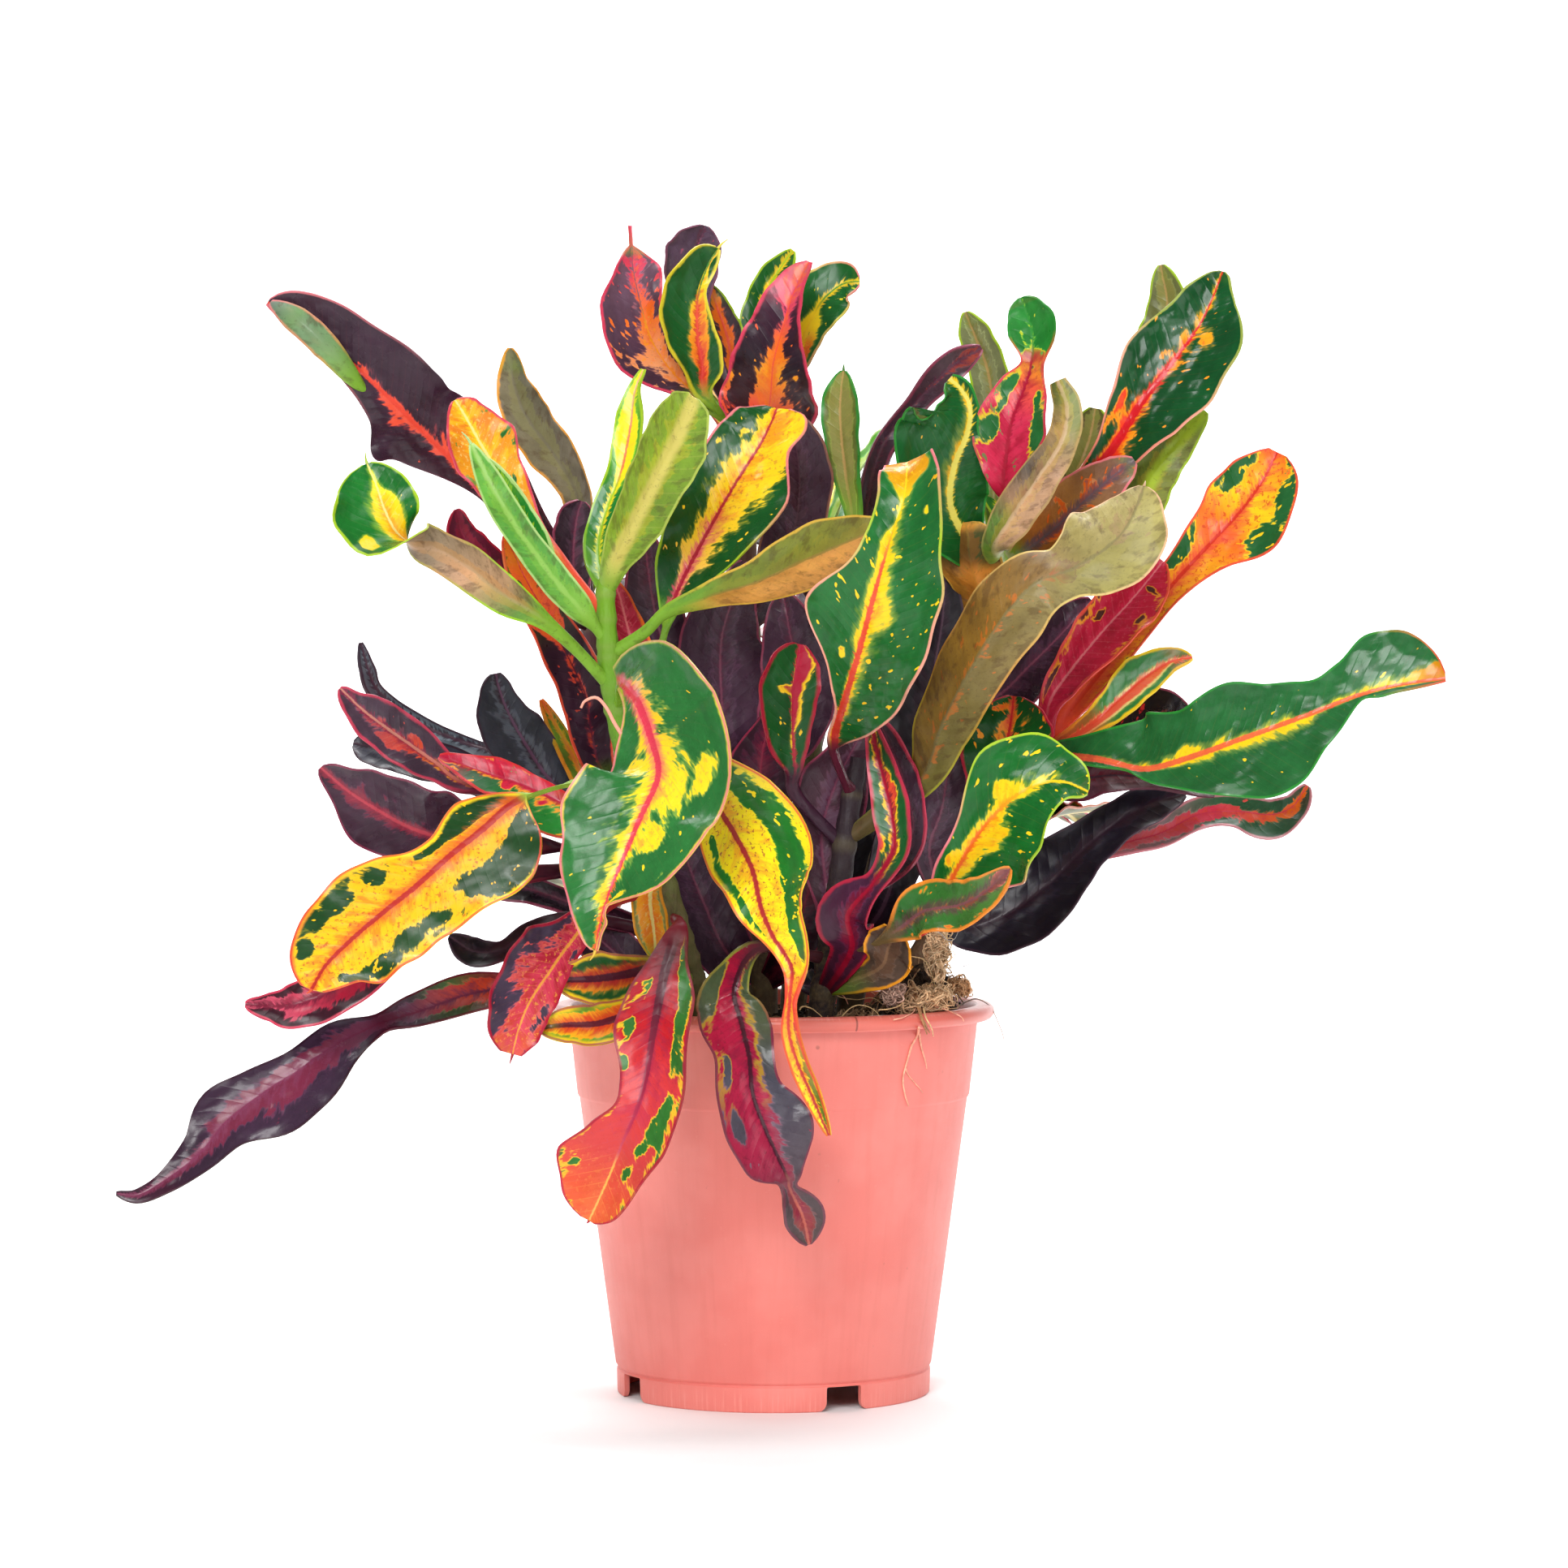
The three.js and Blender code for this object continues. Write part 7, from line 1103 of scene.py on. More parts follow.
class Shader:
    """A material's nodes, written as sums."""

    def __init__(self, name, **sockets):
        self.material = bpy.data.materials.new(name)
        self.material.use_nodes = True
        self.nodes = self.material.node_tree.nodes
        self.links = self.material.node_tree.links
        self.nodes.clear()
        out = self.nodes.new("ShaderNodeOutputMaterial")
        self.surface = self.nodes.new("ShaderNodeBsdfPrincipled")
        self.links.new(self.surface.outputs[0], out.inputs[0])
        for key, value in sockets.items():
            self.surface.inputs[key.replace("_", " ")].default_value = value

    def put(self, socket, value):
        if isinstance(value, bpy.types.NodeSocket):
            self.links.new(value, socket)
        elif value is not None:
            socket.default_value = value

    def set(self, name, value):
        self.put(self.surface.inputs[name], value)

    def math(self, operation, *values):
        node = self.nodes.new("ShaderNodeMath")
        node.operation = operation
        for socket, value in zip(node.inputs, values):
            self.put(socket, value)
        return node.outputs[0]

    def add(self, a, b):
        return self.math("ADD", a, b)

    def sub(self, a, b):
        return self.math("SUBTRACT", a, b)

    def mul(self, a, b):
        return self.math("MULTIPLY", a, b)

    def step(self, value, low, high):
        """0 where value is at low, 1 at high, smoothly between."""
        node = self.nodes.new("ShaderNodeMapRange")
        node.interpolation_type = "SMOOTHSTEP"
        self.put(node.inputs["Value"], value)
        self.put(node.inputs["From Min"], low)
        self.put(node.inputs["From Max"], high)
        return node.outputs["Result"]

    def mix(self, factor, a, b, blend="MIX"):
        node = self.nodes.new("ShaderNodeMix")
        node.data_type = "RGBA"
        node.blend_type = blend
        self.put(node.inputs[0], factor)
        for socket, colour in ((node.inputs[6], a), (node.inputs[7], b)):
            self.put(socket, (*colour, 1) if isinstance(colour, list) else colour)
        return node.outputs[2]

    def shaded(self, colour, amount):
        """A colour made darker or lighter by a factor."""
        return self.mix(1.0, colour, self.vector(amount, amount, amount), "MULTIPLY")

    def vector(self, x=0.0, y=0.0, z=0.0):
        node = self.nodes.new("ShaderNodeCombineXYZ")
        for socket, value in zip(node.inputs, (x, y, z)):
            self.put(socket, value)
        return node.outputs[0]

    def split(self, vector):
        node = self.nodes.new("ShaderNodeSeparateXYZ")
        self.put(node.inputs[0], vector)
        return node.outputs[0], node.outputs[1], node.outputs[2]

    def point(self, name):
        node = self.nodes.new("ShaderNodeAttribute")
        node.attribute_name = name
        return node.outputs["Vector"]

    def colour(self, name):
        node = self.nodes.new("ShaderNodeAttribute")
        node.attribute_name = name
        return node.outputs["Color"]

    def place(self):
        """Where the point is, in millimetres."""
        node = self.nodes.new("ShaderNodeTexCoord")
        scale = self.nodes.new("ShaderNodeVectorMath")
        scale.operation = "SCALE"
        self.put(scale.inputs[0], node.outputs["Object"])
        scale.inputs["Scale"].default_value = 1000
        return scale.outputs[0]

    def noise(self, vector, scale, detail=2.0, roughness=0.5):
        node = self.nodes.new("ShaderNodeTexNoise")
        self.put(node.inputs["Vector"], vector)
        for key, value in (("Scale", scale), ("Detail", detail), ("Roughness", roughness)):
            node.inputs[key].default_value = value
        return node.outputs[0]

    def cells(self, vector, scale):
        node = self.nodes.new("ShaderNodeTexVoronoi")
        self.put(node.inputs["Vector"], vector)
        node.inputs["Scale"].default_value = scale
        return node.outputs["Distance"]

    def bump(self, height, distance_mm, strength):
        node = self.nodes.new("ShaderNodeBump")
        node.inputs["Strength"].default_value = strength
        node.inputs["Distance"].default_value = distance_mm * MM
        self.put(node.inputs["Height"], height)
        self.set("Normal", node.outputs[0])


def leaf_material():
    """A glossy blade: a feathered patch along the rib, flecks and blotches that follow the veins, a rim."""
    s = Shader("croton_leaf", IOR=1.45, Specular_IOR_Level=0.28, Coat_Weight=0.1, Coat_Roughness=0.12)
    across, run, under = s.split(s.point("place"))
    share, half, seed = s.split(s.point("span"))
    centre, ragged, fleck = s.split(s.point("marks"))
    rib_mm, edge_mm, glow_mm = s.split(s.point("lines"))
    blotch, blade, push = s.split(s.point("more"))
    bleed, keel_mm, gloss = s.split(s.point("extra"))
    from_rib = s.math("ABSOLUTE", across)
    out = s.math("ABSOLUTE", share)
    half_side = s.mul(s.math("SIGN", across), 5.3)
    vein = s.sub(run, s.mul(from_rib, VEIN_SLANT))
    third = s.add(seed, half_side)

    def veined(along_vein, off_rib, shift, detail, roughness=0.5):
        """Noise that follows the side veins, different in each half of a blade."""
        place = s.vector(s.mul(vein, along_vein), s.mul(from_rib, off_rib), s.add(third, shift))
        return s.noise(place, 1.0, detail, roughness)

    def level(along_rib, off_rib, shift, detail, roughness=0.5):
        """Noise over the whole blade."""
        place = s.vector(s.mul(run, along_rib), s.mul(across, off_rib), s.add(seed, shift))
        return s.noise(place, 1.0, detail, roughness)

    wide = veined(0.09, 0.07, 0.0, 1.0)
    lobes = veined(0.24, 0.2, 2.7, 2.0, 0.6)
    fringe = veined(1.0, 0.3, 0.0, 2.0, 0.65)
    uneven = s.add(s.mul(s.sub(lobes, 0.5), 2.4), s.mul(s.sub(wide, 0.5), 1.5))
    uneven = s.add(uneven, s.mul(s.sub(fringe, 0.5), 1.0))
    patch_at = s.add(s.add(s.sub(centre, out), s.mul(uneven, ragged)), push)
    patch = s.step(patch_at, -0.03, 0.03)
    halo = s.step(patch_at, -0.13, 0.02)
    outline = s.step(patch_at, 0.2, 0.06)
    spots = veined(0.4, 0.36, 11.0, 1.5, 0.55)
    limit = s.sub(0.77, s.mul(fleck, 0.3))
    flecks = s.step(spots, s.sub(limit, 0.015), s.add(limit, 0.015))
    stains = veined(0.27, 0.24, 23.0, 3.0, 0.6)
    stains = s.add(stains, s.mul(s.sub(out, 0.55), 0.16))
    limit = s.sub(0.77, s.mul(blotch, 0.42))
    blotches = s.step(stains, s.sub(limit, 0.016), s.add(limit, 0.016))
    grit = level(0.8, 0.8, 31.0, 2.0, 0.6)
    dots = level(1.9, 1.9, 53.0, 2.0, 0.6)

    tone = level(0.07, 0.11, 0.0, 4.0, 0.6)
    tone = s.mul(s.add(0.42, s.mul(tone, 1.12)), s.add(0.86, s.mul(grit, 0.28)))
    between = s.math("COSINE", s.mul(vein, 2 * math.pi / VEIN_SPACING))
    ground = s.shaded(s.shaded(s.colour("ground"), tone), s.add(1.0, s.mul(halo, 1.1)))
    ground = s.mix(s.mul(halo, 0.22), ground, s.colour("patch"))
    warm = veined(0.35, 0.2, 41.0, 3.0)
    warm = s.add(warm, s.mul(s.step(from_rib, 9.0, 0.5), 0.12))
    painted = s.mix(s.mul(s.step(warm, 0.52, 0.74), 0.6), s.colour("patch"), s.colour("glow"))
    speckled = s.mul(s.step(grit, 0.57, 0.66), s.add(0.12, s.mul(fleck, 1.4)))
    painted = s.mix(speckled, painted, s.colour("rib"))
    painted = s.mix(s.mul(outline, 0.85), painted, s.colour("rim"))
    mask = s.mul(patch, s.sub(1.0, blotches))
    mask = s.math("MAXIMUM", mask, s.mul(flecks, s.sub(1.0, patch)))
    face = s.mix(mask, ground, painted)
    glow_edge = s.add(from_rib, s.mul(s.sub(fringe, 0.5), 5.0))
    glow = s.step(glow_edge, glow_mm, s.mul(glow_mm, 0.3))
    face = s.mix(s.mul(glow, s.mul(s.step(glow_mm, 0.2, 1.0), 0.8)), face, s.colour("glow"))
    rib = s.step(s.add(from_rib, s.mul(s.sub(fringe, 0.5), 0.7)), s.add(rib_mm, 0.2), s.sub(rib_mm, 0.2))
    face = s.mix(s.mul(rib, 0.92), face, s.colour("rib"))
    veinlet = s.mul(s.step(between, 0.955, 0.998), s.sub(0.5, s.mul(out, 0.4)))
    veinlet = s.mul(veinlet, s.add(0.06, s.mul(mask, 0.36)))
    face = s.mix(veinlet, face, s.colour("rib"))

    to_edge = s.add(s.sub(half, from_rib), s.mul(s.sub(lobes, 0.5), 1.6))
    edge = s.step(to_edge, s.add(edge_mm, 0.25), s.mul(edge_mm, 0.5))
    edge = s.mul(edge, s.step(s.noise(s.vector(s.mul(run, 0.05), 0.0, third), 1.0, 1.0), 0.3, 0.5))
    face = s.mix(s.mul(edge, 0.85), face, s.colour("edge"))
    hem = s.step(s.sub(half, from_rib), 0.9, 0.45)
    face = s.mix(s.mul(hem, 0.8), face, s.colour("hem"))
    face = s.mix(s.mul(s.step(dots, 0.62, 0.7), 0.16), face, lin(DARK_DOT))

    back = s.shaded(s.colour("under"), tone)
    back = s.mix(s.mul(mask, bleed), back, painted)
    back = s.mix(s.mul(s.step(between, 0.9, 0.995), 0.1), back, s.colour("under_rib"))
    keel = s.step(s.add(from_rib, s.mul(s.sub(lobes, 0.5), 1.5)), keel_mm, s.mul(keel_mm, 0.3))
    back = s.mix(s.mul(keel, 0.7), back, s.colour("under_rib"))
    back = s.mix(s.mul(s.step(stains, 0.5, 0.66), 0.42), back, lin(STAIN))
    back = s.mix(s.mul(s.math("MAXIMUM", edge, hem), 0.8), back, s.colour("edge"))
    back = s.mix(s.mul(s.step(grit, 0.58, 0.7), 0.25), back, lin(UNDER_GRIT))
    s.set("Base Color", s.mix(under, face, back))

    film = level(0.2, 0.2, 0.0, 3.0)
    roughness = s.sub(s.add(0.33, s.mul(film, 0.22)), s.mul(gloss, 0.26))
    s.set("Roughness", s.add(roughness, s.mul(under, 0.2)))
    arch = s.math("ABSOLUTE", s.math("COSINE", s.mul(vein, math.pi / VEIN_SPACING)))
    pillow = s.mul(s.mul(s.math("POWER", arch, 0.5), -1.0), s.mul(blade, s.step(out, 1.0, 0.55)))
    grain = level(1.1, 1.1, 0.0, 2.0, 0.6)
    swell = level(0.1, 0.14, 7.0, 1.0)
    height = s.add(s.mul(pillow, 0.35), s.add(s.mul(grain, 0.1), s.mul(swell, 6.0)))
    s.bump(height, 0.5, 0.6)
    return s.material


def bark_material():
    """Stems: green and smooth at the top, brown and corky lower down, with pale leaf scars."""
    s = Shader("croton_stem", IOR=1.45)
    young, _, scars = s.split(s.point("place"))
    place = s.place()
    x, y, z = s.split(place)
    streak = s.noise(s.vector(s.mul(x, 0.9), s.mul(y, 0.9), s.mul(z, 0.12)), 1.0, 3.0, 0.6)
    cork = s.noise(place, 0.55, 4.0, 0.65)
    colour = s.mix(s.mul(s.step(cork, 0.4, 0.7), 0.5), s.colour("stem"), lin(CORK))
    colour = s.mix(s.mul(s.step(streak, 0.45, 0.7), 0.35), colour, lin(FURROW))
    colour = s.mix(s.step(young, 0.45, 0.8), colour, s.colour("stem"))
    colour = s.mix(s.mul(scars, 0.14), colour, lin(SCAR))
    s.set("Base Color", colour)
    s.set("Roughness", s.sub(0.75, s.mul(young, 0.25)))
    s.bump(s.add(cork, streak), 0.5, 0.6)
    return s.material


def peat_material():
    """Dark, crumbly peat with paler specks of bark and fibre, and painted shade in its pits."""
    s = Shader("peat", IOR=1.4, Roughness=0.95)
    place = s.place()
    coarse = s.noise(place, 0.35, 4.0, 0.65)
    fine = s.noise(place, 1.6, 3.0, 0.7)
    colour = s.mix(s.step(coarse, 0.35, 0.7), lin(PEAT_DARK), lin(PEAT_LIGHT))
    colour = s.mix(s.mul(s.step(fine, 0.62, 0.74), 0.8), colour, lin(PEAT_FIBRE))
    # Painted shade: near-black where the fine relief dips into pits
    colour = s.mix(s.mul(s.step(fine, 0.34, 0.24), 0.6), colour, lin(PEAT_PIT_SHADE))
    s.set("Base Color", s.mix(1.0, colour, s.colour("tint"), "MULTIPLY"))
    s.bump(s.add(s.mul(coarse, 1.5), fine), 1.0, 0.9)
    return s.material


def fibre_material():
    """Coir and fine roots, brown to straw."""
    s = Shader("coir", IOR=1.45, Roughness=0.75)
    fine = s.noise(s.place(), 0.8, 3.0, 0.6)
    shade = s.add(0.75, s.mul(s.step(fine, 0.35, 0.7), 0.45))
    s.set("Base Color", s.shaded(s.colour("tint"), shade))
    s.bump(fine, 0.15, 0.5)
    return s.material


def pot_material():
    """Salmon plastic, a little dusty, with a glossier lip, specks, a moulding seam and faint upright streaks."""
    glow = dict(Subsurface_Weight=0.1, Subsurface_Scale=0.004, Subsurface_Radius=(1.0, 0.45, 0.3))
    s = Shader("nursery_pot_plastic", IOR=1.49, **glow)
    place = s.place()
    x, y, z = s.split(place)
    cloud = s.noise(place, 0.035, 3.0, 0.55)
    dust = s.noise(place, 0.5, 4.0, 0.7)
    turn = s.math("ARCTAN2", y, x)
    streak = s.noise(s.vector(s.mul(turn, 14.0), s.mul(z, 0.02), 0.0), 1.0, 3.0, 0.6)
    colour = s.mix(s.step(cloud, 0.35, 0.65), lin(POT_COLOUR), lin(POT_PALE))
    colour = s.mix(s.mul(s.step(streak, 0.45, 0.75), 0.2), colour, lin(POT_DEEP))
    colour = s.mix(s.mul(s.step(dust, 0.6, 0.75), 0.15), colour, lin(POT_DUST))
    lip = s.step(z, LIP_LOW, LIP_FULL)
    colour = s.mix(s.mul(lip, 0.85), colour, lin(LIP_COLOUR))
    speck = s.cells(place, 0.085)
    size = s.add(0.03, s.mul(s.noise(place, 0.05, 1.0), 0.075))
    gate = s.step(s.noise(place, 0.02, 1.0), 0.47, 0.53)
    colour = s.mix(s.mul(s.step(speck, size, s.mul(size, 0.4)), s.mul(gate, 0.7)), colour, lin(POT_SPECK))
    splash = s.step(s.noise(s.vector(x, y, s.mul(z, 0.7)), 0.33, 4.0, 0.6), 0.7, 0.76)
    splash = s.mul(splash, s.step(z, 122.0, 60.0))
    colour = s.mix(s.mul(splash, 0.3), colour, lin(POT_SPLASH))
    scuff = s.noise(s.vector(s.mul(turn, 60.0), s.mul(z, 0.05), 1.0), 1.0, 3.0, 0.7)
    rims = s.math("MAXIMUM", s.step(z, LIP_SHOULDER, LIP_TOP), s.step(z, FOOT_STEP, 1.0))
    colour = s.mix(s.mul(s.mul(rims, s.step(scuff, 0.48, 0.66)), 0.35), colour, lin(POT_SCUFF))
    seam = s.step(s.math("ABSOLUTE", s.sub(turn, math.radians(SEAM_DEG))), 0.0065, 0.002)
    colour = s.mix(s.mul(s.mul(seam, lip), 0.75), colour, lin(POT_SEAM))
    s.set("Base Color", colour)
    s.set("Roughness", s.sub(s.add(0.42, s.mul(dust, 0.2)), s.mul(lip, 0.2)))
    height = s.add(s.mul(s.noise(place, 1.8, 2.0), 0.25), s.mul(s.noise(place, 0.05, 2.0), 1.5))
    s.bump(height, 0.25, 0.4)
    return s.material


# Pot and peat


def linked(name, shape):
    """A bmesh as an object in the scene."""
    mesh = bpy.data.meshes.new(name)
    shape.to_mesh(mesh)
    shape.free()
    return added(name, mesh)


def make_pot(material):
    """The pot's finer lathe, on the same profile, with its notches and drain holes cut through."""
    turn = circle(POT_SIDES)
    radii, heights = np.array(POT_PROFILE, float).T[:, :, None]
    points = np.stack([radii * np.cos(turn), radii * np.sin(turn), heights + 0 * turn], -1)
    shell = bmesh.new()
    grid = [[shell.verts.new(Vector(point) * MM) for point in ring] for ring in points]
    for low, high in zip(grid, grid[1:]):
        for j in range(POT_SIDES):
            k = (j + 1) % POT_SIDES
            shell.faces.new([low[j], low[k], high[k], high[j]])
    shell.faces.new(list(reversed(grid[0])))
    shell.faces.new(grid[-1])
    bmesh.ops.recalc_face_normals(shell, faces=shell.faces)
    pot = linked("nursery_pot", shell)
    cutters = []
    for i in range(NOTCH_COUNT):
        angle = math.radians(NOTCH_FIRST_DEG + i * 360 / NOTCH_COUNT)
        cutters += [notch_cutter(angle), drain_cutter(angle)]
    for cutter in cutters:
        cut = pot.modifiers.new("cut", "BOOLEAN")
        cut.operation = "DIFFERENCE"
        cut.solver = "EXACT"
        cut.object = cutter
    bpy.context.view_layer.update()
    graph = bpy.context.evaluated_depsgraph_get()
    finished = bpy.data.meshes.new_from_object(pot.evaluated_get(graph))
    pot.modifiers.clear()
    pot.data = finished
    for cutter in cutters:
        bpy.data.objects.remove(cutter)
    finished.materials.clear()
    finished.materials.append(material)
    finished.polygons.foreach_set("use_smooth", [True] * len(finished.polygons))
    finished.set_sharp_from_angle(angle=math.radians(28))
    settle(pot, "pot")


def prism(outline, low, high, place):
    """An upright prism of a closed outline between two depths, put in place by a function."""
    solid = bmesh.new()
    front = [solid.verts.new(place(a, b, low)) for a, b in outline]
    back = [solid.verts.new(place(a, b, high)) for a, b in outline]
    solid.faces.new(front)
    solid.faces.new(list(reversed(back)))
    for i in range(len(outline)):
        k = (i + 1) % len(outline)
        solid.faces.new([front[i], front[k], back[k], back[i]])
    bmesh.ops.recalc_face_normals(solid, faces=solid.faces)
    return linked("cutter", solid)


def around_axis(x, y, z, angle):
    """A point turned about the pot's axis."""
    return Vector((x * math.cos(angle) - y * math.sin(angle), x * math.sin(angle) + y * math.cos(angle), z)) * MM


def notch_cutter(angle):
    """Cuts one notch, with flared feet, through the foot."""
    half, flare, top = NOTCH_WIDTH / 2, NOTCH_FLARE, NOTCH_HEIGHT
    outline = [(-half - flare, -1), (half + flare, -1), (half + flare, 0)]
    outline += [(half + flare * (1 - math.sin(t)), flare * (1 - math.cos(t))) for t in (0.3, 0.6, 0.9, 1.2, 1.5)]
    outline += [(half, top - 0.6), (half - 0.2, top - 0.15), (half - 0.6, top)]
    outline += [(-a, b) for a, b in reversed(outline[2:])]
    return prism(outline, FOOT_RADIUS - 6.4, FOOT_RADIUS + 3, lambda a, b, depth: around_axis(depth, a, b, angle))


def drain_cutter(angle):
    """Cuts one drain hole through the bottom."""
    outline = [(DRAIN_RING + DRAIN_RADIUS * math.cos(t), DRAIN_RADIUS * math.sin(t)) for t in circle(24)]
    return prism(outline, DRAIN_LOW, DRAIN_HIGH, lambda a, b, height: around_axis(a, b, height, angle))


def soil_height(x, y):
    """The peat's level: gentle crumbs and the lump of coir."""
    crumbs = 0.9 * np.sin(0.31 * x + 1) * np.cos(0.27 * y) + 0.6 * np.sin(0.62 * x + 0.5 * y)
    away = ((x - LUMP_X) ** 2 + (y - LUMP_Y) ** 2) / (2 * LUMP_SPREAD**2)
    return SOIL_LEVEL + crumbs + LUMP_HEIGHT * np.exp(-away)


def make_soil(peat, coir):
    """The peat's crumbly top on its plug, with painted light and shade on its relief, loose crumbs, and the coir and
    roots of the lump.
    """
    rng = np.random.default_rng(SOIL_SEED)
    body = Body()
    sides = SOIL_SIDES
    radii = np.concatenate([np.linspace(0.4, 56, 88), np.linspace(56.5, SOIL_REACH, 9)])
    turn = circle(sides)
    x, y = radii[:, None] * np.cos(turn), radii[:, None] * np.sin(turn)
    z = soil_height(x, y)
    rough = np.array([
        noise.fractal(Vector((a * 0.35, b * 0.35, 0.0)), 0.6, 2.1, 5) for a, b in zip(x.ravel(), y.ravel())
    ]).reshape(x.shape)
    z = z + SOIL_ROUGH * rough
    rim = smooth(radii, RIM_START, SOIL_REACH)[:, None]
    z = z * (1 - rim) + rim * np.minimum(z, RIM_LEVEL + 0.8 * rough)
    # Painted light and shade: the peat is paler where its rough top rises and darker where it dips
    tint = np.broadcast_to((0.9 + 0.5 * rough)[..., None], (*x.shape, 3)).reshape(-1, 3)
    plug = [(SOIL_REACH, PLUG_TOP), (PLUG_RADIUS, PLUG_FLOOR)]
    wall = [np.stack([radius * np.cos(turn), radius * np.sin(turn), level + 0 * turn], -1) for radius, level in plug]
    points = np.concatenate([np.stack([x, y, z], -1), wall]).reshape(-1, 3)
    rings = len(radii) + 2
    a, b = ring_corners(rings, sides)
    faces = np.stack([a, a + sides, b + sides, b], -1).reshape(-1, 4)
    cap = fan(len(points), 0, sides)
    base = fan(len(points) + 1, (rings - 1) * sides, sides, FLIPPED)
    points = np.concatenate([points, [[0, 0, z[0].mean()], [0, 0, PLUG_FLOOR]]])
    tint = np.concatenate([tint, np.full((2 * sides + 2, 3), 0.9)])
    body.add(points, np.concatenate([faces, cap, base]), {"tint": tint})
    scatter_crumbs(body, rng)
    piece = body.build("peat_top", [peat], sharp_deg=60)
    settle(piece, "soil")

    body = Body()
    for centre, size, count, length, drift, tint in TANGLES:
        for _ in range(count):
            tangled_strand(body, rng, centre, size, length, drift, tint)
    for _ in range(LOOSE_FIBRES):
        loose_fibre(body, rng)
    for radius, tint, depth, seen in ROOTS:
        points = np.array([beside_wall(x, z, gap, depth) for x, z, gap in seen])
        path, _ = along(points, np.linspace(0, len(points) - 1, ROOT_RINGS))
        path = path + np.cumsum(rng.normal(0, 0.025, path.shape), axis=0)
        tube(body, path, np.linspace(radius, radius * 0.45, ROOT_RINGS), STRAND_SIDES, {"tint": lin(tint)})
    piece = body.build("coir_and_roots", [coir])
    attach(piece, "root")


def scatter_crumbs(body, rng):
    """Loose crumbs of peat and bark, each a small bent box, sunk a little into the top."""
    corner = np.array([[a, b, c] for c in (-1, 1) for b in (-1, 1) for a in (-1, 1)], float)
    quads = np.array([[0, 2, 3, 1], [4, 5, 7, 6], [0, 1, 5, 4], [2, 6, 7, 3], [0, 4, 6, 2], [1, 3, 7, 5]])
    for _ in range(CRUMBS):
        radius, angle = CRUMB_REACH * math.sqrt(rng.random()), rng.random() * 2 * math.pi
        x, y = radius * math.cos(angle), radius * math.sin(angle)
        size = 0.35 + 1.0 * rng.random() ** 2.5
        shape = corner * size * rng.uniform(0.5, 1.0, 3) * (1 + rng.normal(0, 0.18, corner.shape))
        turn = rng.random() * 2 * math.pi
        spin = np.array([[math.cos(turn), -math.sin(turn), 0], [math.sin(turn), math.cos(turn), 0], [0, 0, 1]])
        z = float(soil_height(x, y)) + 0.5 * size
        shade = rng.choice([0.7, 1.0, 1.3, 2.6], p=[0.35, 0.35, 0.2, 0.1])
        body.add(shape @ spin.T + [x, y, min(z, CRUMB_TOP)], quads, {"tint": [shade, shade * 0.97, shade * 0.92]})


def tangled_strand(body, rng, centre, size, length, drift, tint):
    """One strand that curls about within a lump, or climbs through it where it drifts."""
    centre, size = np.array(centre, float), np.array(size, float)
    point = centre + size * unit(rng.normal(size=3)) * rng.uniform(0.4, 1.0)
    heading = unit(rng.normal(size=3) + drift)
    path = []
    for _ in range(STRAND_KNOTS):
        point[2] = max(point[2], float(soil_height(point[0], point[1])))
        away = math.hypot(point[0], point[1])
        if away > STRAND_REACH and point[2] < STRAND_LIP:
            point[:2] *= STRAND_REACH / away
        path.append(point.copy())
        pull = (centre - point) / size
        heading = unit(heading + rng.normal(0, 0.42, 3) + 0.45 * pull * np.linalg.norm(pull) + 0.2 * np.array(drift))
        point = point + heading * length * rng.uniform(0.6, 1.1) / STRAND_KNOTS
    smooth_path, _ = along(path, np.linspace(0, STRAND_KNOTS - 1, STRAND_RINGS))
    shade = rng.uniform(0.45, 1.2)
    radius = rng.choice([0.14, 0.22, 0.34], p=[0.4, 0.4, 0.2])
    radii = np.linspace(radius, radius * 0.5, STRAND_RINGS)
    tube(body, smooth_path, radii, STRAND_SIDES, {"tint": np.array(lin(tint)) * shade})


def loose_fibre(body, rng):
    """One strand that lies across the peat."""
    angle, radius = rng.random() * 2 * math.pi, 50 * math.sqrt(rng.random())
    if rng.random() < 0.5:
        angle, radius = rng.uniform(-1.6, -0.2), rng.uniform(25, 52)
    x, y = radius * math.cos(angle), radius * math.sin(angle)
    heading = rng.random() * 2 * math.pi
    bend = rng.normal(0, 0.18)
    length = rng.uniform(8, 26)
    path = []
    for i in range(FIBRE_KNOTS):
        away = math.hypot(x, y)
        if away > FIBRE_REACH:
            x, y = x * FIBRE_REACH / away, y * FIBRE_REACH / away
        arch = math.sin(math.pi * i / (FIBRE_KNOTS - 1))
        path.append([x, y, float(soil_height(x, y)) + 1.0 + 2.6 * arch * rng.random()])
        heading += bend + rng.normal(0, 0.2)
        x += math.cos(heading) * length / FIBRE_KNOTS
        y += math.sin(heading) * length / FIBRE_KNOTS
    smooth_path, _ = along(path, np.linspace(0, FIBRE_KNOTS - 1, FIBRE_RINGS))
    radius = rng.uniform(0.1, 0.24)
    tube(body, smooth_path, radius, STRAND_SIDES, {"tint": np.array(lin(COIR_LOOSE)) * rng.uniform(0.4, 1.0)})


def beside_wall(x, z, gap, depth):
    """A seen point as a place: this far outside the pot's wall, or at a depth of its own."""
    if depth is not None:
        return at_depth(x, z, depth)
    place = at_depth(x, z, -50.0)
    for _ in range(8):
        radius = np.interp(place[2], WALL_HEIGHTS, WALL_RADII) + gap
        place = at_depth(x, z, -math.sqrt(max(radius**2 - place[0] ** 2, 4.0)))
    return place


# Lights, floor and camera

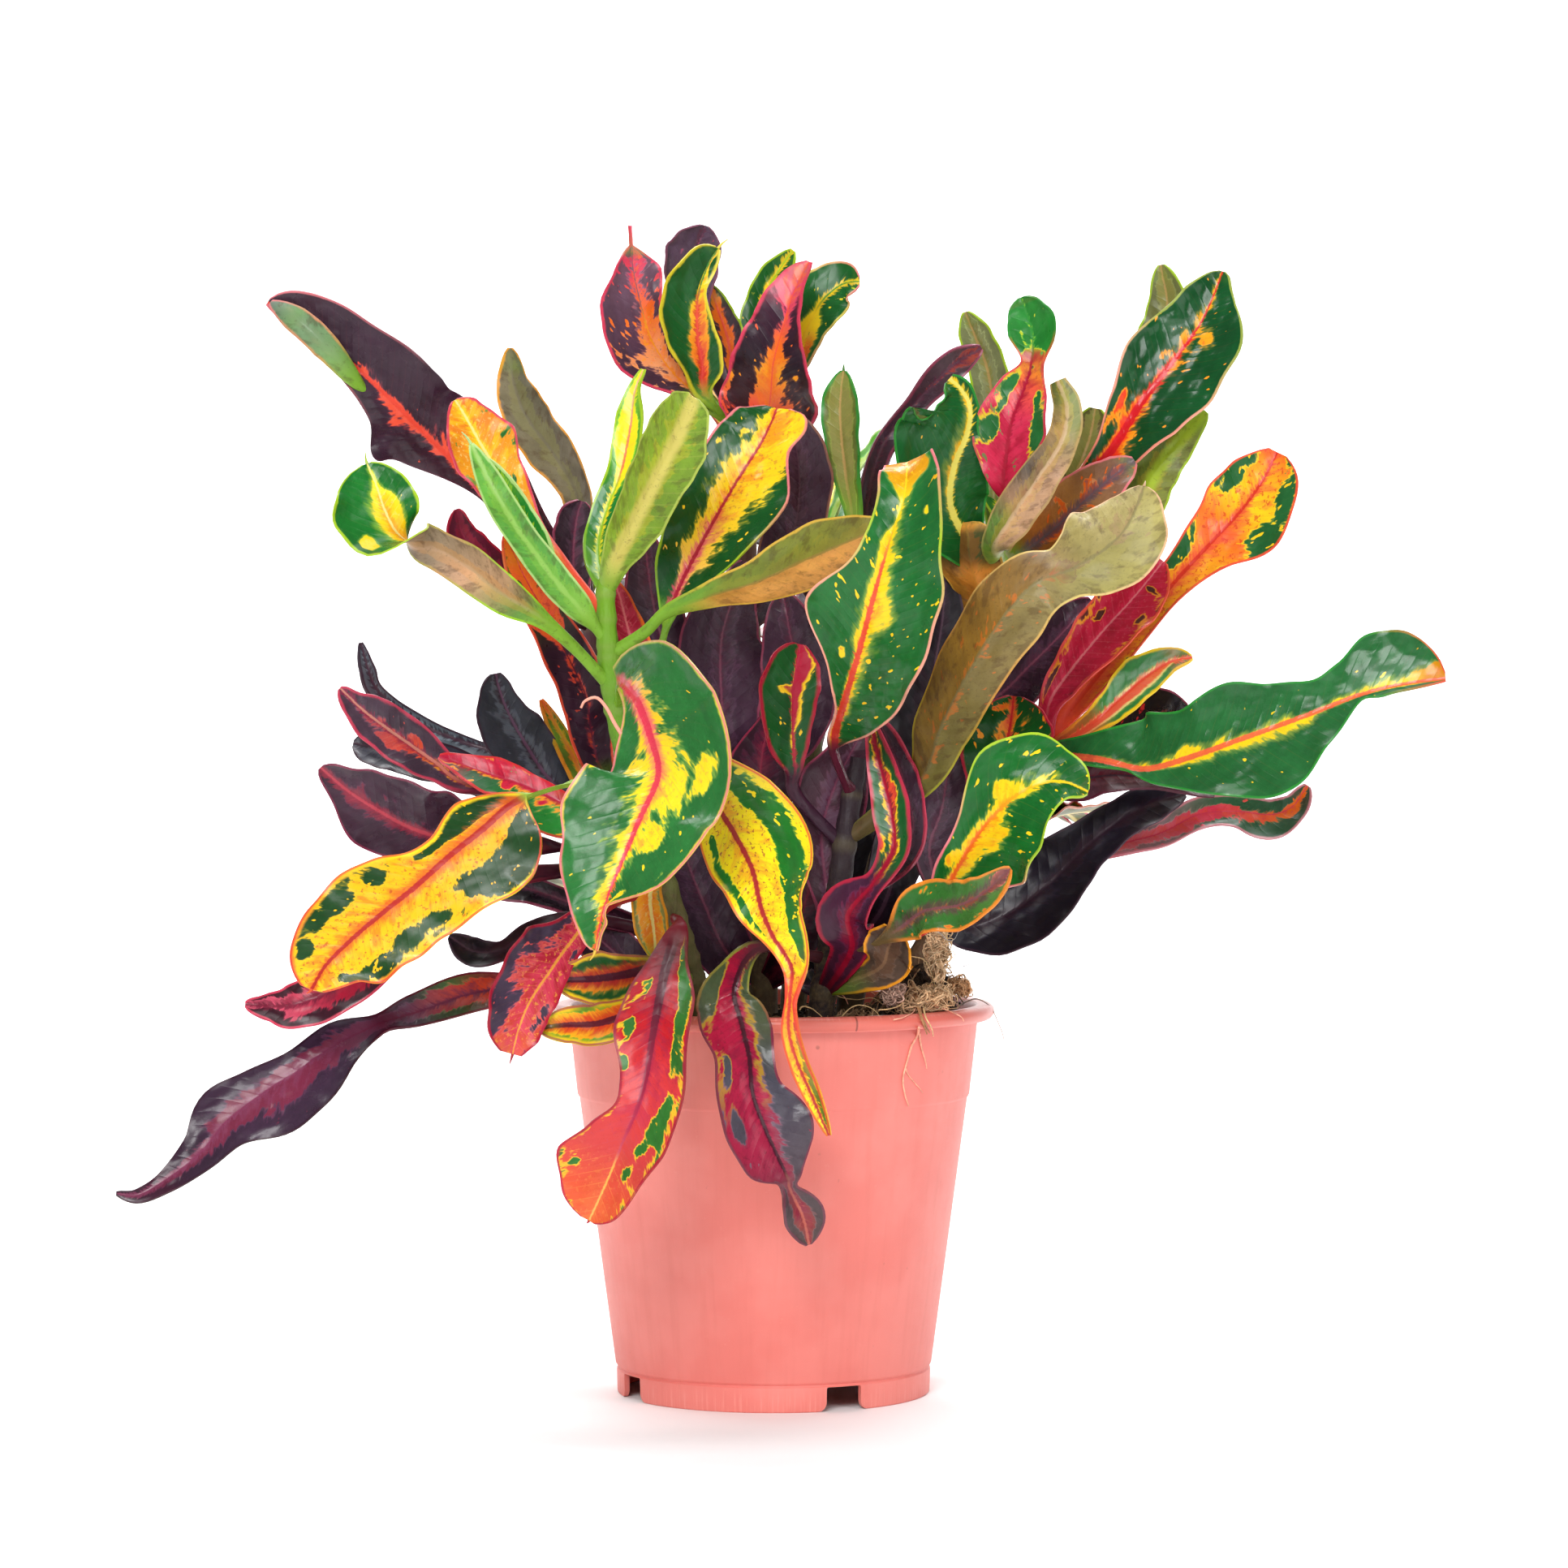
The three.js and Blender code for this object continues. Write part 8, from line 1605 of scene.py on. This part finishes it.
# Lights: name, place, target, size and power, in metres and watts
LIGHTS = [
    ("key", (-0.35, -1.7, 1.15), (0, 0, 0.2), (0.8, 0.8), 28),
    ("fill", (1.0, -1.3, 0.65), (0, 0, 0.2), (0.8, 1.0), 6),
    ("top", (0.1, 0.3, 1.6), (0, 0, 0.2), (1.2, 0.9), 12),
    ("backdrop", (0, 0.75, 1.9), (0, 2.0, 0.4), (2.6, 0.4), 66),
]
AIR_STRENGTH = 0.27

# The white sweep, in metres: half its width, its front, where it bends, the bend's radius and its top
SWEEP_HALF, SWEEP_FRONT, SWEEP_BEND, SWEEP_RADIUS, SWEEP_TOP = 4.5, -4.0, 1.2, 0.8, 4.0
SWEEP_COLOUR = (0.94, 0.94, 0.945, 1)


def aim(piece, place, target):
    """Stands a light or the camera at a place, turned to a target."""
    piece.location = place
    piece.rotation_euler = (Vector(target) - Vector(place)).to_track_quat("-Z", "Y").to_euler()


def area_light(name, place, target, size, power):
    """A soft rectangle of light."""
    data = bpy.data.lights.new(name, "AREA")
    data.shape = "RECTANGLE"
    data.size, data.size_y = size
    data.energy = power
    aim(added(name, data), place, target)


def make_studio():
    """A white floor that bends up behind, even air and four soft lights."""
    s = Shader("studio_floor", Roughness=0.8)
    s.set("Base Color", SWEEP_COLOUR)
    sweep = bmesh.new()
    profile = [(SWEEP_FRONT, 0.0), (SWEEP_BEND, 0.0)]
    for t in np.linspace(0.15, math.pi / 2, 10):
        profile.append((SWEEP_BEND + SWEEP_RADIUS * math.sin(t), SWEEP_RADIUS - SWEEP_RADIUS * math.cos(t)))
    profile.append((SWEEP_BEND + SWEEP_RADIUS, SWEEP_TOP))
    left = [sweep.verts.new((-SWEEP_HALF, y, z)) for y, z in profile]
    right = [sweep.verts.new((SWEEP_HALF, y, z)) for y, z in profile]
    for i in range(len(profile) - 1):
        sweep.faces.new([left[i], left[i + 1], right[i + 1], right[i]])
    floor = linked("studio_sweep", sweep)
    floor.data.materials.append(s.material)
    world = bpy.data.worlds.new("studio_air")
    world.use_nodes = True
    air = world.node_tree.nodes["Background"].inputs
    air["Color"].default_value = (1, 1, 1, 1)
    air["Strength"].default_value = AIR_STRENGTH
    bpy.context.scene.world = world
    for light in LIGHTS:
        area_light(*light)
    bpy.context.scene.view_settings.view_transform = "Standard"


def make_camera():
    """The photograph's view."""
    data = bpy.data.cameras.new("photo_view")
    data.lens = CAMERA_LENS
    data.sensor_width = CAMERA_SENSOR
    camera = added("photo_view", data)
    aim(camera, Vector((EYE_X, -EYE_DISTANCE, EYE_Z)) * MM, Vector((EYE_X, 0, CAMERA_AIM_Z)) * MM)
    bpy.context.scene.camera = camera


make_camera()
make_studio()
LEAF = leaf_material()
BARK = bark_material()
make_pot(pot_material())
make_soil(peat_material(), fibre_material())
for stem_name in STEMS:
    leafy_stem(stem_name)

bpy.context.view_layer.update()
